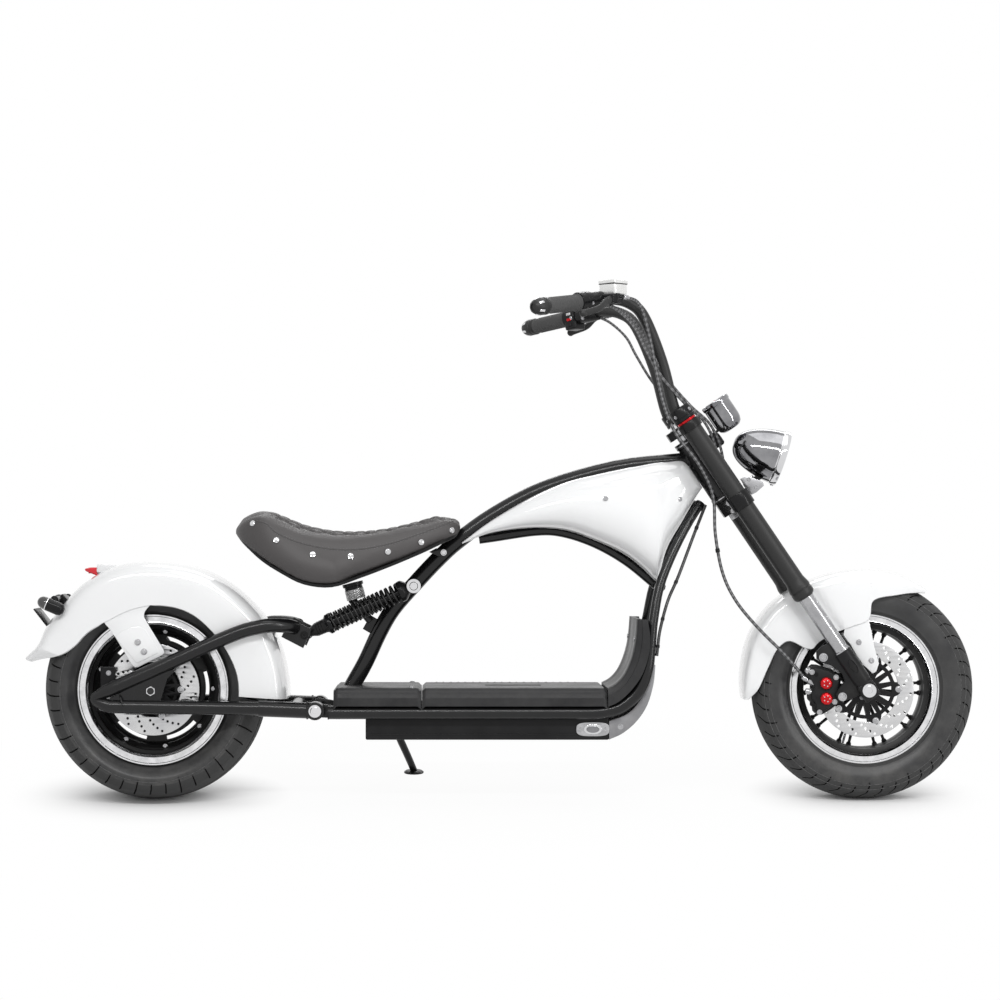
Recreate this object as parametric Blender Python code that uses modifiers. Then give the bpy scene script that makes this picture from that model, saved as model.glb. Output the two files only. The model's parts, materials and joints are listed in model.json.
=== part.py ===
"""Electric chopper scooter, parked on its side stand.

Every piece is drawn upright, in metres: X runs forward from the rear axle, Y to the rider's left
and Z up from the ground. The stance empty then leans the whole scooter over onto its stand.
"""

import math

import bmesh
import bpy
from mathutils import Matrix, Vector

# Wheels and steering. The axles keep their level when a tyre of another radius is fitted.
WHEELBASE = 1.5145
WHEEL_RADIUS = 0.237
TYRE_DEPTH = 0.0775
AXLE_LEVEL = 0.237
FRONT_TYRE_WIDTH = 0.120
REAR_TYRE_WIDTH = 0.215
FRONT_CROWN_DROP = 0.015
REAR_CROWN_DROP = 0.018
RIM_RADIUS = WHEEL_RADIUS - TYRE_DEPTH
FLANGE_WIDTH = 0.003
FLANGE_HEIGHT = 0.004
FRONT_RIM_HALF = 0.046
REAR_RIM_HALF = 0.0925
FRONT_SPOKE_PAIRS = 10
REAR_SLOTS = 9
RAKE = math.radians(34)
FORK_OFFSET = 0.015
FORK_HALF_SPREAD = 0.105
FORK_TUBE_RADIUS = 0.021
SLIDER_RADIUS = 0.0165
CASTING_RADIUS = 0.0195
SEAL_HEIGHT = 0.250
LOWER_CLAMP_HEIGHT = 0.484
UPPER_CLAMP_HEIGHT = 0.675
LOWER_CLAMP_DEPTH = 0.033
UPPER_CLAMP_DEPTH = 0.019
CLAMP_WEB = 0.030
CLAMP_WEB_BACK = 0.008
LOWER_BOSS_RADIUS = 0.0245
UPPER_BOSS_RADIUS = 0.030
FRONT_DISC_RADIUS = 0.100
REAR_DISC_RADIUS = 0.0975
DISC_THICKNESS = 0.004
FRONT_DISC_SIDE = -0.061
REAR_DISC_SIDE = -0.079
CALIPER_BACK = 0.0895
AXLE_RADIUS = 0.0075
AXLE_BORE = 0.0085

# Frame
HEAD_TUBE_RADIUS = 0.027
HEAD_TUBE_BORE = 0.0165
STEM_RADIUS = 0.0125
BACKBONE_RADIUS = 0.0175
ARCH_RADIUS = 0.011
RAIL_RADIUS = 0.0135
DOWN_TUBE_RADIUS = 0.010
RAIL_SIDE = 0.122
RAIL_HEIGHT = 0.190
CROSS_RADIUS = 0.0133
PIVOT = (0.3457, 0.195)
SWINGARM_SIDE = 0.1348
SWINGARM_TOP_RADIUS = 0.015
SWINGARM_LOW_RADIUS = 0.017
SHOCK_SIDE = 0.060
COIL_RADIUS = 0.0185
COIL_WIRE = 0.0028
COIL_TURNS = 13

# Floor, battery and body panels
FLOOR_HALF_WIDTH = 0.138
FLOOR_TOP = 0.2435
FLOOR_REAR = 0.398
LID_REAR = 0.5700
LID_TO_FRONT_AXLE = 0.5545
LID_FRONT = WHEELBASE - LID_TO_FRONT_AXLE
DRAWN_LID = 0.390
PANEL_GAP = 0.002
BATTERY_REAR = 0.451
BATTERY_PAST_LID = 0.0055
BATTERY_FRONT = LID_FRONT + BATTERY_PAST_LID
BATTERY_BOTTOM = 0.132
WALL = 0.003
FENDER_SHEET = 0.003
FRONT_FENDER_HALF = 0.0715
REAR_FENDER_HALF = 0.1195
CABLE_RADIUS = 0.0035
TANK_INNER_SIDE = 0.0178

# Bars, lamps and stand
GRIP_RADIUS = 0.017
BAR_RADIUS = 0.0125
RISER_RADIUS = 0.025
RISER_TOP = 0.720
GAUGE_RADIUS = 0.0305
GAUGE_LENGTH = 0.071
GAUGE_DROP = 0.058
HEADLIGHT_RADIUS = 0.0595
HEADLIGHT_LENGTH = 0.112
HEADLIGHT_FOOT = 0.015
HEADLIGHT_TILT = math.radians(18)
LEAN = math.radians(7)
STAND_PIVOT = (0.500, 0.1500, 0.166)
STAND_REACH = (0.050, 0.118)
STAND_LEG_RADIUS = 0.008
STAND_FOOT_RADIUS = 0.022
STAND_FOOT_THICKNESS = 0.006

# Gaps between touching pieces, and how round things are
GAP = 0.0003
WELD = 0.00001
WHEEL_STEPS = 32
RIGHT, LEFT = -1, 1
SIDES = ((RIGHT, "right"), (LEFT, "left"))

# Finish: colour, roughness, metallic
LOOKS = {
    "white_paint": ((0.86, 0.86, 0.86), 0.25, 0.0),
    "black_frame": ((0.045, 0.045, 0.047), 0.45, 0.3),
    "black_gloss": ((0.015, 0.015, 0.016), 0.25, 0.0),
    "black_plastic": ((0.05, 0.05, 0.052), 0.65, 0.0),
    "tyre_rubber": ((0.035, 0.035, 0.035), 0.85, 0.0),
    "grip_rubber": ((0.06, 0.06, 0.06), 0.8, 0.0),
    "leather": ((0.05, 0.048, 0.047), 0.5, 0.0),
    "chrome": ((0.75, 0.75, 0.76), 0.1, 1.0),
    "steel": ((0.55, 0.55, 0.56), 0.35, 1.0),
    "red_lens": ((0.7, 0.02, 0.03), 0.2, 0.0),
    "clear_lens": ((0.85, 0.88, 0.9), 0.05, 0.0),
}

REAR_AXLE = Vector((0.0, 0.0, AXLE_LEVEL))
FRONT_AXLE = Vector((WHEELBASE, 0.0, AXLE_LEVEL))
FORK_UP = Vector((-math.sin(RAKE), 0.0, math.cos(RAKE)))
FORK_AHEAD = Vector((math.cos(RAKE), 0.0, math.sin(RAKE)))
CROSSWAYS = Vector((0.0, 1.0, 0.0))


# Scene


def clear_scene():
    for obj in list(bpy.data.objects):
        bpy.data.objects.remove(obj)


def new_collection(name):
    collection = bpy.data.collections.new(name)
    bpy.context.scene.collection.children.link(collection)
    return collection


def add_object(name, data):
    obj = bpy.data.objects.new(name, data)
    SCOOTER.objects.link(obj)
    return obj


def add_empty(name, place, parent=None):
    """A joint's axis or the stance, at a point of the upright scooter."""
    empty = add_object(name, None)
    empty.location = place
    if parent:
        empty.parent = parent
        empty.location = Vector(place) - parent.location
    return empty


def finish(obj, name, carrier, look, sharp=35):
    """Names a finished piece, hangs it on the empty of its body and gives it its own material."""
    obj.name = name
    obj.data.name = name
    colour, roughness, metallic = LOOKS[look]
    material = bpy.data.materials.new(name + "_finish")
    material.use_nodes = True
    shader = material.node_tree.nodes["Principled BSDF"]
    shader.inputs["Base Color"].default_value = (*colour, 1.0)
    shader.inputs["Roughness"].default_value = roughness
    shader.inputs["Metallic"].default_value = metallic
    obj.data.materials.clear()
    obj.data.materials.append(material)
    obj.data.shade_smooth()
    obj.data.set_sharp_from_angle(angle=math.radians(sharp))
    bpy.context.view_layer.update()
    centre = sum((Vector(corner) for corner in obj.bound_box), Vector()) / 8
    origin = obj.matrix_world @ centre
    obj.data.transform(Matrix.Translation(-origin) @ obj.matrix_world)
    obj.parent = carrier
    base = Vector(carrier.location)
    if carrier.parent:
        base += carrier.parent.location
    obj.matrix_world = Matrix.Identity(4)
    obj.matrix_parent_inverse = Matrix.Identity(4)
    obj.location = origin - base
    return obj


# Solids


def from_bmesh(name, bm):
    bmesh.ops.recalc_face_normals(bm, faces=bm.faces)
    mesh = bpy.data.meshes.new(name)
    bm.to_mesh(mesh)
    bm.free()
    return add_object(name, mesh)


def bake(obj):
    """The same shape as a plain closed mesh, with its modifiers or bevel applied and its seams welded."""
    bpy.context.view_layer.update()
    graph = bpy.context.evaluated_depsgraph_get()
    mesh = bpy.data.meshes.new_from_object(obj.evaluated_get(graph))
    bm = bmesh.new()
    bm.from_mesh(mesh)
    bmesh.ops.remove_doubles(bm, verts=bm.verts, dist=WELD)
    bmesh.ops.dissolve_degenerate(bm, edges=bm.edges, dist=WELD)
    bmesh.ops.recalc_face_normals(bm, faces=bm.faces)
    bm.to_mesh(mesh)
    bm.free()
    baked = add_object(obj.name, mesh)
    baked.matrix_world = obj.matrix_world.copy()
    bpy.data.objects.remove(obj)
    return baked


def combine(base, others, operation):
    for other in others:
        step = base.modifiers.new(operation.title(), "BOOLEAN")
        step.operation = operation
        step.object = other
    baked = bake(base)
    for other in others:
        bpy.data.objects.remove(other)
    return baked


def join(base, *others):
    return combine(base, others, "UNION")


def cut(base, *others):
    return combine(base, others, "DIFFERENCE")


def facing(start, end):
    """The placing that puts local Z along the line from start to end."""
    along = Vector(end) - Vector(start)
    return Matrix.Translation(start) @ along.to_track_quat("Z", "Y").to_matrix().to_4x4()


def rod(start, end, radius, end_radius=None, sides=16):
    bm = bmesh.new()
    length = (Vector(end) - Vector(start)).length
    last = radius if end_radius is None else end_radius
    bmesh.ops.create_cone(bm, cap_ends=True, segments=sides, radius1=radius, radius2=last, depth=length)
    bmesh.ops.translate(bm, vec=(0, 0, length / 2), verts=bm.verts)
    bmesh.ops.transform(bm, matrix=facing(start, end), verts=bm.verts)
    return from_bmesh("rod", bm)


def across(x, z, start, end, radius, sides=16):
    """A round bar that lies crossways, from one Y to another."""
    return rod(Vector((x, start, z)), Vector((x, end, z)), radius, sides=sides)


def block(centre, size, turn=0.0, bevel=0.0):
    """A box, turned about Y, with its edges rounded by a bevel."""
    bm = bmesh.new()
    bmesh.ops.create_cube(bm, size=1.0)
    bmesh.ops.scale(bm, vec=size, verts=bm.verts)
    if bevel:
        bmesh.ops.bevel(bm, geom=bm.edges, offset=bevel, segments=1, profile=0.5, affect="EDGES")
    place = Matrix.Translation(centre) @ Matrix.Rotation(turn, 4, "Y")
    bmesh.ops.transform(bm, matrix=place, verts=bm.verts)
    return from_bmesh("block", bm)


def turned(profile, start, along, steps=20, ring=False, half_step=False):
    """A profile of (radius, distance along the axis) turned about the line from start along a direction."""
    mesh = bpy.data.meshes.new("turned")
    points = [(radius, 0.0, height) for radius, height in profile]
    edges = [(i, i + 1) for i in range(len(points) - 1)]
    if ring:
        edges.append((len(points) - 1, 0))
    mesh.from_pydata(points, edges, [])
    obj = add_object("turned", mesh)
    screw = obj.modifiers.new("Turn", "SCREW")
    screw.steps = steps
    screw.render_steps = steps
    screw.use_merge_vertices = True
    screw.merge_threshold = WELD
    baked = bake(obj)
    place = facing(Vector(start), Vector(start) + Vector(along))
    if half_step:
        place = place @ Matrix.Rotation(math.pi / steps, 4, "Z")
    baked.data.transform(place)
    return baked


def smooth(points, steps):
    """Points along a smooth line through the given ones, with steps from each to the next."""
    given = [Vector(point) for point in points]
    ends = [given[0] * 2 - given[1], *given, given[-1] * 2 - given[-2]]
    line = []
    for before, a, b, after in zip(ends, ends[1:], ends[2:], ends[3:]):
        for step in range(steps):
            t = step / steps
            line.append(
                a
                + (b - before) * (t / 2)
                + (before * 2 - a * 5 + b * 4 - after) * (t * t / 2)
                + (a * 3 - before - b * 3 + after) * (t**3 / 2)
            )
    line.append(given[-1])
    return line


def tube(route, radius, roundness=2, grow=0.0):
    """A bent tube. A point of the route may hold the tube's own radius there as its fourth number."""
    curve = bpy.data.curves.new("tube", "CURVE")
    curve.dimensions = "3D"
    curve.bevel_depth = radius
    curve.bevel_resolution = roundness
    curve.use_fill_caps = True
    spline = curve.splines.new("POLY")
    spline.points.add(len(route) - 1)
    for point, place in zip(spline.points, route):
        point.co = (place[0], place[1], place[2], 1.0)
        own = place[3] if len(place) > 3 else radius
        point.radius = (own + grow) / radius
    return bake(add_object("tube", curve))


def panel(outline, side, thickness, hole=()):
    """A flat plate cut to an outline of (x, z), centred on one Y."""
    curve = bpy.data.curves.new("panel", "CURVE")
    curve.dimensions = "2D"
    curve.fill_mode = "BOTH"
    curve.extrude = thickness / 2
    for loop in (outline, hole):
        if not loop:
            continue
        spline = curve.splines.new("POLY")
        spline.points.add(len(loop) - 1)
        for point, (x, z) in zip(spline.points, loop):
            point.co = (x, z, 0.0, 1.0)
        spline.use_cyclic_u = True
    plate = bake(add_object("panel", curve))
    upright = Matrix.Translation((0, side, 0)) @ Matrix.Rotation(math.pi / 2, 4, "X")
    plate.data.transform(upright)
    return plate


def bar(start, end, width_way, width, thickness, end_width=None):
    """A flat bar between two points. Its width runs towards width_way."""
    start, end = Vector(start), Vector(end)
    wide = Vector(width_way).normalized()
    thin = (end - start).normalized().cross(wide) * (thickness / 2)
    rings = []
    for place, full in ((start, width), (end, end_width or width)):
        half = wide * (full / 2)
        rings.append([place - half - thin, place + half - thin, place + half + thin, place - half + thin])
    return loft(rings)


def loft(sections):
    """A closed body through rings that all have the same number of points."""
    bm = bmesh.new()
    rings = [[bm.verts.new(point) for point in section] for section in sections]
    for here, there in zip(rings, rings[1:]):
        for i in range(len(here)):
            j = (i + 1) % len(here)
            bm.faces.new((here[i], here[j], there[j], there[i]))
    bm.faces.new(rings[0])
    bm.faces.new(rings[-1])
    return from_bmesh("loft", bm)


def sheet(rows, thickness):
    """An open surface through rows of points, thickened inwards."""
    bm = bmesh.new()
    grid = [[bm.verts.new(point) for point in row] for row in rows]
    for here, there in zip(grid, grid[1:]):
        for a, b, c, d in zip(here, here[1:], there[1:], there):
            bm.faces.new((a, d, c, b))
    mesh = bpy.data.meshes.new("sheet")
    bm.to_mesh(mesh)
    bm.free()
    obj = add_object("sheet", mesh)
    solidify = obj.modifiers.new("Thickness", "SOLIDIFY")
    solidify.thickness = thickness
    solidify.offset = -1
    solidify.use_even_offset = True
    return bake(obj)


def polar(centre, degrees, radius):
    angle = math.radians(degrees)
    return centre.x + radius * math.cos(angle), centre.z + radius * math.sin(angle)


def arc(centre, radius, first, last, steps):
    return [polar(centre, first + (last - first) * i / steps, radius) for i in range(steps + 1)]


def on_fork(along, ahead=0.0, side=0.0):
    """A point by its distance up the fork from the axle, ahead of the fork tubes and to the left."""
    return FRONT_AXLE + FORK_UP * along + FORK_AHEAD * ahead + CROSSWAYS * side


def stretched(x):
    """x of a drawn point, once the middle of the frame is as long as the lid."""
    share = min(1.0, max(0.0, (x - LID_REAR) / DRAWN_LID))
    return x + share * (LID_FRONT - LID_REAR - DRAWN_LID)


def fitted(table):
    """A table of drawn points, each with its x first, fitted to the wheelbase."""
    return tuple((stretched(row[0]), *row[1:]) for row in table)


def at(point, side):
    return Vector((point[0], side, point[1]))


# Wheels

# Sidewall of a tyre from shoulder to bead: share of the way in, share of the half width
SIDEWALL = ((0.0, 0.86), (0.22, 0.97), (0.55, 0.99), (1.0, 0.76))


def tyre_half(width, crown_drop):
    """(radius, side) from the crown's middle to the bead, on one side."""
    half = width / 2
    shoulder = SIDEWALL[0][1] * half
    crown = [(WHEEL_RADIUS - crown_drop * share**2, shoulder * share) for share in (0.0, 0.55)]
    depth = WHEEL_RADIUS - crown_drop - RIM_RADIUS
    wall = [
        (WHEEL_RADIUS - crown_drop - depth * inward, half * outward) for inward, outward in SIDEWALL
    ]
    return crown + wall


def tyre(axle, width, crown_drop, rim_half):
    right = tyre_half(width, crown_drop)
    inside = rim_half - FLANGE_WIDTH - GAP
    bead = [(RIM_RADIUS + GAP, rim_half), (RIM_RADIUS + GAP, inside), (RIM_RADIUS - FLANGE_HEIGHT, inside)]
    half = right[:-1] + bead
    outline = half + [(radius, -side) for radius, side in reversed(half[1:])]
    return turned(outline, axle, CROSSWAYS, WHEEL_STEPS, ring=True, half_step=True)


def ring_profile(rim_half, lip, barrel, neck):
    """Rim section: the flange and bead seat outside, and inside it the polished lip and the barrel,
    each by how far in from the rim's edge it lies."""
    seat = RIM_RADIUS - FLANGE_HEIGHT - GAP
    step = rim_half - FLANGE_WIDTH
    outer = [(RIM_RADIUS, rim_half), (RIM_RADIUS, step), (seat, step)]
    inner = [(RIM_RADIUS - lip, rim_half), (RIM_RADIUS - barrel, rim_half * 0.78),
             (RIM_RADIUS - neck, rim_half * 0.35)]
    low = [(radius, -side) for radius, side in reversed(outer)]
    back = [(radius, -side) for radius, side in inner]
    return outer + low + back + inner[::-1]


def bored(hub, axle, half):
    return cut(hub, across(axle.x, axle.z, -half, half, AXLE_BORE, sides=16))


def front_wheel(carrier):
    finish(tyre(FRONT_AXLE, FRONT_TYRE_WIDTH, FRONT_CROWN_DROP, FRONT_RIM_HALF),
           "front_tyre", carrier, "tyre_rubber")
    profile = ring_profile(FRONT_RIM_HALF, 0.0095, 0.0130, 0.0155)
    rim = turned(profile, FRONT_AXLE, CROSSWAYS, WHEEL_STEPS, ring=True, half_step=True)
    hub_half = 0.052
    hub = turned(
        [(0.0, hub_half), (0.022, hub_half), (0.022, 0.034), (0.032, 0.024),
         (0.032, -0.024), (0.022, -0.034), (0.022, -hub_half), (0.0, -hub_half)],
        FRONT_AXLE, CROSSWAYS, 12)
    spokes = []
    for pair in range(FRONT_SPOKE_PAIRS):
        for lean in (-1, 1):
            spokes.append(spoke(pair * 360 / FRONT_SPOKE_PAIRS, lean))
    wheel = join(hub, *spokes)
    wheel = join(rim, wheel)
    wheel = bored(wheel, FRONT_AXLE, 0.08)
    finish(wheel, "front_rim", carrier, "black_gloss")
    finish(brake_disc(FRONT_AXLE, FRONT_DISC_RADIUS, FRONT_DISC_SIDE, 0.052 + GAP),
           "front_brake_disc", carrier, "steel")


def spoke(degrees, lean):
    """One spoke of a pair, which splays from the hub to the rim."""
    start = at(polar(FRONT_AXLE, degrees + lean * 9.0, 0.029), 0.0)
    end = at(polar(FRONT_AXLE, degrees + lean * 5.0, RIM_RADIUS - 0.012), 0.0)
    return bar(start, end, CROSSWAYS, 0.024, 0.0055, 0.016)


def brake_disc(axle, radius, side, hub_end):
    """A ring on a five-armed carrier, whose boss bolts to the hub's end."""
    inner = radius * 0.66
    half = DISC_THICKNESS / 2
    plate = turned([(radius, half), (radius, -half), (inner, -half), (inner, half)],
                   axle + CROSSWAYS * side, CROSSWAYS, 20, ring=True)
    boss = across(axle.x, axle.z, side - half, -hub_end, 0.026, sides=12)
    arms = []
    for arm in range(5):
        root = at(polar(axle, arm * 72, 0.020), side)
        end = at(polar(axle, arm * 72 + 18, inner + 0.008), side)
        arms.append(bar(root, end, CROSSWAYS, DISC_THICKNESS * 0.9, 0.016))
    disc = join(plate, boss, *arms)
    return bored(disc, axle, 0.2)


def rear_wheel(carrier):
    finish(tyre(REAR_AXLE, REAR_TYRE_WIDTH, REAR_CROWN_DROP, REAR_RIM_HALF),
           "rear_tyre", carrier, "tyre_rubber")
    profile = ring_profile(REAR_RIM_HALF, 0.0190, 0.0265, 0.0455)
    rim = turned(profile, REAR_AXLE, CROSSWAYS, WHEEL_STEPS, ring=True, half_step=True)
    motor_half = 0.050
    flange = RIM_RADIUS - 0.0415
    motor = turned(
        [(0.0, motor_half + 0.014), (0.032, motor_half + 0.014), (0.032, motor_half),
         (0.080, motor_half - 0.006), (0.094, 0.008), (flange, 0.008),
         (flange, -0.008), (0.094, -0.008), (0.080, -motor_half + 0.006), (0.032, -motor_half),
         (0.032, -motor_half - 0.014), (0.0, -motor_half - 0.014)],
        REAR_AXLE, CROSSWAYS, 20)
    slots = []
    for slot in range(REAR_SLOTS):
        middle = slot * 360 / REAR_SLOTS
        outer = arc(REAR_AXLE, 0.1090, middle - 13, middle + 13, 2)
        inner = arc(REAR_AXLE, 0.0970, middle + 13, middle - 13, 2)
        slots.append(panel(outer + inner, 0.0, 0.08))
    motor = cut(motor, *slots)
    wheel = join(rim, motor)
    wheel = bored(wheel, REAR_AXLE, 0.15)
    finish(wheel, "rear_rim_and_motor", carrier, "black_gloss")
    finish(brake_disc(REAR_AXLE, REAR_DISC_RADIUS, REAR_DISC_SIDE, 0.064 + GAP),
           "rear_brake_disc", carrier, "steel")


# Frame

# Backbone: x, z of its centre from the rear crossmember up under the seat to the head tube
BACKBONE = fitted(((0.395, 0.188), (0.4165, 0.2352), (0.4483, 0.2924), (0.4779, 0.3560), (0.5074, 0.4064),
                   (0.5547, 0.4610), (0.6026, 0.5120), (0.6472, 0.5526), (0.726, 0.609), (0.834, 0.665),
                   (0.985, 0.7083), (1.115, 0.7233), (1.160, 0.7275)))
# Arch: x, z of its centre from the backbone down to the crossbar
ARCH = fitted(((0.650, 0.5515), (0.717, 0.5605), (0.8146, 0.5745), (0.873, 0.5714), (0.942, 0.5485),
               (1.010, 0.510), (1.0765, 0.456)))
# Cradle tube: x, distance out from the middle, z, radius
CRADLE = fitted((
    (1.192, 0.016, 0.672, DOWN_TUBE_RADIUS),
    (1.1287, 0.055, 0.576, DOWN_TUBE_RADIUS),
    (1.0795, 0.085, 0.472, DOWN_TUBE_RADIUS),
    (1.0611, 0.105, 0.391, DOWN_TUBE_RADIUS),
    (1.0530, 0.116, 0.330, 0.0115),
    (1.0450, 0.121, 0.280, RAIL_RADIUS),
    (1.0270, RAIL_SIDE, 0.235, RAIL_RADIUS),
    (0.9900, RAIL_SIDE, 0.2025, RAIL_RADIUS),
    (0.9500, RAIL_SIDE, 0.1915, RAIL_RADIUS),
    (0.9150, RAIL_SIDE, RAIL_HEIGHT, RAIL_RADIUS),
))
CROSSBAR = ARCH[-1]
RAIL_END = 0.372
REAR_CROSS_X = 0.392


def head_tube_body(grow=0.0):
    low = on_fork(LOWER_CLAMP_HEIGHT + LOWER_CLAMP_DEPTH / 2 + GAP, -FORK_OFFSET)
    high = on_fork(UPPER_CLAMP_HEIGHT - UPPER_CLAMP_DEPTH / 2 - 0.012, -FORK_OFFSET)
    return rod(low, high, HEAD_TUBE_RADIUS + grow, sides=28)


def head_tube():
    low = on_fork(LOWER_CLAMP_HEIGHT - 0.03, -FORK_OFFSET)
    high = on_fork(UPPER_CLAMP_HEIGHT + 0.03, -FORK_OFFSET)
    return cut(head_tube_body(), rod(low, high, HEAD_TUBE_BORE, sides=24))


def cradle_route(side):
    bend = [(x, out * side, z, radius) for x, out, z, radius in CRADLE]
    return [*bend, (RAIL_END, RAIL_SIDE * side, RAIL_HEIGHT, RAIL_RADIUS)]


def cradle_tube(side, grow=0.0):
    return tube(cradle_route(side), RAIL_RADIUS, grow=grow)


def backbone_route():
    return smooth([at(point, 0.0) for point in BACKBONE], 1)


def arch_route():
    return smooth([at(point, 0.0) for point in ARCH], 1)


def rear_cross(grow=0.0):
    reach = RAIL_SIDE
    return across(REAR_CROSS_X, RAIL_HEIGHT, -reach, reach, CROSS_RADIUS + grow)


def seat_lug(grow=0.0):
    size = (0.034 + grow * 2, 0.010 + grow * 2, 0.026 + grow * 2)
    return block((0.462, 0, 0.372), size, math.radians(-60))


def frame(carrier):
    finish(head_tube(), "head_tube", carrier, "black_frame")
    backbone = cut(tube(backbone_route(), BACKBONE_RADIUS, 2), head_tube_body(GAP), rear_cross(GAP))
    reach = SHOCK_SIDE - 0.015 - GAP
    boss = across(*SHOCK_TOP, -reach, reach, 0.011, sides=16)
    backbone = join(backbone, boss, seat_lug())
    finish(backbone, "backbone_tube", carrier, "black_frame")
    arch = cut(tube(arch_route(), ARCH_RADIUS), tube(backbone_route(), BACKBONE_RADIUS, 2, GAP))
    crossbar = cut(across(*CROSSBAR, -0.1, 0.1, DOWN_TUBE_RADIUS),
                   cradle_tube(RIGHT, GAP), cradle_tube(LEFT, GAP))
    finish(join(arch, largest_piece(crossbar)), "arch_tube", carrier, "black_frame")
    for side, word in SIDES:
        rail = cut(cradle_tube(side), head_tube_body(GAP))
        finish(rail, "cradle_tube_" + word, carrier, "black_frame")
    lugs = []
    for side, _ in SIDES:
        plate = [(REAR_CROSS_X, RAIL_HEIGHT + 0.011), (REAR_CROSS_X, RAIL_HEIGHT - 0.011)]
        plate += arc(Vector((PIVOT[0], 0, PIVOT[1])), 0.015, 270, 90, 6)
        lugs.append(panel(plate, side * 0.1025, 0.008))
    cross = cut(rear_cross(), cradle_tube(RIGHT, GAP), cradle_tube(LEFT, GAP))
    cross = join(largest_piece(cross), *lugs)
    cross = cut(cross, across(*PIVOT, -0.13, 0.13, AXLE_BORE, sides=16))
    finish(cross, "rear_crossmember", carrier, "black_frame")


def largest_piece(obj):
    """Drops the off-cuts that a coping cut leaves beyond the tube it meets."""
    bm = bmesh.new()
    bm.from_mesh(obj.data)
    groups, seen = [], set()
    for vert in bm.verts:
        if vert in seen:
            continue
        group, waiting = set(), [vert]
        while waiting:
            here = waiting.pop()
            if here in group:
                continue
            group.add(here)
            waiting.extend(edge.other_vert(here) for edge in here.link_edges)
        seen |= group
        groups.append(group)
    biggest = max(groups, key=len)
    spare = [vert for vert in bm.verts if vert not in biggest]
    bmesh.ops.delete(bm, geom=spare, context="VERTS")
    bm.to_mesh(obj.data)
    bm.free()
    return obj


# Swingarm and shocks

# Upper tube: x, distance out from the middle, z
SWINGARM_TOP = ((-0.1143, SWINGARM_SIDE, 0.2275), (0.0056, SWINGARM_SIDE, 0.2808),
                (0.1668, SWINGARM_SIDE, 0.3531), (0.2271, SWINGARM_SIDE, 0.3714),
                (0.2560, 0.126, 0.3745), (0.2840, 0.108, 0.3730), (0.3000, 0.088, 0.3690))
SWINGARM_LOW = ((-0.1143, 0.2155), (-0.0869, 0.2045), (0.2292, 0.1997), (0.3457, 0.195))
SHOCK_TOP = (0.5526, 0.4568)
SHOCK_LOW = (0.3204, 0.3525)
BRACKET = ((0.2899, 0.3874), (0.3362, 0.3652), (0.3181, 0.3250), (0.2717, 0.3490))
SWINGARM_CROSS = (0.300, 0.198)


def swingarm_side(side):
    top = tube([(x, side * out, z) for x, out, z in SWINGARM_TOP], SWINGARM_TOP_RADIUS, 2)
    low = tube([at(point, side * SWINGARM_SIDE) for point in SWINGARM_LOW], SWINGARM_LOW_RADIUS, 2)
    plate = panel(
        [(-0.098, 0.215), (-0.03, 0.252), (0.03, 0.278), (0.062, 0.285), (0.058, 0.2), (-0.08, 0.2)],
        side * SWINGARM_SIDE, 0.008)
    bracket = panel(BRACKET, side * (SHOCK_SIDE + 0.015 + GAP + 0.004), 0.008)
    nut = across(*SHOCK_LOW, side * 0.080, side * 0.090, 0.008, sides=10)
    eye = across(*PIVOT, side * 0.1075, side * 0.154, 0.019)
    arm = join(low, top, plate, bracket, nut, eye)
    holes = [across(0.0, AXLE_LEVEL, side * 0.10, side * 0.17, AXLE_BORE, sides=16),
             across(*PIVOT, side * 0.09, side * 0.17, AXLE_BORE, sides=16)]
    return cut(arm, *holes)


def shock(side):
    """Damper, spring and both eyes of one shock as a single piece."""
    low, high = at(SHOCK_LOW, side * SHOCK_SIDE), at(SHOCK_TOP, side * SHOCK_SIDE)
    along = high - low
    length = along.length
    unit = along.normalized()
    body = turned(
        [(0.0, length - 0.008), (0.014, length - 0.016), (COIL_RADIUS + 0.004, length - 0.024),
         (COIL_RADIUS + 0.004, length - 0.033), (0.0125, length - 0.033), (0.0125, 0.066),
         (COIL_RADIUS + 0.003, 0.062), (COIL_RADIUS + 0.003, 0.054), (0.015, 0.050), (0.009, 0.008),
         (0.0, 0.008)],
        low, unit, 12)
    start, end = 0.060, length - 0.030
    turn_steps = 8
    count = COIL_TURNS * turn_steps
    aside = unit.cross(CROSSWAYS).normalized()
    route = []
    for i in range(count + 1):
        angle = 2 * math.pi * i / turn_steps
        round_place = aside * math.cos(angle) + CROSSWAYS * math.sin(angle)
        route.append(low + unit * (start + (end - start) * i / count) + round_place * COIL_RADIUS)
    coil = tube(route, COIL_WIRE, 0)
    eyes = [rod(place - CROSSWAYS * 0.015, place + CROSSWAYS * 0.015, 0.013, sides=16)
            for place in (low, high)]
    cap = rod(high + CROSSWAYS * side * 0.014, high + CROSSWAYS * side * 0.022, 0.009, sides=10)
    return join(body, coil, *eyes, cap)


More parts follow.
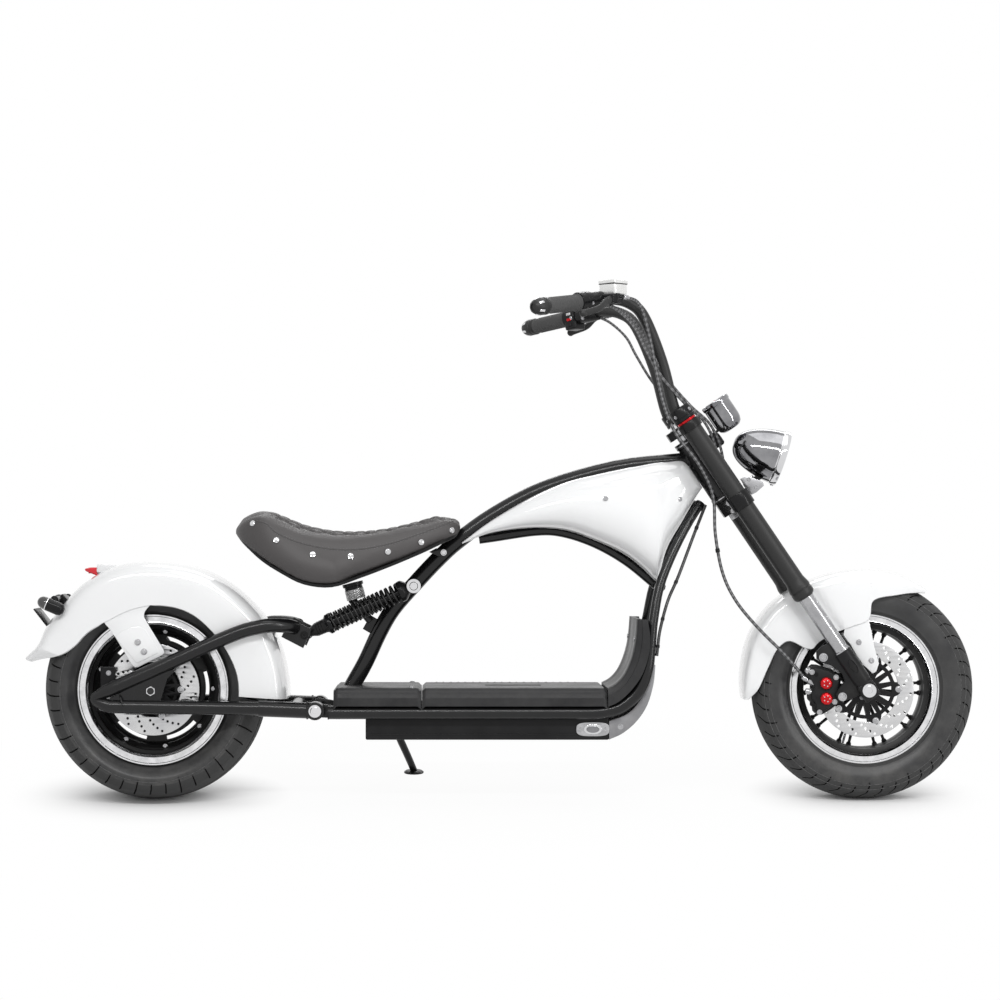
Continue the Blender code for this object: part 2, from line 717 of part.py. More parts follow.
def suspension(carrier):
    for side, word in SIDES:
        finish(swingarm_side(side), "swingarm_" + word, carrier, "black_frame")
        finish(shock(side), "shock_" + word, carrier, "black_gloss")
    reach = SWINGARM_SIDE - SWINGARM_LOW_RADIUS - 0.003
    cross = across(*SWINGARM_CROSS, -reach - 0.02, reach + 0.02, 0.013)
    grown = [tube([at(point, side * SWINGARM_SIDE) for point in SWINGARM_LOW],
                  SWINGARM_LOW_RADIUS, 2, GAP) for side, _ in SIDES]
    finish(largest_piece(cut(cross, *grown)), "swingarm_crossbar", carrier, "black_frame")
    shaft = across(*PIVOT, -0.158, 0.158, AXLE_RADIUS, sides=16)
    heads = [across(*PIVOT, side * (0.154 + GAP), side * 0.163, 0.0125, sides=6) for side, _ in SIDES]
    finish(join(shaft, *heads), "swingarm_pivot_bolt", carrier, "chrome")
    axle = across(0.0, AXLE_LEVEL, -0.150, 0.150, AXLE_RADIUS, sides=16)
    parts = []
    for side, _ in SIDES:
        near, far = 0.0655, SWINGARM_SIDE - 0.004 - GAP
        if side == RIGHT:
            near = abs(REAR_DISC_SIDE) + DISC_THICKNESS / 2 + 0.001
        parts.append(across(0.0, AXLE_LEVEL, side * near, side * far, 0.012, sides=16))
        out = SWINGARM_SIDE + 0.004 + GAP
        parts.append(across(0.0, AXLE_LEVEL, side * out, side * (out + 0.012), 0.0145, sides=6))
    finish(join(axle, *parts), "rear_axle", carrier, "steel")


# Fenders

# Rear fender: angle round the axle, then how far beyond the tread the crown and the skirt's edge lie
REAR_FENDER = ((-4, 0.047, -0.05), (10, 0.043, -0.051), (27, 0.041, -0.055), (45, 0.036, -0.056),
               (65, 0.035, -0.052), (85, 0.031, -0.054), (105, 0.035, -0.059), (122, 0.033, -0.061),
               (138, 0.026, -0.052), (150, 0.027, -0.0465), (159, 0.026, -0.025), (166.5, 0.043, 0.029))
# Front fender: the same for the front wheel
FRONT_FENDER = ((58, 0.0115, 0.007), (72, 0.0145, -0.024), (86, 0.0155, -0.047), (89, 0.0155, -0.087),
                (104, 0.016, -0.097), (120, 0.0195, -0.097), (136, 0.027, -0.092),
                (144, 0.0285, -0.087), (147, 0.0285, -0.044), (155, 0.028, -0.028),
                (167, 0.024, -0.022), (179, 0.0215, -0.009), (185, 0.0185, 0.013))
# Cross-section from the crown's middle to the skirt's edge: share of the way in, share of the half width
FENDER_SECTION = ((0.0, 0.0), (0.03, 0.60), (0.14, 0.90), (0.36, 1.0), (1.0, 1.0))


def fender_shell(axle, table, half_width):
    rows = []
    stations = smooth([(angle, WHEEL_RADIUS + crown, WHEEL_RADIUS + edge)
                       for angle, crown, edge in table], 2)
    for angle, crown, edge in stations:
        row = []
        for side in (LEFT, RIGHT):
            half = []
            depth = crown - edge
            reach = min(half_width, half_width * (0.55 + depth / 0.05 * 0.45))
            for inward, outward in FENDER_SECTION:
                x, z = polar(axle, angle, crown - depth * inward)
                half.append(Vector((x, side * reach * outward, z)))
            row = half[::-1] if side == LEFT else row + half[1:]
        rows.append(row)
    return sheet(rows, FENDER_SHEET)


def rear_fender(carrier):
    shell = fender_shell(REAR_AXLE, REAR_FENDER, REAR_FENDER_HALF)
    plates = []
    for side, _ in SIDES:
        outline = [(-0.020, 0.418), (0.0269, 0.3124), (-0.0356, 0.2823), (-0.083, 0.362), (-0.085, 0.420)]
        plates.append(panel(outline, side * (REAR_FENDER_HALF - FENDER_SHEET * 0.6), FENDER_SHEET))
    housing = block((-0.098, 0, 0.4950), (0.056, 0.070, 0.020), math.radians(-4), 0.004)
    fender = join(shell, *plates, housing)
    finish(fender, "rear_fender", carrier, "white_paint")
    lamp = loft([
        [(-0.1263 - GAP, 0.030, 0.4800), (-0.1263 - GAP, -0.030, 0.4800),
         (-0.1263 - GAP, -0.030, 0.4950), (-0.1263 - GAP, 0.030, 0.4950)],
        [(-0.152, 0.022, 0.4895), (-0.152, -0.022, 0.4895), (-0.152, -0.022, 0.4935),
         (-0.152, 0.022, 0.4935)],
    ])
    finish(lamp, "tail_lamp", carrier, "red_lens")


def signal_bracket(carrier):
    """Turn signals and the plate holder on one bracket behind the rear fender."""
    x, z = polar(REAR_AXLE, 137, 0.281)
    rail = across(x, z, -0.122, 0.122, 0.006, sides=12)
    x, z = polar(REAR_AXLE, 137, 0.2755)
    foot = block((x, 0, z), (0.020, 0.060, 0.023), math.radians(-47))
    holder = block((-0.2430, 0, 0.3880), (0.004, 0.100, 0.050), math.radians(38), 0.001)
    stay = block((-0.2240, 0, 0.4080), (0.046, 0.018, 0.010), math.radians(-40))
    lamps = []
    for side, _ in SIDES:
        lamps.append(turned(
            [(0.0, 0.030), (0.011, 0.026), (0.014, 0.012), (0.014, -0.014), (0.009, -0.026), (0.0, -0.030)],
            Vector((-0.2115, side * 0.1300, 0.4165)), Vector((-0.92, 0, 0.40)), 12))
    finish(join(rail, foot, stay, holder, *lamps), "signal_bracket", carrier, "black_plastic")


def front_fender(carrier):
    shell = fender_shell(FRONT_AXLE, FRONT_FENDER, FRONT_FENDER_HALF)
    plates = []
    for side, _ in SIDES:
        outline = [FRONT_AXLE.xz + Vector(point) for point in
                   ((0.010, 0.160), (0.0272, 0.061), (0.0140, 0.040), (-0.040, 0.120), (-0.050, 0.160))]
        plates.append(panel([tuple(point) for point in outline],
                            side * (FRONT_FENDER_HALF - FENDER_SHEET * 0.6), FENDER_SHEET))
    finish(join(shell, *plates), "front_fender", carrier, "white_paint")


# Fork and steering


def fork_side(side, word, carrier):
    side_y = side * FORK_HALF_SPREAD
    top = UPPER_CLAMP_HEIGHT + UPPER_CLAMP_DEPTH / 2
    leg = turned(
        [(0.0, top), (FORK_TUBE_RADIUS, top), (FORK_TUBE_RADIUS, SEAL_HEIGHT + 0.03),
         (FORK_TUBE_RADIUS + 0.003, SEAL_HEIGHT + 0.015), (FORK_TUBE_RADIUS + 0.003, SEAL_HEIGHT - 0.006),
         (SLIDER_RADIUS + 0.002, SEAL_HEIGHT - 0.013), (0.0, SEAL_HEIGHT - 0.013)],
        on_fork(0, 0, side_y), FORK_UP, 16)
    finish(leg, "fork_tube_" + word, carrier, "black_gloss")
    slider = turned(
        [(0.0, SEAL_HEIGHT - 0.013 - GAP), (SLIDER_RADIUS, SEAL_HEIGHT - 0.013 - GAP),
         (SLIDER_RADIUS, 0.102), (CASTING_RADIUS - 0.002, 0.100), (CASTING_RADIUS, 0.094),
         (CASTING_RADIUS, 0.015), (0.0, 0.010)],
        on_fork(0, 0, side_y), FORK_UP, 16)
    lug = block(on_fork(0, 0, side_y), (0.038, 0.034, 0.040), RAKE * -1, 0.002)
    inner = side * (FRONT_FENDER_HALF + 0.0025 + GAP)
    tab = [on_fork(*point).xz for point in ((0.040, -0.012), (0.120, -0.020), (0.150, 0.020),
                                            (0.112, 0.048), (0.070, 0.044))]
    mount = panel([tuple(point) for point in tab], inner, 0.005)
    stay = block(on_fork(0.09, 0.002, side * 0.081), (0.020, 0.020, 0.060), RAKE * -1)
    parts = [lug, stay, mount]
    if side == RIGHT:
        ear = [on_fork(*point).xz for point in
               ((0.128, -0.012), (0.135, -0.046), (0.105, -0.052), (0.080, -0.036), (0.040, -0.034),
                (0.022, -0.062), (0.004, -0.062), (0.000, -0.012))]
        parts.append(panel([tuple(point) for point in ear], side_y, 0.010))
    slider = join(slider, *parts)
    slider = cut(slider, rod(on_fork(0, 0, side * 0.06), on_fork(0, 0, side * 0.14), AXLE_BORE, sides=16))
    finish(slider, "fork_slider_" + word, carrier, "chrome")


def clamp_plate(height, depth, ring_radius, back_radius):
    """A triple clamp: a ring at each fork tube and a boss round the stem, with a web between them."""
    half = FORK_UP * (depth / 2)
    centre = on_fork(height)
    rings = [rod(centre + CROSSWAYS * side * FORK_HALF_SPREAD - half,
                 centre + CROSSWAYS * side * FORK_HALF_SPREAD + half, ring_radius)
             for side, _ in SIDES]
    stem_centre = centre - FORK_AHEAD * FORK_OFFSET
    boss = rod(stem_centre - half, stem_centre + half, back_radius)
    web = block(centre - FORK_AHEAD * CLAMP_WEB_BACK, (CLAMP_WEB, FORK_HALF_SPREAD * 2, depth * 0.86), -RAKE)
    plate = join(web, boss, *rings)
    holes = [rod(centre + CROSSWAYS * side * FORK_HALF_SPREAD - half * 2,
                 centre + CROSSWAYS * side * FORK_HALF_SPREAD + half * 2, FORK_TUBE_RADIUS + GAP)
             for side, _ in SIDES]
    return cut(plate, *holes)


def clamps(carrier):
    lower = clamp_plate(LOWER_CLAMP_HEIGHT, LOWER_CLAMP_DEPTH, 0.0250, LOWER_BOSS_RADIUS)
    stem = rod(on_fork(LOWER_CLAMP_HEIGHT, -FORK_OFFSET), on_fork(UPPER_CLAMP_HEIGHT + 0.022, -FORK_OFFSET),
               STEM_RADIUS, sides=20)
    nut = rod(on_fork(LOWER_CLAMP_HEIGHT - 0.030, -FORK_OFFSET), on_fork(LOWER_CLAMP_HEIGHT, -FORK_OFFSET),
              0.014, sides=6)
    finish(join(lower, stem, nut), "lower_clamp_and_stem", carrier, "black_frame")
    upper = clamp_plate(UPPER_CLAMP_HEIGHT, UPPER_CLAMP_DEPTH, 0.0250, UPPER_BOSS_RADIUS)
    upper = cut(upper, rod(on_fork(UPPER_CLAMP_HEIGHT - 0.04, -FORK_OFFSET),
                           on_fork(UPPER_CLAMP_HEIGHT + 0.04, -FORK_OFFSET), STEM_RADIUS + GAP, sides=20))
    finish(upper, "upper_clamp", carrier, "black_frame")


# Handlebar: place along it from the riser's top: ahead, out, up
BAR = ((0.000, 0.000, -0.020), (-0.012, 0.001, 0.010), (-0.036, 0.008, 0.100), (-0.074, 0.027, 0.190),
       (-0.107, 0.045, 0.219), (-0.149, 0.067, 0.226), (-0.190, 0.101, 0.218), (-0.311, 0.215, 0.197))


def bar_points(side):
    top = on_fork(RISER_TOP, 0.0, side * FORK_HALF_SPREAD)
    return [top + Vector((ahead, side * out, up)) for ahead, out, up in BAR]


def handlebar_side(side, word, carrier):
    points = bar_points(side)
    route = smooth(points[:-1], 2) + [points[-1]]
    start = UPPER_CLAMP_HEIGHT + UPPER_CLAMP_DEPTH / 2 + GAP
    axis = [on_fork(along, 0, side * FORK_HALF_SPREAD) for along in (start, start + 0.0055, RISER_TOP)]
    ring = rod(axis[0], axis[1], FORK_TUBE_RADIUS)
    riser = rod(axis[1], axis[2], RISER_RADIUS)
    finish(join(tube(route, BAR_RADIUS), riser, ring), "handlebar_" + word, carrier, "black_gloss")
    inner, outer = points[-2], points[-1]
    unit = (outer - inner).normalized()
    length = (outer - inner).length
    grip = turned(
        [(0.0, length + 0.012), (0.012, length + 0.010), (0.0165, length - 0.004),
         (GRIP_RADIUS, length - 0.012), (GRIP_RADIUS, 0.046), (GRIP_RADIUS + 0.002, 0.044),
         (GRIP_RADIUS + 0.002, 0.040), (0.0, 0.040)], inner, unit, 16)
    grip = cut(grip, rod(inner, outer + unit * GAP, BAR_RADIUS + GAP, sides=20))
    finish(grip, "grip_" + word, carrier, "grip_rubber")
    controls(side, word, carrier, points, unit)


def controls(side, word, carrier, points, unit):
    """Throttle ring or switch box, brake lever and its master cylinder, clamped round the bar."""
    inner = points[-2]
    collar = rod(inner + unit * 0.006, inner + unit * (0.040 - GAP), 0.021, sides=20)
    perch = points[-3] + (points[-2] - points[-3]) * 0.35
    perch_way = (points[-2] - points[-3]).normalized()
    clamp = rod(perch - perch_way * 0.014, perch + perch_way * 0.05, 0.0185, sides=16)
    ahead = Vector((0.68, side * 0.70, 0)) * 0.034
    body = block(perch + ahead * 0.6, (0.044, 0.036, 0.020), 0.0, 0.003)
    lever_route = smooth([
        perch + ahead * 0.7,
        perch + ahead * 1.25 + unit * 0.035 - Vector((0, 0, 0.004)),
        inner + ahead * 1.5 + unit * 0.03 - Vector((0, 0, 0.016)),
        inner + ahead * 1.45 + unit * 0.075 - Vector((0, 0, 0.022)),
    ], 3)
    lever = tube(lever_route, 0.0055, 1)
    ball = block(lever_route[-1], (0.015, 0.015, 0.015), 0.0, 0.004)
    parts = [clamp, body, lever, ball]
    top = perch + ahead * 0.30 + Vector((0, 0, 0.034))
    if side == RIGHT:
        parts.append(block(top, (0.048, 0.040, 0.034), 0.0, 0.003))
        parts.append(rod(top - Vector((0, 0, 0.03)), top, 0.009, sides=12))
    else:
        box = inner - Vector((0, 0, 0.006))
        parts.append(bar(box + unit * 0.004, box + unit * 0.036, (0, 0, 1), 0.046, 0.038))
    group = join(collar, *parts)
    bore = tube(smooth(points[:-1], 2) + [points[-1]], BAR_RADIUS, grow=GAP)
    finish(cut(group, bore), "controls_" + word, carrier, "black_gloss")


def gauge(carrier):
    low, ahead = UPPER_CLAMP_HEIGHT - GAUGE_DROP, 0.0815
    can = turned(
        [(0.0, GAUGE_LENGTH), (GAUGE_RADIUS * 0.9, GAUGE_LENGTH), (GAUGE_RADIUS + 0.0015, GAUGE_LENGTH - 0.002),
         (GAUGE_RADIUS + 0.0015, GAUGE_LENGTH - 0.009), (GAUGE_RADIUS, GAUGE_LENGTH - 0.011),
         (GAUGE_RADIUS, 0.022), (GAUGE_RADIUS * 0.85, 0.008), (GAUGE_RADIUS * 0.5, 0.0), (0.0, 0.0)],
        on_fork(low, ahead), FORK_UP, 16)
    boss_front = UPPER_BOSS_RADIUS - FORK_OFFSET + GAP
    arm = block(on_fork(low + 0.014, 0.0455), (0.053, 0.022, 0.006), -RAKE)
    drop = block(on_fork(UPPER_CLAMP_HEIGHT - 0.0215, 0.0220), (0.006, 0.022, 0.051), -RAKE)
    step = block(on_fork(UPPER_CLAMP_HEIGHT, (boss_front + 0.025) / 2), (0.025 - boss_front, 0.022, 0.008), -RAKE)
    lamp = turned([(0.0, 0.018), (0.010, 0.016), (0.012, 0.006), (0.012, -0.010), (0.0, -0.014)],
                  on_fork(low - 0.004, 0.040), FORK_UP, 12)
    finish(join(can, arm, drop, step, lamp), "gauge", carrier, "chrome")


def headlight(carrier):
    forward = Vector((math.cos(HEADLIGHT_TILT), 0, -math.sin(HEADLIGHT_TILT)))
    level = LOWER_CLAMP_HEIGHT + HEADLIGHT_FOOT
    rim_centre = on_fork(level + 0.0025, 0.1350)
    back = rim_centre - forward * HEADLIGHT_LENGTH
    length, radius = HEADLIGHT_LENGTH, HEADLIGHT_RADIUS
    shell = turned(
        [(0.0, length - 0.008), (radius - 0.006, length - 0.008), (radius - 0.006, length),
         (radius, length), (radius, length - 0.012), (radius * 0.965, length - 0.014),
         (radius * 0.90, length * 0.62), (radius * 0.76, length * 0.36), (radius * 0.52, length * 0.14),
         (radius * 0.25, length * 0.03), (0.0, 0.0)],
        back, forward, 24)
    foot = block(on_fork(level, 0.0600), (0.052, 0.026, 0.012), -RAKE, 0.001)
    neck = rod(on_fork(level + 0.0020, 0.0750), rim_centre - forward * 0.062 - FORK_UP * 0.03,
               0.012, sides=14)
    finish(join(shell, foot, neck), "headlight", carrier, "chrome")
    lens = turned([(0.0, length - 0.001), (radius * 0.6, length - 0.0025), (radius - 0.0063, length - 0.005),
                   (radius - 0.0063, length - 0.008 + GAP), (0.0, length - 0.008 + GAP)], back, forward, 24)
    finish(lens, "headlight_lens", carrier, "clear_lens")
    plate_back, plate_front = LOWER_BOSS_RADIUS - FORK_OFFSET + GAP, 0.066
    plate = block(on_fork(level - 0.0060 - GAP - 0.0030, (plate_back + plate_front) / 2),
                  (plate_front - plate_back, 0.040, 0.006), -RAKE, 0.001)
    finish(plate, "headlight_bracket", carrier, "steel")


def front_axle(carrier):
    shaft = across(WHEELBASE, AXLE_LEVEL, -0.126, 0.126, AXLE_RADIUS, sides=16)
    parts = []
    for side, _ in SIDES:
        face = FORK_HALF_SPREAD + 0.017 + GAP
        parts.append(across(WHEELBASE, AXLE_LEVEL, side * face, side * (face + 0.008), 0.0115, sides=12))
        near = 0.0535 if side == LEFT else abs(FRONT_DISC_SIDE) + DISC_THICKNESS / 2 + 0.001
        far = FORK_HALF_SPREAD - 0.017 - GAP
        parts.append(across(WHEELBASE, AXLE_LEVEL, side * near, side * far, 0.0115, sides=16))
    finish(join(shaft, *parts), "front_axle", carrier, "steel")


def caliper(carrier):
    """Brake caliper over the disc's rear edge, with two red piston caps."""
    middle = (WHEELBASE - CALIPER_BACK, AXLE_LEVEL - 0.003)
    out = FORK_HALF_SPREAD - 0.005 - GAP
    body = block(at(middle, 0.0229 - out), (0.058, 0.0458, 0.088), math.radians(-8), 0.004)
    slot = block(at((middle[0] + 0.012, middle[1]), FRONT_DISC_SIDE), (0.070, DISC_THICKNESS + 0.010, 0.14),
                 math.radians(-8))
    body = cut(body, slot)
    caps = [across(middle[0], middle[1] + rise, 0.001 - out, -out - 0.007, 0.0130)
            for rise in (0.016, -0.016)]
    inlet = rod(at((middle[0] - 0.035, middle[1] + 0.022), -0.088),
                at((middle[0] - 0.023, middle[1] + 0.016), -0.088), 0.007, sides=10)
    body = join(body, inlet, *caps)
    finish(body, "front_caliper", carrier, "black_gloss")


def rear_caliper(carrier):
    """Caliper over the rear disc's edge, on a stay from the swingarm's upper tube."""
    shell = block((-0.095, REAR_DISC_SIDE, 0.258), (0.032, 0.036, 0.060), 0.0, 0.003)
    shell = cut(shell, block((-0.070, REAR_DISC_SIDE, 0.258), (0.060, DISC_THICKNESS + 0.010, 0.10)))
    out = SWINGARM_SIDE - SWINGARM_TOP_RADIUS - GAP
    stay = across(-0.098, 0.2365, REAR_DISC_SIDE - 0.010, -out, 0.007, sides=12)
    finish(join(shell, stay), "rear_caliper", carrier, "steel")


# Tank shells

# Tank side shell: x, top edge, bottom edge, half width
TANK = fitted((
    (0.6560, 0.5500, 0.5466, 0.024), (0.7171, 0.5953, 0.5690, 0.040), (0.8000, 0.6440, 0.5800, 0.060),
    (0.8750, 0.6770, 0.5760, 0.073), (0.9400, 0.6935, 0.5540, 0.081), (1.0000, 0.7060, 0.5260, 0.085),
    (1.0400, 0.7130, 0.4960, 0.085), (1.0680, 0.7180, 0.4690, 0.082), (1.0760, 0.7190, 0.4720, 0.081),
    (1.0954, 0.7205, 0.5370, 0.078), (1.1301, 0.7213, 0.5980, 0.066), (1.1560, 0.6900, 0.6440, 0.050),
    (1.1693, 0.6680, 0.6650, 0.034),
))
# Its section from the top edge round to the bottom edge: share of the height down, share of the width out
TANK_SECTION = ((0.0, 0.0), (0.0, 0.30), (0.10, 0.62), (0.22, 0.84), (0.42, 1.0), (0.62, 0.98),
                (0.82, 0.78), (0.95, 0.45), (1.0, 0.0))


def tank_shell(side):
    rings = []
    for x, top, bottom, half in TANK:
        ring = []
        for down, out in TANK_SECTION:
            y = TANK_INNER_SIDE + (half - TANK_INNER_SIDE) * out
            ring.append((x, side * y, top + (bottom - top) * down))
        rings.append(ring)
    return loft(rings)


# Seat

# Seat: x, bottom edge, top of the rolled rim, half width
SEAT = ((0.1780, 0.562, 0.584, 0.060), (0.1950, 0.542, 0.602, 0.100), (0.2290, 0.510, 0.6195, 0.132),
        (0.2700, 0.483, 0.603, 0.148), (0.3200, 0.4590, 0.583, 0.154), (0.3800, 0.4530, 0.5715, 0.154),
        (0.4400, 0.4720, 0.5700, 0.146), (0.5017, 0.4950, 0.5770, 0.131), (0.5690, 0.5230, 0.5930, 0.110),
        (0.6200, 0.5470, 0.6090, 0.086), (0.6450, 0.5590, 0.6060, 0.064), (0.6540, 0.5720, 0.5930, 0.040))
# Its section from the middle of the top out over the rim and down: share of the height, share of the width
SEAT_SECTION = ((0.90, 0.0), (0.90, 0.42), (1.0, 0.66), (0.99, 0.80), (0.86, 0.92), (0.55, 0.99),
                (0.25, 1.0), (0.0, 0.96))


def seat_ring(x, bottom, top, half, section):
    right = [(x, -half * out, bottom + (top - bottom) * up) for up, out in section]
    left = [(x, half * out, bottom + (top - bottom) * up) for up, out in reversed(section)]
    return right + left[:-1]


def seat(carrier):
    pan_depth = 0.006
    cushion = loft([seat_ring(x, bottom + pan_depth + GAP, top, half, SEAT_SECTION)
                    for x, bottom, top, half in SEAT])
    pan = loft([[(x, -half * 0.96, bottom + pan_depth), (x, half * 0.96, bottom + pan_depth),
                 (x, half * 0.94, bottom), (x, -half * 0.94, bottom)] for x, bottom, top, half in SEAT])
    clearance = 0.0006
    cushion = cut(cushion, tube(backbone_route(), BACKBONE_RADIUS, 2, clearance))
    pan = cut(pan, tube(backbone_route(), BACKBONE_RADIUS, 2, clearance))
    finish(cushion, "seat_cushion", carrier, "leather", 50)
    finish(pan, "seat_pan", carrier, "black_plastic")
    post_top = 0.4568
    post = turned([(0.0, 0.0), (0.012, 0.0), (0.024, 0.004), (0.024, 0.020), (0.014, 0.024), (0.014, 0.030),
                   (0.022, 0.040), (0.022, 0.0415), (0.0, 0.0415)], (0.415, 0, post_top - 0.0415),
                  (0, 0, 1), 16)
    arm = rod(Vector((0.418, 0, 0.428)), Vector((0.458, 0, 0.382)), 0.009, sides=14)
    return post, arm


# Floor

def floor_boards(carrier, lid_carrier):
    low = RAIL_HEIGHT + RAIL_RADIUS + GAP
    rear = [(FLOOR_REAR - 0.014, low), (LID_REAR - PANEL_GAP, low), (LID_REAR - PANEL_GAP, FLOOR_TOP),
            (FLOOR_REAR + 0.004, FLOOR_TOP - 0.003), (FLOOR_REAR - 0.010, low + 0.022)]
    board = panel(rear, 0.0, FLOOR_HALF_WIDTH * 2)
    board = cut(board, tube(backbone_route(), BACKBONE_RADIUS, 2, 0.0015), rear_cross(0.0008))
    finish(largest_piece(board), "floor_cover_rear", carrier, "black_plastic")
    lid = panel([(LID_REAR, low), (LID_FRONT, low), (LID_FRONT, FLOOR_TOP + 0.006),
                 (LID_FRONT - 0.05, FLOOR_TOP), (LID_REAR, FLOOR_TOP)], 0.0, FLOOR_HALF_WIDTH * 2)
    lid_middle = (LID_REAR + LID_FRONT) / 2
    hollow = block((lid_middle, 0, (low + FLOOR_TOP) / 2 - WALL * 2),
                   (LID_FRONT - LID_REAR - WALL * 4, 0.208, FLOOR_TOP - low))
    lid = cut(lid, hollow, cradle_tube(RIGHT, 0.0008), cradle_tube(LEFT, 0.0008))
    finish(largest_piece(lid), "battery_lid", lid_carrier, "black_plastic")
    bend = fitted(((0.9860, low + 0.008), (0.9960, 0.2260), (0.9900, 0.2690), (0.9860, 0.2726)))
    flat = panel([(LID_FRONT + PANEL_GAP, low), *bend, (LID_FRONT + PANEL_GAP, FLOOR_TOP + 0.0065)],
                 0.0, FLOOR_HALF_WIDTH * 2)
    shield = fitted(((0.985, low + 0.008), (1.0090, 0.2420), (1.0260, 0.2840), (1.0320, 0.3300),
                     (1.0420, 0.3884), (1.0240, 0.3884), (1.0225, 0.3480), (1.0115, 0.3105),
                     (0.9860, 0.2720)))
    front = [(LID_FRONT + 0.010, low + 0.001), *shield, (LID_FRONT + 0.010, FLOOR_TOP + 0.0060)]
    rise = RAIL_SIDE - RAIL_RADIUS - 0.001
    board = join(flat, panel(front, 0.0, rise * 2))
    board = cut(board, cradle_tube(RIGHT, 0.0008), cradle_tube(LEFT, 0.0008))
    finish(largest_piece(board), "floor_cover_front", carrier, "black_plastic")


def battery(carrier):
    half = RAIL_SIDE - RAIL_RADIUS - GAP
    top = RAIL_HEIGHT + RAIL_RADIUS - 0.0010
    middle = (BATTERY_REAR + BATTERY_FRONT) / 2
    length = BATTERY_FRONT - BATTERY_REAR
    outer = block((middle, 0, (top + BATTERY_BOTTOM) / 2), (length, half * 2, top - BATTERY_BOTTOM))
    room = block((middle, 0, (top + BATTERY_BOTTOM) / 2 + WALL),
                 (length - 2 * WALL, (half - WALL) * 2, top - BATTERY_BOTTOM))
    finish(cut(outer, room), "battery_box", carrier, "black_gloss")
    pack_top = top - 0.004
    low = BATTERY_BOTTOM + WALL + GAP
    pack = block((middle, 0, (pack_top + low) / 2), (length - 0.04, half * 2 - 0.016, pack_top - low), 0, 0.003)
    finish(pack, "battery_pack", carrier, "black_plastic")
    sweep = fitted(((0.9950, 0.1460), (1.0250, 0.1720), (1.0470, 0.2060), (1.0600, 0.2500),
                    (1.0640, 0.2900), (1.0560, 0.2900), (1.0480, 0.2500), (1.0300, 0.2150),
                    (1.0050, 0.1880)))
    skid = [(BATTERY_FRONT + GAP, BATTERY_BOTTOM + 0.0005), *sweep, (BATTERY_FRONT + GAP, 0.1720)]
    finish(panel(skid, 0.0, half * 2), "bash_plate", carrier, "steel")


# Hoses held along their whole length, and the stand

BRAKE_HOSE = fitted(((0.9900, -0.2080, 1.0620), (1.0250, -0.1800, 1.0480), (1.0480, -0.1480, 0.9850),
                     (1.0640, -0.1340, 0.9100), (1.0800, -0.1330, 0.8400), (1.1050, -0.1300, 0.7800),
                     (1.1550, -0.1150, 0.7150), (1.1860, -0.1000, 0.6500), (1.1915, -0.0990, 0.5661),
                     (1.2071, -0.0950, 0.4853), (1.2351, -0.1000, 0.4256), (1.2808, -0.1020, 0.3695),
                     (1.3405, -0.0980, 0.3098), (1.3800, -0.0900, 0.2640), (1.3888, -0.0880, 0.2570)))
HARNESS = fitted(((1.1760, -0.0400, 0.6300), (1.1508, -0.0430, 0.5662), (1.1154, -0.0720, 0.4780),
                  (1.0907, -0.0960, 0.4248), (1.0738, -0.1090, 0.3651), (1.0684, -0.1160, 0.3300),
                  (1.0630, -0.1203, 0.2900)))


def stand_geometry():
    """The stand's pivot, its foot on the ground, and the axis that it folds about."""
    pivot = Vector(STAND_PIVOT)
    normal = ground_frame()[0]
    contact = ground_frame()[1]
    foot = pivot + Vector((STAND_REACH[0], STAND_REACH[1], 0))
    foot.z = contact.z - ((foot.x - contact.x) * normal.x + (foot.y - contact.y) * normal.y) / normal.z
    deployed = (foot - pivot).normalized()
    stowed = Vector((-0.985, 0.03, -0.17)).normalized()
    return pivot, foot, deployed.cross(stowed).normalized()


def tyre_contact(axle, width, crown_drop):
    """Where a leaning tyre meets the ground, on the flat between two of its steps."""
    flat = math.cos(math.pi / WHEEL_STEPS)
    reach = [(radius * flat * math.cos(LEAN) + side * math.sin(LEAN), radius * flat, side)
             for radius, side in tyre_half(width, crown_drop)]
    _, radius, side = max(reach)
    return axle + Vector((0, side, -radius))


def ground_frame():
    """The ground's upward normal and a point of it, in the upright scooter's frame."""
    front = tyre_contact(FRONT_AXLE, FRONT_TYRE_WIDTH, FRONT_CROWN_DROP)
    rear = tyre_contact(REAR_AXLE, REAR_TYRE_WIDTH, REAR_CROWN_DROP)
    sideways = Vector((0, math.cos(LEAN), math.sin(LEAN)))
    normal = (front - rear).cross(sideways).normalized()
    return normal, rear


def side_stand(carrier):
    pivot, foot, axis = stand_geometry()
    normal = ground_frame()[0]
    heel = foot + normal * STAND_FOOT_THICKNESS
    knee = pivot.lerp(foot, 0.35)
    leg = tube([(*pivot, 0.0055), (*knee, STAND_LEG_RADIUS), (*heel, STAND_LEG_RADIUS)], STAND_LEG_RADIUS)
    pad = rod(foot, heel, STAND_FOOT_RADIUS, STAND_FOOT_RADIUS * 0.8, sides=20)
    eye = rod(pivot - axis * 0.006, pivot + axis * 0.006, 0.014)
    stand = join(leg, pad, eye)
    stand = cut(stand, rod(pivot - axis * 0.02, pivot + axis * 0.02, 0.0053, sides=14))
    finish(stand, "side_stand", carrier, "black_frame")


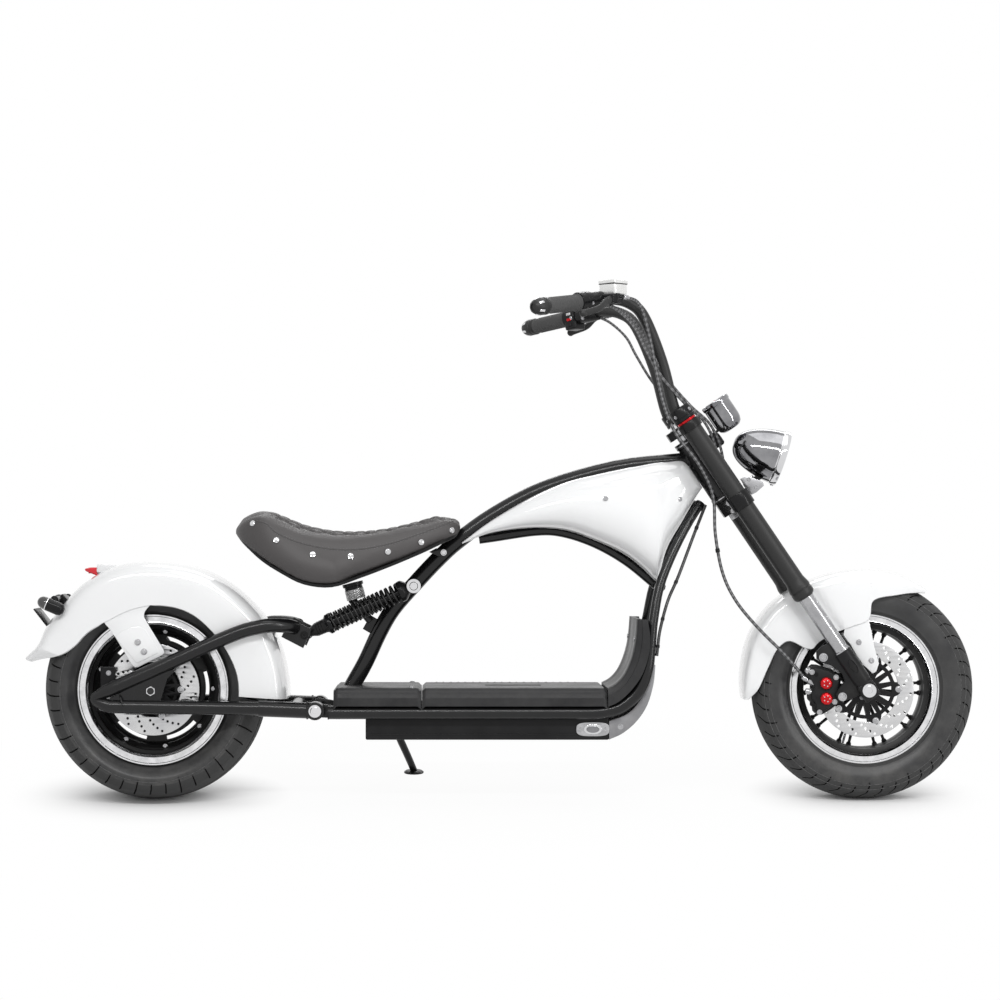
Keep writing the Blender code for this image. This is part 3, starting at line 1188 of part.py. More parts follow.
def stand_bracket(carrier):
    pivot, _, axis = stand_geometry()
    forwards = (Vector((1, 0, 0)) - axis * axis.x).normalized()
    upwards = forwards.cross(axis)
    if upwards.z < 0:
        upwards = -upwards
    plate_middle = pivot - axis * (0.006 + GAP + 0.0025)
    plate = bar(plate_middle - upwards * 0.012, plate_middle + upwards * 0.036, forwards, 0.030, 0.005)
    bolt = rod(pivot - axis * 0.010, pivot + axis * 0.008, 0.005, sides=12)
    head = rod(pivot + axis * (0.006 + GAP), pivot + axis * 0.012, 0.0095, sides=6)
    bracket = cut(join(plate, bolt, head), tube(cradle_route(LEFT), RAIL_RADIUS, grow=GAP))
    finish(largest_piece(bracket), "stand_bracket", carrier, "black_frame")


# Assembly


def stance_matrix():
    """Turns the upright frame so that the ground under both tyres and the stand is level."""
    normal, contact = ground_frame()
    forward = Vector((1, 0, 0))
    forward = (forward - normal * forward.dot(normal)).normalized()
    left = normal.cross(forward)
    turn = Matrix((forward, left, normal)).to_4x4()
    return turn @ Matrix.Translation(-contact)


def centre_over_origin(stance):
    """Moves the leaned scooter so that the origin is below the middle of its box."""
    stance.matrix_world = stance_matrix()
    bpy.context.view_layer.update()
    corners = [obj.matrix_world @ vert.co for obj in SCOOTER.objects if obj.type == "MESH"
               for vert in obj.data.vertices]
    low = Vector(map(min, zip(*corners)))
    high = Vector(map(max, zip(*corners)))
    middle = (low + high) / 2
    stance.matrix_world = Matrix.Translation((-middle.x, -middle.y, -low.z)) @ stance.matrix_world
    bpy.context.view_layer.update()


def main():
    """Builds every piece on the empty of its body, then leans the whole."""
    stance = add_empty("stance", (0, 0, 0))
    steering = add_empty("steering_axis", on_fork(LOWER_CLAMP_HEIGHT, -FORK_OFFSET), stance)
    front = add_empty("front_wheel_axis", FRONT_AXLE, steering)
    rear = add_empty("rear_wheel_axis", REAR_AXLE, stance)
    lid = add_empty("battery_lid_axis", (LID_REAR, 0, FLOOR_TOP), stance)
    stand = add_empty("side_stand_axis", stand_geometry()[0], stance)
    frame(stance)
    suspension(stance)
    for side, word in SIDES:
        finish(tank_shell(side), "tank_shell_" + word, stance, "white_paint")
    post, arm = seat(stance)
    backbone = tube(backbone_route(), BACKBONE_RADIUS, 2, GAP)
    post = largest_piece(cut(join(post, arm), backbone, seat_lug(GAP)))
    finish(post, "seat_post", stance, "steel")
    rear_fender(stance)
    signal_bracket(stance)
    floor_boards(stance, lid)
    battery(stance)
    stand_bracket(stance)
    harness = cut(tube(smooth(HARNESS, 2), CABLE_RADIUS, 1), cradle_tube(RIGHT, GAP))
    finish(harness, "wiring_harness", stance, "black_plastic")
    rear_wheel(rear)
    front_wheel(front)
    front_fender(steering)
    clamps(steering)
    for side, word in SIDES:
        fork_side(side, word, steering)
        handlebar_side(side, word, steering)
    gauge(steering)
    headlight(steering)
    front_axle(steering)
    caliper(steering)
    rear_caliper(stance)
    finish(tube(smooth(BRAKE_HOSE, 2), CABLE_RADIUS, 1), "front_brake_hose", steering, "black_plastic")
    side_stand(stand)
    centre_over_origin(stance)


clear_scene()
SCOOTER = new_collection("electric_chopper_scooter")
main()
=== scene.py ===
"""Electric chopper scooter: the detailed pieces over its CAD frame, laid out as an add-on.

Shapes are drawn on the upright scooter, in metres: X runs forward from the rear axle, Y to the
rider's left and Z up from the ground. Each finished piece is then leaned over onto the stand.
"""

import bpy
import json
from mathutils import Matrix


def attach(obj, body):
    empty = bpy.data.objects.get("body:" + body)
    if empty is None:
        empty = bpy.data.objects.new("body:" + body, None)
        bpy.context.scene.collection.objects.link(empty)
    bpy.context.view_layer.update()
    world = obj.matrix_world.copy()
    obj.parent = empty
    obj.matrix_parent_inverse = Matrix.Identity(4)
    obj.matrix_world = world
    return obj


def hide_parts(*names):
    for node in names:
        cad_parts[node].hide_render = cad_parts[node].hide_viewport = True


bl_info = {
    "name": "Electric chopper scooter",
    "version": (1, 0, 0),
    "blender": (4, 5, 0),
    "location": "3D View > Sidebar > Scooter",
    "description": "Builds the scooter's bodywork, wheels, seat and fittings over its frame",
    "category": "Object",
}

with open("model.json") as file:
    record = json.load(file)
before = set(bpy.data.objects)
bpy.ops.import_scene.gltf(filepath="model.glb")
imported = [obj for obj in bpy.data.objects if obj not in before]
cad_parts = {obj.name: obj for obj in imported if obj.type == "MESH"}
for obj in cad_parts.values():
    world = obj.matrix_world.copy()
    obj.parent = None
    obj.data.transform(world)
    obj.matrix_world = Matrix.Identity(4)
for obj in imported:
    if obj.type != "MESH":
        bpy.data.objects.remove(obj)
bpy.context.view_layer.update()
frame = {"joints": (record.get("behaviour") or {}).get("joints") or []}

import json
import math

import bmesh
import bpy
import numpy as np
from bpy.props import FloatProperty, FloatVectorProperty, IntProperty, PointerProperty
from mathutils import Matrix, Vector
from mathutils.bvhtree import BVHTree

JOINTS = {joint["name"]: joint for joint in frame["joints"]}
X, Y, Z = Vector((1, 0, 0)), Vector((0, 1, 0)), Vector((0, 0, 1))
RIGHT, LEFT = -1, 1
SIDES = ((RIGHT, "right"), (LEFT, "left"))

# Sizes of the CAD that the pieces here are fitted to
RAKE = math.radians(34)
WHEEL_RADIUS = 0.237
REAR_AXLE = Vector((0.0, 0.0, WHEEL_RADIUS))
FRONT_AXLE = Vector((1.5145, 0.0, WHEEL_RADIUS))
FORK_UP = Vector((-math.sin(RAKE), 0.0, math.cos(RAKE)))
FORK_AHEAD = Vector((math.cos(RAKE), 0.0, math.sin(RAKE)))
FORK_OFFSET = 0.015
FORK_SIDE = 0.105
LOWER_CLAMP = 0.484
UPPER_CLAMP = 0.675
SEAL_HEIGHT = 0.25
FRONT_DISC_SIDE = -0.061
REAR_DISC_SIDE = -0.079
SWINGARM_SIDE = 0.1348
PIVOT = (0.3457, 0.195)
RAIL_SIDE = 0.122
RAIL_HEIGHT = 0.19
RAIL_RADIUS = 0.0135
BAR_RADIUS = 0.0125
FLOOR_HALF = 0.138
FLOOR_TOP = 0.2435
TUBE_RADIUS = 0.0175
AXLE_RADIUS = 0.0074
SHEET = 0.003
HOSE_RADIUS = 0.0034
CABLE_RADIUS = 0.003
THREAD_RADIUS = 0.00055
# Points closer than this are one
WELD_GAP = 0.00002


def leaned():
    """The placing that leans the upright scooter onto its stand, from the joints of the CAD."""
    left = Vector(JOINTS["rear_wheel_spin"]["axis"]).normalized()
    up = Vector(JOINTS["steering"]["axis"]).normalized()
    ahead = left.cross(up)
    forward = ahead * math.cos(RAKE) - up * math.sin(RAKE)
    above = ahead * math.sin(RAKE) + up * math.cos(RAKE)
    turn = Matrix((forward, left, above)).transposed()
    start = Vector(JOINTS["rear_wheel_spin"]["pos_m"]) - turn @ REAR_AXLE
    return Matrix.Translation(start) @ turn.to_4x4()


STANCE = leaned()


# Shapes


def tenths(*rows):
    """Rows of lengths given in tenths of a millimetre, in metres."""
    return [tuple(value / 10000 for value in row) for row in rows]


def at(point, side):
    return Vector((point[0], side, point[1]))


def polar(centre, degrees, radius, side=0.0):
    angle = math.radians(degrees)
    return Vector((centre.x + radius * math.cos(angle), side, centre.z + radius * math.sin(angle)))


def angles(steps):
    """Angles of equal steps round a circle, in radians."""
    return [2 * math.pi * step / steps for step in range(steps)]


def outward(first, second, angle):
    """The way out at an angle between two directions square to each other."""
    return first * math.cos(angle) + second * math.sin(angle)


def in_plane(radius, degrees):
    """A flat point by its distance and angle."""
    angle = math.radians(degrees)
    return radius * math.cos(angle), radius * math.sin(angle)


def circle(radius, steps):
    return [(radius * math.cos(a), radius * math.sin(a)) for a in angles(steps)]


def round_hole(u, v, radius, steps=10):
    """A circle that runs the other way, as a plate's holes do."""
    return [(u + radius * math.cos(a), v - radius * math.sin(a)) for a in angles(steps)]


def tilted(degrees):
    """Three ways for a block turned in side view."""
    angle = math.radians(degrees)
    return Vector((math.cos(angle), 0, math.sin(angle))), Y, Vector((-math.sin(angle), 0, math.cos(angle)))


def on_fork(along, ahead=0.0, side=0.0):
    """A point by its distance up the fork from the axle, ahead of the fork tubes and to the left."""
    return FRONT_AXLE + FORK_UP * along + FORK_AHEAD * ahead + Y * side


def through(points, steps):
    """Points along a smooth line through the given ones. Each may hold more than a place."""
    given = [np.array(point, float) for point in points]
    ends = [given[0] * 2 - given[1], *given, given[-1] * 2 - given[-2]]
    line = []
    for before, a, b, after in zip(ends, ends[1:], ends[2:], ends[3:]):
        for step in range(steps):
            t = step / steps
            line.append(a + (b - before) * (t / 2) + (before * 2 - a * 5 + b * 4 - after) * (t * t / 2)
                + (a * 3 - before - b * 3 + after) * (t**3 / 2))
    line.append(given[-1])
    return line


def eased(value, low, high):
    """0 below low, 1 above high and a smooth rise between."""
    share = min(1.0, max(0.0, (value - low) / (high - low)))
    return share * share * (3 - 2 * share)


def in_scene(name, data):
    obj = bpy.data.objects.new(name, data)
    bpy.context.scene.collection.objects.link(obj)
    return obj


def changed_mesh(obj):
    """A new mesh with what the object's modifiers make of it."""
    graph = bpy.context.evaluated_depsgraph_get()
    return bpy.data.meshes.new_from_object(obj.evaluated_get(graph))


def basis(along):
    """Two directions square to a line and to each other."""
    along = Vector(along).normalized()
    hint = X if abs(along.dot(Z)) > 0.95 else Z
    first = (hint - along * along.dot(hint)).normalized()
    return first, along.cross(first)


class Piece:
    """Closed forms gathered into one object. Each call adds a form in the material given."""

    def __init__(self):
        self.points, self.faces, self.looks, self.uvs, self.materials = [], [], [], [], []

    def add(self, points, faces, look, uvs=None):
        """Adds faces over points. look is one material, or a list with one for each face."""
        names = look if isinstance(look, list) else [look] * len(faces)
        self.materials += [name for name in dict.fromkeys(names) if name not in self.materials]
        start = len(self.points)
        self.points += [tuple(point) for point in points]
        for i, face in enumerate(faces):
            self.faces.append([start + corner for corner in face])
            self.looks.append(self.materials.index(names[i]))
            self.uvs += uvs[i] if uvs else [(0.0, 0.0)] * len(face)
        return self

    def add_mesh(self, mesh, place, look):
        points = [place @ vert.co for vert in mesh.vertices]
        return self.add(points, [list(face.vertices) for face in mesh.polygons], look)

    def grid(self, rows, look, loop=False, caps=False, scale=(1.0, 1.0)):
        """Quads over rows of points. With loop each row closes on itself, and caps close the ends.
        look may be a function of row and column that gives the material, or None to leave a face out."""
        wide = len(rows[0])
        faces, uvs, names = [], [], []
        for i in range(len(rows) - 1):
            for j in range(wide if loop else wide - 1):
                k = (j + 1) % wide
                name = look(i, j) if callable(look) else look
                if name is None:
                    continue
                faces.append((i * wide + j, i * wide + k, (i + 1) * wide + k, (i + 1) * wide + j))
                u, v = scale
                uvs.append([(j * u, i * v), ((j + 1) * u, i * v), ((j + 1) * u, (i + 1) * v),
                    (j * u, (i + 1) * v)])
                names.append(name)
        if caps:
            for i in (0, len(rows) - 1):
                faces.append([i * wide + j for j in range(wide)])
                uvs.append([(0.0, 0.0)] * wide)
                names.append(names[0])
        return self.add([point for row in rows for point in row], faces, names, uvs)

    def turn(self, profile, centre, along, look, steps=48, looks=None, ring=False):
        """(radius, height) pairs turned about a line. looks may give a material for each span."""
        first, second = basis(along)
        centre, along = Vector(centre), Vector(along).normalized()
        spans = list(zip(profile, profile[1:] + profile[:1])) if ring else list(zip(profile, profile[1:]))
        for i, span in enumerate(spans):
            rows = []
            for radius, height in span:
                rows.append([centre + along * height + outward(first, second, a) * radius
                    for a in angles(steps)])
            self.grid(rows, looks[i] if looks else look, loop=True, scale=(1 / steps, 1.0))
        return self

    def tube(self, points, radius, look, sides=20, flat=1.0):
        """A round bar along points. A point's fourth number is its own radius there."""
        places = [Vector(point[:3]) for point in points]
        radii = [point[3] if len(point) > 3 else radius for point in points]
        rows, first = [], basis(places[1] - places[0])[0]
        for i, place in enumerate(places):
            way = (places[min(i + 1, len(places) - 1)] - places[max(i - 1, 0)]).normalized()
            first = (first - way * first.dot(way)).normalized()
            second = way.cross(first)
            rows.append([place + (first * math.cos(a) * flat + second * math.sin(a)) * radii[i]
                for a in angles(sides)])
        step = (places[1] - places[0]).length
        return self.grid(rows, look, loop=True, caps=True, scale=(1 / sides, step))

    def rod(self, start, end, radius, look, sides=24, bevel=0.0008):
        """A round bar with broken edges."""
        start, end = Vector(start), Vector(end)
        length = (end - start).length
        profile = [(0, 0), (radius - bevel, 0), (radius, bevel), (radius, length - bevel),
            (radius - bevel, length), (0, length)]
        return self.turn(profile, start, end - start, look, sides)

    def block(self, centre, size, look, ways=(X, Y, Z), bevel=0.002):
        """A box with rounded edges along three ways."""
        bm = bmesh.new()
        bmesh.ops.create_cube(bm, size=1.0)
        bmesh.ops.scale(bm, vec=size, verts=bm.verts)
        bmesh.ops.bevel(bm, geom=bm.edges, offset=bevel, segments=3, profile=0.6, affect="EDGES")
        mesh = bpy.data.meshes.new("block")
        bm.to_mesh(mesh)
        bm.free()
        place = Matrix.Translation(centre) @ Matrix(ways).transposed().to_4x4()
        return self.add_mesh(mesh, place, look)

    def plate(self, outline, holes, centre, ways, thickness, look, bevel=0.0006):
        """A flat plate with holes, drawn in two ways from its centre, with its edges broken."""
        curve = bpy.data.curves.new("plate", "CURVE")
        curve.dimensions = "2D"
        curve.fill_mode = "BOTH"
        curve.extrude = thickness / 2 - bevel
        curve.bevel_depth = bevel
        curve.bevel_resolution = 1
        curve.offset = -bevel
        for loop in (outline, *holes):
            spline = curve.splines.new("POLY")
            spline.points.add(len(loop) - 1)
            for point, (u, v) in zip(spline.points, loop):
                point.co = (u, v, 0.0, 1.0)
            spline.use_cyclic_u = True
        maker = in_scene("plate", curve)
        mesh = changed_mesh(maker)
        bpy.data.objects.remove(maker)
        first, second = (Vector(way).normalized() for way in ways)
        turn = Matrix((first, second, first.cross(second))).transposed()
        return self.add_mesh(mesh, Matrix.Translation(centre) @ turn.to_4x4(), look)

    def bolt(self, face, along, radius, look, height=None, sides=6, socket=True):
        """A bolt head or nut standing on a face, with a washer and a socket or a domed end."""
        along = Vector(along).normalized()
        height = height or radius * 0.8
        washer = [(0, 0), (radius * 1.35, 0), (radius * 1.35, radius * 0.15), (radius, radius * 0.18)]
        self.turn(washer + [(0, radius * 0.18)], face, along, look, 24)
        top = [(0, 0), (radius * 0.98, 0), (radius, radius * 0.1), (radius, height * 0.82),
            (radius * 0.86, height)]
        if socket:
            top += [(radius * 0.52, height), (radius * 0.48, height * 0.5), (0, height * 0.45)]
        else:
            top += [(radius * 0.5, height * 1.18), (0, height * 1.25)]
        return self.turn(top, face, along, look, sides)

    def weld(self, centre, along, radius, look, bead=0.0028, ripples=26):
        """The bead round a welded joint, rippled as a torch leaves it."""
        first, second = basis(along)
        centre, along = Vector(centre), Vector(along).normalized()
        rows = []
        for step in range(ripples * 2):
            out = outward(first, second, math.pi * step / ripples)
            own = bead * (1.0 if step % 2 else 0.72)
            rows.append([centre + out * (radius + own * math.cos(a)) + along * own * math.sin(a)
                for a in angles(6)])
        return self.grid(rows + rows[:1], look, loop=True)

    def finish(self, name, body, slot, replaces=(), sharp=38):
        """Makes the object, leans it over and hands it to its body of the CAD."""
        mesh = bpy.data.meshes.new(name)
        mesh.from_pydata(self.points, [], self.faces)
        mesh.polygons.foreach_set("material_index", self.looks)
        layer = mesh.uv_layers.new(name="UVMap")
        layer.data.foreach_set("uv", [value for pair in self.uvs for value in pair])
        bm = bmesh.new()
        bm.from_mesh(mesh)
        bmesh.ops.remove_doubles(bm, verts=bm.verts, dist=WELD_GAP)
        bmesh.ops.recalc_face_normals(bm, faces=bm.faces)
        bm.to_mesh(mesh)
        bm.free()
        mesh.transform(STANCE)
        for look in self.materials:
            mesh.materials.append(bpy.data.materials[look])
        mesh.shade_smooth()
        mesh.set_sharp_from_angle(angle=math.radians(sharp))
        obj = in_scene(name, mesh)
        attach(obj, body)
        if replaces:
            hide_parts(*replaces)
        return obj


# Shared effects


def group(name, inputs, outputs):
    """An empty node group with named sockets, and its own input and output nodes."""
    tree = bpy.data.node_groups.new(name, "ShaderNodeTree")
    for word, kind, default in inputs:
        socket = tree.interface.new_socket(word, in_out="INPUT", socket_type="NodeSocket" + kind)
        if default is not None:
            socket.default_value = default
    for word, kind in outputs:
        tree.interface.new_socket(word, in_out="OUTPUT", socket_type="NodeSocket" + kind)
    return tree, tree.nodes.new("NodeGroupInput"), tree.nodes.new("NodeGroupOutput")


def node(tree, kind, values=(), **settings):
    """A node with its settings, and with its inputs set to values or linked from sockets."""
    made = tree.nodes.new("ShaderNode" + kind)
    for key, value in settings.items():
        setattr(made, key, value)
    for key, value in dict(values).items():
        if isinstance(value, bpy.types.NodeSocket):
            tree.links.new(value, made.inputs[key])
        else:
            made.inputs[key].default_value = value
    return made


def maths(tree, operation, *values):
    return node(tree, "Math", dict(enumerate(values)), operation=operation).outputs[0]


def blended(tree, share, below, above):
    """One colour over another by a share."""
    return node(tree, "Mix", {0: share, 6: below, 7: above}, data_type="RGBA").outputs[2]


def surface_group():
    """Two tones, two gloss levels and a fine bump, mixed by soft noise over the object."""
    tree, given, out = group("Surface variation", [("Tone A", "Color", (0.5, 0.5, 0.5, 1)),
        ("Tone B", "Color", (0.4, 0.4, 0.4, 1)), ("Patch scale", "Float", 12.0), ("Gloss low", "Float", 0.3),
        ("Gloss high", "Float", 0.5), ("Grain scale", "Float", 600.0), ("Grain height", "Float", 0.1),
        ("Grain depth", "Float", 0.0002)], [("Color", "Color"), ("Roughness", "Float"), ("Normal", "Vector"),
        ("Patches", "Float")])
    place = node(tree, "TexCoord").outputs["Object"]
    patches = node(tree, "TexNoise", {"Vector": place, "Scale": given.outputs["Patch scale"], "Detail": 6.0,
        "Roughness": 0.6})
    spread = node(tree, "MapRange", {"Value": patches.outputs["Fac"], "From Min": 0.35, "From Max": 0.65})
    tone = blended(tree, spread.outputs["Result"], given.outputs["Tone A"], given.outputs["Tone B"])
    gloss = node(tree, "MapRange", {"Value": spread.outputs["Result"], "To Min": given.outputs["Gloss low"],
        "To Max": given.outputs["Gloss high"]})
    grain = node(tree, "TexNoise", {"Vector": place, "Scale": given.outputs["Grain scale"], "Detail": 3.0})
    bump = node(tree, "Bump", {"Height": grain.outputs["Fac"], "Strength": given.outputs["Grain height"],
        "Distance": given.outputs["Grain depth"]})
    tree.links.new(tone, out.inputs["Color"])
    tree.links.new(gloss.outputs["Result"], out.inputs["Roughness"])
    tree.links.new(bump.outputs["Normal"], out.inputs["Normal"])
    tree.links.new(spread.outputs["Result"], out.inputs["Patches"])


def dust_group():
    """A thin film of road dust that fades out with height above the ground."""
    tree, given, out = group("Road dust", [("Base", "Color", (0.1, 0.1, 0.1, 1)),
        ("Dust", "Color", (0.42, 0.4, 0.37, 1)), ("Height", "Float", 0.35), ("Amount", "Float", 0.15)],
        [("Color", "Color"), ("Mask", "Float")])
    place = node(tree, "TexCoord").outputs["Object"]
    height = node(tree, "SeparateXYZ", {"Vector": place}).outputs["Z"]
    fade = node(tree, "MapRange", {"Value": height, "From Min": 0.0, "From Max": given.outputs["Height"],
        "To Min": 1.0, "To Max": 0.0})
    cloud = node(tree, "TexNoise", {"Vector": place, "Scale": 26.0, "Detail": 7.0, "Roughness": 0.7})
    patch = node(tree, "MapRange", {"Value": cloud.outputs["Fac"], "From Min": 0.42, "From Max": 0.68})
    both = maths(tree, "MULTIPLY", fade.outputs["Result"], patch.outputs["Result"])
    mask = maths(tree, "MULTIPLY", both, given.outputs["Amount"])
    tree.links.new(blended(tree, mask, given.outputs["Base"], given.outputs["Dust"]), out.inputs["Color"])
    tree.links.new(mask, out.inputs["Mask"])


def leather_group():
    """The pebbled cells and fine creases of leather, as a height and a shade."""
    tree, given, out = group("Leather grain", [("Cell scale", "Float", 380.0), ("Crease scale", "Float", 60.0)],
        [("Height", "Float"), ("Shade", "Float")])
    place = node(tree, "TexCoord").outputs["Object"]
    cells = node(tree, "TexVoronoi", {"Vector": place, "Scale": given.outputs["Cell scale"]},
        feature="DISTANCE_TO_EDGE")
    pebble = node(tree, "MapRange", {"Value": cells.outputs["Distance"], "From Max": 0.16})
    crease = node(tree, "TexNoise", {"Vector": place, "Scale": given.outputs["Crease scale"], "Detail": 8.0})
    both = maths(tree, "MULTIPLY", pebble.outputs["Result"], crease.outputs["Fac"])
    tree.links.new(both, out.inputs["Height"])
    tree.links.new(crease.outputs["Fac"], out.inputs["Shade"])


def braid_group():
    """Crossing strands wound round a hose, from its own length and round coordinates."""
    tree, given, out = group("Braid", [("Across", "Float", 8.0), ("Along", "Float", 90.0)],
        [("Height", "Float"), ("Shade", "Float")])
    parts = node(tree, "SeparateXYZ", {"Vector": node(tree, "UVMap").outputs["UV"]})
    around = maths(tree, "MULTIPLY", parts.outputs["X"], given.outputs["Across"])
    length = maths(tree, "MULTIPLY", parts.outputs["Y"], given.outputs["Along"])
    waves = [maths(tree, "SINE", maths(tree, "MULTIPLY", maths(tree, way, around, length), 2 * math.pi))
        for way in ("ADD", "SUBTRACT")]
    cross = maths(tree, "MULTIPLY", *waves)
    shade = node(tree, "MapRange", {"Value": cross, "From Min": -0.6, "From Max": 0.9})
    tree.links.new(cross, out.inputs["Height"])
    tree.links.new(shade.outputs["Result"], out.inputs["Shade"])


# Materials


def tint(colour):
    return (*colour, 1.0)


def placed_group(look, name, **values):
    """A shared effect in a material, with its own values."""
    made = look.node_tree.nodes.new("ShaderNodeGroup")
    made.node_tree = bpy.data.node_groups[name]
    for word, value in values.items():
        made.inputs[word.replace("_", " ")].default_value = value
    return made


def dressed(name, colour, second, gloss, patch=12.0, grain=600.0, height=0.1, depth=0.0002,
        dust=0.0, **sockets):
    """A material with the shared surface variation and, on low pieces, road dust."""
    look = bpy.data.materials.new(name)
    look.use_nodes = True
    tree = look.node_tree
    shader = tree.nodes["Principled BSDF"]
    for word, value in sockets.items():
        shader.inputs[word.replace("_", " ")].default_value = value
    cover = placed_group(look, "Surface variation", Tone_A=tint(colour), Tone_B=tint(second), Patch_scale=patch,
        Gloss_low=gloss[0], Gloss_high=gloss[1], Grain_scale=grain, Grain_height=height, Grain_depth=depth)
    source = cover.outputs["Color"]
    if dust:
        film = placed_group(look, "Road dust", Amount=dust)
        tree.links.new(source, film.inputs["Base"])
        source = film.outputs["Color"]
    tree.links.new(source, shader.inputs["Base Color"])
    tree.links.new(cover.outputs["Roughness"], shader.inputs["Roughness"])
    tree.links.new(cover.outputs["Normal"], shader.inputs["Normal"])
    return look


def cloud(look, **values):
    """Noise over the object, as a height."""
    place = node(look.node_tree, "TexCoord").outputs["Object"]
    return node(look.node_tree, "TexNoise", {"Vector": place, **values}).outputs["Fac"]


def add_height(look, height, strength, depth):
    """Puts a second bump on top of a dressed material's own."""
    tree = look.node_tree
    shader = tree.nodes["Principled BSDF"]
    below = shader.inputs["Normal"].links[0].from_socket
    bump = node(tree, "Bump", {"Height": height, "Strength": strength, "Distance": depth, "Normal": below})
    tree.links.new(bump.outputs["Normal"], shader.inputs["Normal"])


def shade_by(look, mask, colour, amount=1.0):
    """Mixes a second colour over a dressed material by a mask."""
    tree = look.node_tree
    shader = tree.nodes["Principled BSDF"]
    below = shader.inputs["Base Color"].links[0].from_socket
    tone = blended(tree, maths(tree, "MULTIPLY", mask, amount), below, tint(colour))
    tree.links.new(tone, shader.inputs["Base Color"])


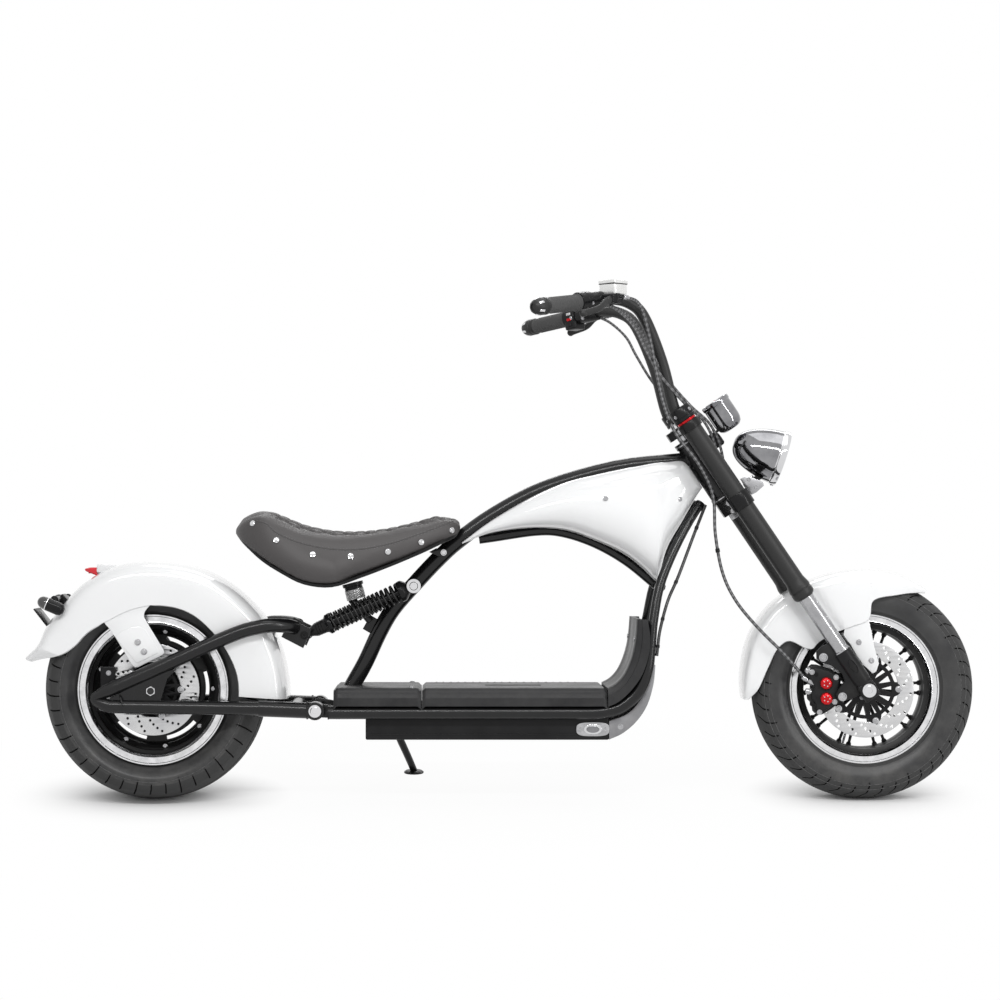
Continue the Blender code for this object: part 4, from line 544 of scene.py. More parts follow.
def make_materials(paint):
    """Every finish on the scooter, from the colours of the paint settings."""
    surface_group()
    dust_group()
    leather_group()
    braid_group()
    body = tuple(paint.body)
    dressed("body_paint", body, [c * 0.985 for c in body], (0.1, 0.16), 5, 900, 0.04, 0.0001, Coat_Weight=0.7,
        Coat_Roughness=0.05)
    frame_tone = tuple(paint.frame)
    dressed("powder_coat", frame_tone, [c * 0.8 for c in frame_tone], (0.19, 0.26), 9, 1500, 0.05, 0.0003,
        dust=0.02, Specular_IOR_Level=0.36)
    dressed("weld_bead", [c * 0.9 for c in frame_tone], [c * 0.5 for c in frame_tone], (0.35, 0.5), 200, 900,
        0.3, 0.0003, Metallic=0.3)
    dressed("gloss_black", (0.003, 0.003, 0.0033), (0.005, 0.005, 0.0053), (0.08, 0.13), 10, 900, 0.01, 0.0001,
        Specular_IOR_Level=0.3)
    dressed("satin_black", (0.008, 0.008, 0.009), (0.013, 0.013, 0.013), (0.2, 0.3), 12, 1300, 0.04, 0.0002,
        Specular_IOR_Level=0.16)
    dressed("cast_black", (0.01, 0.01, 0.011), (0.016, 0.016, 0.016), (0.28, 0.42), 20, 1100, 0.25, 0.0004,
        dust=0.05, Specular_IOR_Level=0.16)
    tyre = dressed("tyre_rubber", (0.008, 0.008, 0.0085), (0.015, 0.015, 0.015), (0.34, 0.48), 14, 900, 0.15,
        0.0004, dust=0.08, Specular_IOR_Level=0.13)
    add_height(tyre, cloud(tyre, Scale=45.0, Detail=9.0, Roughness=0.75), 0.12, 0.001)
    # The sidewall is painted a lighter grey than the tread: painted sheen on the wall.
    dressed("tyre_wall_painted_sheen", (0.03, 0.03, 0.031), (0.055, 0.055, 0.055), (0.28, 0.4), 9, 900, 0.12, 0.0004,
        dust=0.1, Specular_IOR_Level=0.3)
    # Groove floors are painted darker than the rubber: painted shade in the grooves.
    dressed("tread_groove_painted_shade", (0.003, 0.003, 0.003), (0.006, 0.006, 0.006), (0.8, 0.9), 30, 900, 0.4, 0.0004,
        Specular_IOR_Level=0.1)
    # Raised rubber rings painted light grey: a painted highlight along each ring.
    dressed("mould_line_painted_highlight", (0.16, 0.16, 0.16), (0.05, 0.05, 0.05), (0.6, 0.7), 160, 900, 0.3, 0.0003)
    dressed("grip_rubber", (0.034, 0.034, 0.035), (0.046, 0.046, 0.047), (0.42, 0.55), 25, 2200, 0.3, 0.0003,
        Specular_IOR_Level=0.2)
    dressed("floor_plastic", (0.02, 0.02, 0.021), (0.03, 0.03, 0.031), (0.34, 0.46), 14, 1700, 0.5, 0.0004,
        dust=0.06, Specular_IOR_Level=0.2)
    dressed("trim_plastic", (0.009, 0.009, 0.0095), (0.014, 0.014, 0.0145), (0.3, 0.4), 18, 1800, 0.2, 0.0003,
        Specular_IOR_Level=0.16)
    dressed("polished_lip", (0.78, 0.78, 0.79), (0.62, 0.62, 0.63), (0.1, 0.26), 55, 700, 0.12,
        0.0002, Metallic=1.0)
    dressed("chrome", (0.7, 0.7, 0.71), (0.62, 0.62, 0.63), (0.03, 0.07), 14, 600, 0.02, 0.0001, Metallic=1.0)
    # Chrome with a darker base colour: a painted dark reflection.
    dressed("dark_chrome", (0.3, 0.3, 0.31), (0.19, 0.19, 0.2), (0.05, 0.12), 26, 600, 0.05,
        0.0002, Metallic=1.0)
    dressed("zinc", (0.5, 0.5, 0.51), (0.36, 0.36, 0.37), (0.18, 0.34), 70, 900, 0.12, 0.0002, Metallic=1.0)
    rotor = dressed("rotor_steel", (0.64, 0.64, 0.64), (0.55, 0.55, 0.56), (0.22, 0.34), 30, 900, 0.1, 0.0002,
        Metallic=1.0, Anisotropic=0.5)
    add_height(rotor, cloud(rotor, Scale=340.0, Detail=2.0), 0.15, 0.0002)
    slider = dressed("slider_metal", (0.42, 0.42, 0.43), (0.34, 0.34, 0.35), (0.16, 0.26), 40, 700, 0.06,
        0.0001, Metallic=1.0)
    shade_by(slider, placed_group(slider, "Leather grain", Crease_scale=12.0).outputs["Shade"],
        (0.5, 0.5, 0.5), 0.1)
    plate = dressed("skid_aluminium", (0.3, 0.3, 0.31), (0.22, 0.22, 0.23), (0.35, 0.5), 25, 900, 0.3, 0.0003,
        dust=0.25, Metallic=1.0)
    add_height(plate, placed_group(plate, "Leather grain", Cell_scale=120.0).outputs["Shade"], 0.1, 0.001)
    speckle = dressed("speckled_metal", (0.72, 0.72, 0.72), (0.1, 0.1, 0.1), (0.15, 0.4), 420, 900, 0.5,
        0.0005, Metallic=0.9)
    add_height(speckle, placed_group(speckle, "Leather grain", Cell_scale=300.0).outputs["Height"], 0.5, 0.001)
    leather = dressed("seat_leather", paint.seat, [c * 1.25 for c in paint.seat], (0.3, 0.4), 12, 1200, 0.05,
        0.0002, Specular_IOR_Level=0.24, Sheen_Weight=0.01)
    grain = placed_group(leather, "Leather grain", Cell_scale=420.0, Crease_scale=50.0)
    add_height(leather, grain.outputs["Height"], 0.35, 0.0006)
    dressed("thread", (0.1, 0.1, 0.1), (0.16, 0.16, 0.16), (0.5, 0.6), 300, 3000, 0.5, 0.0002)
    hose = dressed("braided_hose", (0.016, 0.016, 0.017), (0.024, 0.024, 0.025), (0.3, 0.42), 30,
        900, 0.1, 0.0001)
    braid = placed_group(hose, "Braid", Across=2.0, Along=70.0)
    shade_by(hose, braid.outputs["Shade"], (0.42, 0.42, 0.43), 0.45)
    add_height(hose, braid.outputs["Height"], 0.5, 0.0006)
    dressed("cable_sheath", (0.014, 0.014, 0.015), (0.02, 0.02, 0.02), (0.3, 0.4), 30, 900, 0.1, 0.0001)
    dressed("red_anodised", (0.55, 0.008, 0.012), (0.42, 0.006, 0.01), (0.16, 0.28), 60, 700, 0.1,
        0.0002, Metallic=0.7)
    dressed("lamp_red", paint.lamp, [c * 0.7 for c in paint.lamp], (0.05, 0.1), 30, 400, 0.05, 0.0002,
        Coat_Weight=0.6, Transmission_Weight=0.35)
    dressed("lamp_smoke", (0.03, 0.03, 0.032), (0.05, 0.048, 0.045), (0.08, 0.16), 30, 400, 0.1, 0.0003,
        Coat_Weight=0.5)
    dressed("clear_glass", (0.95, 0.97, 0.98), (0.93, 0.95, 0.97), (0.02, 0.04), 10, 200, 0.02, 0.0001,
        Transmission_Weight=0.96, IOR=1.48)
    dressed("reservoir_body", (0.8, 0.8, 0.79), (0.72, 0.72, 0.71), (0.16, 0.3), 30, 700, 0.1,
        0.0002, Metallic=0.6)
    dressed("dial_face", (0.02, 0.02, 0.022), (0.03, 0.03, 0.032), (0.2, 0.3), 20, 400, 0.05, 0.0001)
    dressed("dial_mark", (0.75, 0.75, 0.72), (0.7, 0.7, 0.68), (0.4, 0.5), 20, 400, 0.05, 0.0001)
    dressed("silver_switch", (0.6, 0.6, 0.61), (0.5, 0.5, 0.5), (0.3, 0.4), 30, 900, 0.1, 0.0002, Metallic=0.4)


# Wheels

# Sidewall of a tyre from shoulder to bead: share of the way in, share of the half width
SIDEWALL = ((0.0, 0.86), (0.1, 0.925), (0.22, 0.97), (0.38, 0.992), (0.55, 0.99), (0.78, 0.9), (1.0, 0.76))
RIM_RADIUS = 0.1595
# Columns of one tread pitch: share of the pitch, and 1 where the groove's floor is
PITCH = ((0.0, 0), (0.05, 0), (0.075, 1), (0.13, 1), (0.155, 0), (0.4, 0), (0.7, 0))
# Raised rings moulded into a sidewall: share of the way in, width, height
MOULDED = ((0.86, 0.03, 0.0012),)


def tyre_half(width, drop, rows):
    """(radius, side, way in) down one side of a tyre, from the crown to the bead."""
    half = width / 2
    shoulder = WHEEL_RADIUS - drop
    crown = [(WHEEL_RADIUS - drop * share**2, SIDEWALL[0][1] * half * share, -1 + share)
        for share in (0.0, 0.2, 0.4, 0.6, 0.8)]
    depth = shoulder - RIM_RADIUS
    wall = [(shoulder - depth * inward, half * outward, inward) for inward, outward in SIDEWALL]
    return through(crown + wall, rows)


def make_tyre(name, body, axle, width, drop, sipes, depth, sweep, reach, rings, lines):
    """A tyre with sipes across each shoulder, long ones between short ones, and round tread rings.

    reach holds where the sipes start across the tread and where long and short ones end, and lines the
    radii of the fine raised rings on its walls.
    """
    half = tyre_half(width, drop, 5)
    line = [(r, -y, t) for r, y, t in half[:0:-1]] + half
    start, long_end, short_end = reach
    rows, sunk = [], []
    for i, (radius, side, inward) in enumerate(line):
        before, after = line[max(i - 1, 0)], line[min(i + 1, len(line) - 1)]
        out = Vector((after[1] - before[1], before[0] - after[0])).normalized()
        across = abs(side) / (width / 2)
        grooves = [eased(across, start + later, start + later + 0.06) * (1 - eased(inward, end - 0.05, end))
            for later, end in ((0, long_end), (0.14, short_end), (0.14, short_end))]
        ring = max(math.exp(-((across - place) / 0.022) ** 2) for place in rings) * (inward < 0)
        raised = sum(high * math.exp(-((inward - place) / wide) ** 2) for place, wide, high in MOULDED)
        lead = sweep * across**2 + (0.5 * eased(side, -0.02, 0.02)) * 2 * math.pi / sipes
        row = []
        for pitch in range(sipes):
            for share, floor in PITCH:
                angle = (pitch + share) * 2 * math.pi / sipes + lead
                lift = raised - depth * max(floor * grooves[pitch % 3], ring * 0.8)
                r = radius + out.x * lift
                row.append(Vector((axle.x + r * math.cos(angle), side + out.y * lift,
                    axle.z + r * math.sin(angle))))
        rows.append(row)
        sunk.append((grooves, ring))

    def look(i, j):
        grooves, ring = sunk[i]
        pitch, column = divmod(j, len(PITCH))
        # Groove floors get the darker painted shade, and the middle of the sidewall the lighter painted sheen.
        if (grooves[pitch % 3] > 0.4 and PITCH[column][1]) or ring > 0.6:
            return "tread_groove_painted_shade"
        return "tyre_wall_painted_sheen" if 0.3 < line[i][2] < 0.93 else "tyre_rubber"

    piece = Piece().grid(rows, look, loop=True)
    inner = []
    for radius, side in ((line[0][0] - 0.002, line[0][1] * 0.95), (line[0][0], line[0][1] * 0.6),
            (line[0][0], -line[0][1] * 0.6), (line[0][0] - 0.002, -line[0][1] * 0.95)):
        inner.append([Vector((axle.x + radius * math.cos(a), side, axle.z + radius * math.sin(a)))
            for a in angles(len(rows[0]))])
    piece.grid([rows[0], *inner, rows[-1]], "tyre_rubber", loop=True)
    wall = sorted((r, y) for r, y, t in half if t > 0)
    # Fine raised rings on the walls, painted light grey as a painted highlight.
    for place in lines:
        out = float(np.interp(place, *zip(*wall)))
        for face in (RIGHT, LEFT):
            piece.turn([(place - 0.0009, face * (out - 0.0006)), (place, face * (out + 0.0007)),
                (place + 0.0009, face * (out - 0.0006))], axle, Y, "mould_line_painted_highlight", 120, ring=True)
    return piece.finish(name + "_detail", body, "tyre_rubber", [name], sharp=30)


def make_disc(name, body, axle, radius, inner, side, hub_end, hole):
    """A perforated brake rotor riveted to a black star-shaped carrier."""
    piece = Piece()
    holes = []
    for cluster in range(15):
        for step, share in enumerate((0.14, 0.38, 0.62, 0.86)):
            r = inner + (radius - inner) * (share * 0.86 + 0.07)
            holes.append(round_hole(*in_plane(r, cluster * 24 + step * 6), hole))
    centre = axle + Y * side
    piece.plate(circle(radius, 96), [circle(inner, 72)[::-1], *holes], centre, (X, Z), 0.0038, "rotor_steel")
    low, high = 0.03, inner * 0.79
    windows = [[in_plane(high, middle + 7), in_plane(high, middle - 7), in_plane(low, middle)]
        for middle in range(0, 360, 24)]
    star = [in_plane(inner * (0.9 + 0.16 * eased(math.cos(math.radians(step * 18)), 0.2, 0.9)), step * 3.6)
        for step in range(100)]
    piece.plate(star, windows + [circle(0.009, 24)[::-1]], centre, (X, Z), 0.0046, "satin_black", 0.0008)
    for arm in range(5):
        for face in (RIGHT, LEFT):
            piece.bolt(polar(axle, arm * 72, inner + 0.0005, side + face * 0.0022), Y * face, 0.0052,
                "zinc", 0.0018, 20)
    for way in range(5):
        piece.bolt(polar(axle, way * 72 + 30, 0.0195, side - 0.0023), -Y, 0.0033, "zinc", 0.0026, 6)
    piece.turn([(0.0085, -0.0023), (0.014, -0.0023), (0.026, 0.0), (0.026, abs(side) - hub_end),
        (0.0085, abs(side) - hub_end)], centre, Y, "satin_black", 40, ring=True)
    return piece.finish(name + "_detail", body, "brake_steel", [name])


def rim(axle, half, lip_end, well):
    """A rim of one closed section: a polished flange and lip on each side of a dark barrel."""
    lip = [(RIM_RADIUS, half - 0.003), (RIM_RADIUS + 0.0008, half - 0.0012), (RIM_RADIUS, half + 0.0004),
        (RIM_RADIUS - 0.0028, half), (RIM_RADIUS - 0.0042, half - 0.0022), (lip_end + 0.0035, half - 0.0034),
        (lip_end + 0.0015, half - 0.0026), (lip_end, half - 0.005)]
    section = [(RIM_RADIUS - 0.0046, half - 0.0034), *lip, *well]
    looks = ["gloss_black"] + ["polished_lip"] * len(lip) + ["gloss_black"] * len(well)
    back = [(r, -y) for r, y in section[-2::-1]]
    return Piece().turn(section + back, axle, Y, None, 128, looks + looks[-3::-1] + ["gloss_black"], ring=True)


def make_front_wheel(wheels):
    half, axle = 0.046, FRONT_AXLE
    piece = rim(axle, half, 0.143, [(0.14, half * 0.8), (0.129, half * 0.7), (0.128, half * 0.42),
        (0.1262, half * 0.34), (0.1255, 0.0)])
    for pair in range(wheels.spoke_pairs):
        for lean in (-1, 1):
            middle = pair * 360 / wheels.spoke_pairs
            start = polar(axle, middle + lean * 9, 0.03, lean * 0.008)
            knee = polar(axle, middle + lean * 6.2, 0.08, lean * 0.005)
            end = polar(axle, middle + lean * 5, 0.1262, 0.0)
            piece.tube([(*p, r) for p, r in zip(through([start, knee, end], 4), np.linspace(0.0042, 0.003, 9))],
                0.004, "satin_black", 10)
            piece.turn(tenths((0, 0), (62, 0), (52, 50), (30, 80), (0, 80)), end, (start - end).normalized(),
                "satin_black", 12)
    hub = tenths((86, 520), (190, 520), (220, 490), (220, 360), (300, 300), (330, 240), (330, 120), (290, 90),
        (290, -90), (330, -120), (330, -240), (300, -300), (220, -360), (220, -520), (86, -520))
    piece.turn(hub, axle, Y, "satin_black", 48, ring=True)
    piece.rod(polar(axle, 252, 0.125, 0.012), polar(axle, 252, 0.1, 0.02), 0.0028, "zinc", 12)
    piece.rod(polar(axle, 252, 0.103, 0.019), polar(axle, 252, 0.095, 0.0215), 0.0036, "trim_plastic", 12)
    piece.finish("front_rim_detail", "front_wheel", "wheel_black", ["front_rim"])
    make_disc("front_brake_disc", "front_wheel", axle, 0.103, 0.07, FRONT_DISC_SIDE, 0.0523, 0.003)
    make_tyre("front_tyre", "front_wheel", axle, 0.12, 0.015, wheels.front_sipes, wheels.sipe_depth, 0.14,
        (0.4, 0.36, 0.22), (0.16,), (0.205, 0.215))


def make_rear_wheel(wheels):
    half, axle = 0.0925, REAR_AXLE
    piece = rim(axle, half, 0.142, [(0.1385, half - 0.0075), (0.1365, half * 0.8), (0.13, half * 0.74),
        (0.129, half * 0.5), (0.12, half * 0.42), (0.118, 0.012), (0.1165, 0.008), (0.1165, 0.0)])
    slots = []
    for slot in range(wheels.rear_slots):
        middle = slot * 360 / wheels.rear_slots
        reach = 112 / wheels.rear_slots
        arc = [(r, middle + way * reach) for r, ways in ((0.113, range(-6, 7)), (0.105, range(6, -7, -1)))
            for way in (w / 6 for w in ways)]
        slots.append([in_plane(r, a) for r, a in arc][::-1])
    piece.plate(circle(0.118, 120), slots + [circle(0.05, 48)[::-1]], axle, (X, Z), 0.016,
        "gloss_black", 0.0015)
    for face in (RIGHT, LEFT):
        cover = tenths((0, 640), (300, 640), (320, 620), (320, 505), (460, 500), (500, 465), (600, 460),
            (640, 430), (780, 425), (810, 400), (880, 200), (950, 85), (980, 70))
        piece.turn([(r, face * h) for r, h in cover], axle, Y, "cast_black", 72)
        for rib in range(18):
            inner = polar(axle, rib * 20, 0.052, face * 0.0455)
            piece.tube(through([inner, polar(axle, rib * 20, 0.074, face * 0.0425),
                polar(axle, rib * 20, 0.09, face * 0.018)], 3), 0.0024, "cast_black", 8)
        for stud in range(9):
            piece.bolt(polar(axle, stud * 40 + 20, 0.084, face * 0.034), Y * face, 0.0042, "zinc", 0.004, 6)
            piece.bolt(polar(axle, stud * 40, 0.1245, face * half * 0.46), Y * face, 0.0036, "zinc", 0.003, 6)
    piece.finish("rear_rim_detail", "rear_wheel", "wheel_black", ["rear_rim_and_motor"])
    make_disc("rear_brake_disc", "rear_wheel", axle, 0.0975, 0.058, REAR_DISC_SIDE, 0.0643, 0.0026)
    make_tyre("rear_tyre", "rear_wheel", axle, 0.215, 0.018, wheels.rear_sipes, wheels.sipe_depth, 0.05,
        (0.62, 0.46, 0.34), (0.12, 0.4), (0.1955,))


# Frame

# x, z of the backbone from the rear crossmember under the seat up to the head tube
BACKBONE = tenths((3950, 1880), (4165, 2352), (4483, 2924), (4779, 3560), (5074, 4064), (5547, 4610),
    (6026, 5120), (6472, 5526), (7260, 6090), (8340, 6650), (9850, 7083), (11150, 7233), (11600, 7275))
# x, z of the arch under the tank
ARCH = tenths((6500, 5515), (7170, 5605), (8146, 5745), (8730, 5714), (9420, 5485), (10100, 5100),
    (10765, 4560))
# x, distance out from the middle, z and radius of a cradle tube
CRADLE = tenths((11920, 160, 6720, 100), (11287, 550, 5760, 100), (10795, 850, 4720, 100),
    (10611, 1050, 3910, 100), (10530, 1160, 3300, 115), (10450, 1210, 2800, 135), (10270, 1220, 2350, 135),
    (9900, 1220, 2025, 135), (9500, 1220, 1915, 135), (9150, 1220, 1900, 135), (3720, 1220, 1900, 135))
SHOCK_TOP = (0.5526, 0.4568)
SHOCK_LOW = (0.3204, 0.3525)


def make_frame():
    backbone = through([at(point, 0.0) for point in BACKBONE], 4)[1:]
    piece = Piece().tube(backbone, TUBE_RADIUS, "powder_coat", 32)
    piece.tube([at(SHOCK_TOP, -0.0447), at(SHOCK_TOP, 0.0447)], 0.011, "powder_coat", 24)
    for side, _ in SIDES:
        piece.weld(at(SHOCK_TOP, side * 0.0185), Y, 0.0108, "weld_bead", 0.002, 14)
    piece.block((0.462, 0, 0.372), (0.034, 0.01, 0.026), "powder_coat", (Vector((0.5, 0, 0.866)), Y,
        Vector((-0.866, 0, 0.5))), 0.0015)
    piece.weld((0.4135, 0, 0.2085), (0.35, 0, 0.93), 0.0172, "weld_bead")
    piece.weld((1.138, 0, 0.7255), (1, 0, 0.1), 0.0172, "weld_bead")
    piece.finish("backbone_detail", "chassis", "frame_black", ["backbone_tube"])
    arch = through([at(point, 0.0) for point in ARCH], 6)[4:]
    piece = Piece().tube(arch, 0.011, "powder_coat", 24)
    piece.tube([(1.0765, -0.084, 0.456), (1.0765, 0.084, 0.456)], 0.01, "powder_coat", 24)
    piece.weld(at(ARCH[-1], 0.0) + Vector((-0.008, 0, 0.0065)), (0.78, 0, -0.62), 0.0108,
        "weld_bead", 0.002, 14)
    for side, _ in SIDES:
        piece.weld((1.0765, side * 0.075, 0.456), Y, 0.0098, "weld_bead", 0.002, 14)
    piece.finish("arch_detail", "chassis", "frame_black", ["arch_tube"])
    low, high = on_fork(LOWER_CLAMP + 0.0168, -FORK_OFFSET), on_fork(UPPER_CLAMP - 0.0215, -FORK_OFFSET)
    length = (high - low).length
    piece = Piece().turn([(0.0166, 0), (0.0288, 0), (0.029, 0.001), (0.029, 0.011), (0.0272, 0.013),
        (0.0268, length - 0.013), (0.029, length - 0.011), (0.029, length - 0.001), (0.0288, length),
        (0.0166, length)], low, FORK_UP, "powder_coat", 56, ring=True)
    for along in (0.0045, length - 0.0075):
        piece.turn([(0.0289, along), (0.0296, along + 0.0005), (0.0296, along + 0.0025),
            (0.0289, along + 0.003)], low, FORK_UP, "zinc", 56, ring=True)
    piece.finish("head_tube_detail", "chassis", "frame_black", ["head_tube"])
    for side, word in SIDES:
        route = [(x, out * side, z, radius) for x, out, z, radius in CRADLE]
        route = [*through(route[:-1], 5)[2:], np.array(route[-1])]
        piece = Piece().tube(route, RAIL_RADIUS, "powder_coat", 28)
        start = Vector(route[0][:3])
        piece.weld(start + Vector((-0.006, 0.003 * side, -0.01)), (0.5, -0.3 * side, 0.8), 0.0102,
            "weld_bead", 0.0022, 16)
        piece.turn([(0, -0.0016), (RAIL_RADIUS + 0.001, -0.0016), (RAIL_RADIUS + 0.001, 0.0004), (0, 0.0004)],
            Vector(CRADLE[-1][:1] + (side * RAIL_SIDE, RAIL_HEIGHT)), -X, "trim_plastic", 24)
        piece.finish("cradle_detail_" + word, "chassis", "frame_black", ["cradle_tube_" + word])
    piece = Piece().tube([(0.392, -0.1083, RAIL_HEIGHT), (0.392, 0.1083, RAIL_HEIGHT)], 0.0133,
        "powder_coat", 28)
    for side, _ in SIDES:
        nose = [(PIVOT[0] + u, PIVOT[1] + v) for u, v in (in_plane(0.0155, d) for d in range(90, 271, 15))]
        outline = [(0.392, 0.178), (0.392, 0.202), *nose]
        piece.plate(outline, [round_hole(*PIVOT, 0.0084, 16)], Y * side * 0.1025, (X, Z), 0.0082,
            "powder_coat", 0.001)
        piece.weld((0.392, side * 0.1015, RAIL_HEIGHT), Y, 0.0131, "weld_bead", 0.0022, 16)
    piece.finish("rear_crossmember_detail", "chassis", "frame_black", ["rear_crossmember"])


# x, distance out from the middle, z of the swingarm's upper tube
ARM_TOP = ((-0.1143, SWINGARM_SIDE, 0.2275), (0.0056, SWINGARM_SIDE, 0.2808), (0.1668, SWINGARM_SIDE, 0.3531),
    (0.2271, SWINGARM_SIDE, 0.3714), (0.256, 0.126, 0.3745), (0.284, 0.108, 0.373), (0.3, 0.088, 0.369))
ARM_LOW = tenths((-1143, 2155), (-869, 2045), (2292, 1997), (3357, 1955))
SHOCK_PLATE = tenths((2899, 3874), (3362, 3652), (3181, 3250), (2717, 3490))


def make_swingarm():
    for side, word in SIDES:
        out = side * SWINGARM_SIDE
        top = through([(x, side * way, z) for x, way, z in ARM_TOP], 5)
        low = [at(point, out) for point in (ARM_LOW[0], ARM_LOW[1], (0.07, 0.2022), ARM_LOW[3])]
        nose = [(-0.1265, out, 0.2215, 0.0035), (-0.1205, out, 0.2228, 0.009)]
        tip = [*nose, *[(*p[:3], 0.015) for p in top[1:]]]
        piece = Piece().tube(tip, 0.015, "powder_coat", 28)
        sleeve = Vector((0.227, out, 0.1998))
        lows = [nose[0], (-0.119, out, 0.216, 0.0085), (-0.098, out, 0.208, 0.0145),
            *[(*p[:3], 0.0147) for p in low[1:3]], (*sleeve, 0.0147)]
        piece.tube(lows, 0.0147, "powder_coat", 28)
        piece.tube([sleeve, (*(sleeve + X * 0.0015), 0.0168), (*(sleeve + X * 0.003), 0.017), low[-1]], 0.017,
            "powder_coat", 28)
        outline = tenths((-1000, 2140), (-300, 2520), (300, 2780), (550, 2840), (340, 2620), (200, 2150),
            (-200, 2050), (-800, 2050))
        piece.plate(outline, [], Y * out, (X, Z), 0.0082, "powder_coat", 0.001)
        piece.plate(SHOCK_PLATE, [], Y * side * 0.0793, (X, Z), 0.008, "powder_coat", 0.0012)
        piece.bolt(at(SHOCK_LOW, side * 0.0834), Y * side, 0.0068, "satin_black", 0.0055)
        piece.rod((PIVOT[0], side * 0.1075, PIVOT[1]), (PIVOT[0], side * 0.154, PIVOT[1]), 0.019,
            "powder_coat", 36, 0.0015)
        piece.weld((0.329, out, 0.1958), X, 0.0168, "weld_bead", 0.0024, 20)
        piece.weld((-0.06, out, 0.2135), (0.92, 0, 0.32), 0.0162, "weld_bead", 0.0018, 20)
        piece.finish("swingarm_detail_" + word, "chassis", "frame_black", ["swingarm_" + word])
    piece = Piece().tube([(0.3, -0.1165, 0.198), (0.3, 0.1165, 0.198)], 0.013, "powder_coat", 28)
    for side, _ in SIDES:
        piece.weld((0.3, side * 0.115, 0.198), Y, 0.0128, "weld_bead", 0.0022, 16)
    piece.finish("swingarm_crossbar_detail", "chassis", "frame_black", ["swingarm_crossbar"])
    piece = Piece().rod((PIVOT[0], -0.156, PIVOT[1]), (PIVOT[0], 0.156, PIVOT[1]), AXLE_RADIUS, "zinc", 20)
    for side, _ in SIDES:
        piece.bolt((PIVOT[0], side * 0.1542, PIVOT[1]), Y * side, 0.0098, "chrome", 0.0082, 40, side < 0)
    piece.finish("pivot_bolt_detail", "chassis", "chrome_trim", ["swingarm_pivot_bolt"])
    piece = Piece().rod((0, -0.149, WHEEL_RADIUS), (0, 0.149, WHEEL_RADIUS), AXLE_RADIUS, "gloss_black", 20)
    for side, _ in SIDES:
        near = 0.0655 if side == LEFT else 0.082
        piece.rod(at((0, WHEEL_RADIUS), side * near), at((0, WHEEL_RADIUS), side * 0.1305), 0.012,
            "satin_black", 28)
        piece.turn(tenths((60, 0), (112, 0), (112, 70), (100, 85), (68, 85), (60, 75)),
            at((0, WHEEL_RADIUS), side * 0.1391), Y * side, "chrome", 6, ring=True)
    piece.finish("rear_axle_detail", "chassis", "brake_steel", ["rear_axle"])


def make_shocks(frame_settings):
    """Spring, damper and eyes of each shock."""
    for side, word in SIDES:
        low, high = at(SHOCK_LOW, side * 0.06), at(SHOCK_TOP, side * 0.06)
        length = (high - low).length
        unit = (high - low).normalized()
        first, second = basis(unit)
        piece = Piece().turn([(0, 0.01), (0.0085, 0.01), (0.0105, 0.018), (0.014, 0.026), (0.0148, 0.046),
            (0.016, 0.05), (0.0212, 0.054), (0.0215, 0.0555), (0.0215, 0.06), (0.0205, 0.062), (0.015, 0.063),
            (0.0125, 0.066), (0.0125, length * 0.6), (0.0075, length * 0.6 + 0.002), (0.007, length - 0.036),
            (0.0215, length - 0.034), (0.0222, length - 0.032), (0.0222, length - 0.026),
            (0.0205, length - 0.023), (0.014, length - 0.016), (0.01, length - 0.012), (0, length - 0.012)],
            low, unit, "satin_black", 40)
        for along in (0.0285, 0.0345, 0.0405):
            piece.turn([(0.0142, along - 0.001), (0.0153, along), (0.0142, along + 0.001)], low, unit,
                "satin_black", 32, ring=True)
        start, end, turns = 0.064, length - 0.0375, frame_settings.coil_turns
        count = turns * 20
        route = []
        for i in range(count + 1):
            share = i / count
            climb = share + 0.018 * math.sin(2 * math.pi * share)
            out = outward(first, second, 2 * math.pi * turns * share)
            route.append(low + unit * (start + (end - start) * climb) + out * 0.0188)
        piece.tube(route, frame_settings.coil_wire, "gloss_black", 10)
        for place in (low, high):
            piece.rod(place - Y * 0.0148, place + Y * 0.0148, 0.013, "satin_black", 32, 0.0012)
            piece.rod(place - Y * 0.0152, place + Y * 0.0152, 0.0085, "zinc", 24)
        piece.bolt(high + Y * side * 0.015, Y * side, 0.0092, "chrome", 0.007, 36)
        piece.turn(tenths((112, 0), (150, 0), (150, 16), (112, 16)), high + Y * side * 0.0148, Y * side,
            "chrome", 36, ring=True)
        piece.finish("shock_detail_" + word, "chassis", "gloss_black", ["shock_" + word])


# Bodywork

# x, top, bottom and half width of the tank
TANK = tenths((6560, 5500, 5466, 240), (7171, 5953, 5690, 400), (8000, 6440, 5800, 600),
    (8750, 6770, 5760, 730), (9400, 6935, 5540, 810), (10000, 7060, 5260, 850), (10400, 7130, 4960, 850),
    (10680, 7180, 4690, 820), (10760, 7190, 4720, 810), (10954, 7205, 5370, 780), (11301, 7213, 5980, 660),
    (11560, 6900, 6440, 500), (11693, 6680, 6650, 340))
# Share down and share out of a tank section. The crease is the fourth.
TANK_SECTION = ((0, 0), (0, 0.3), (0.08, 0.64), (0.19, 0.84), (0.42, 1), (0.62, 0.98), (0.82, 0.78),
    (0.95, 0.45), (1, 0.03))
TANK_CREASE = 3
TANK_INNER = 0.0178
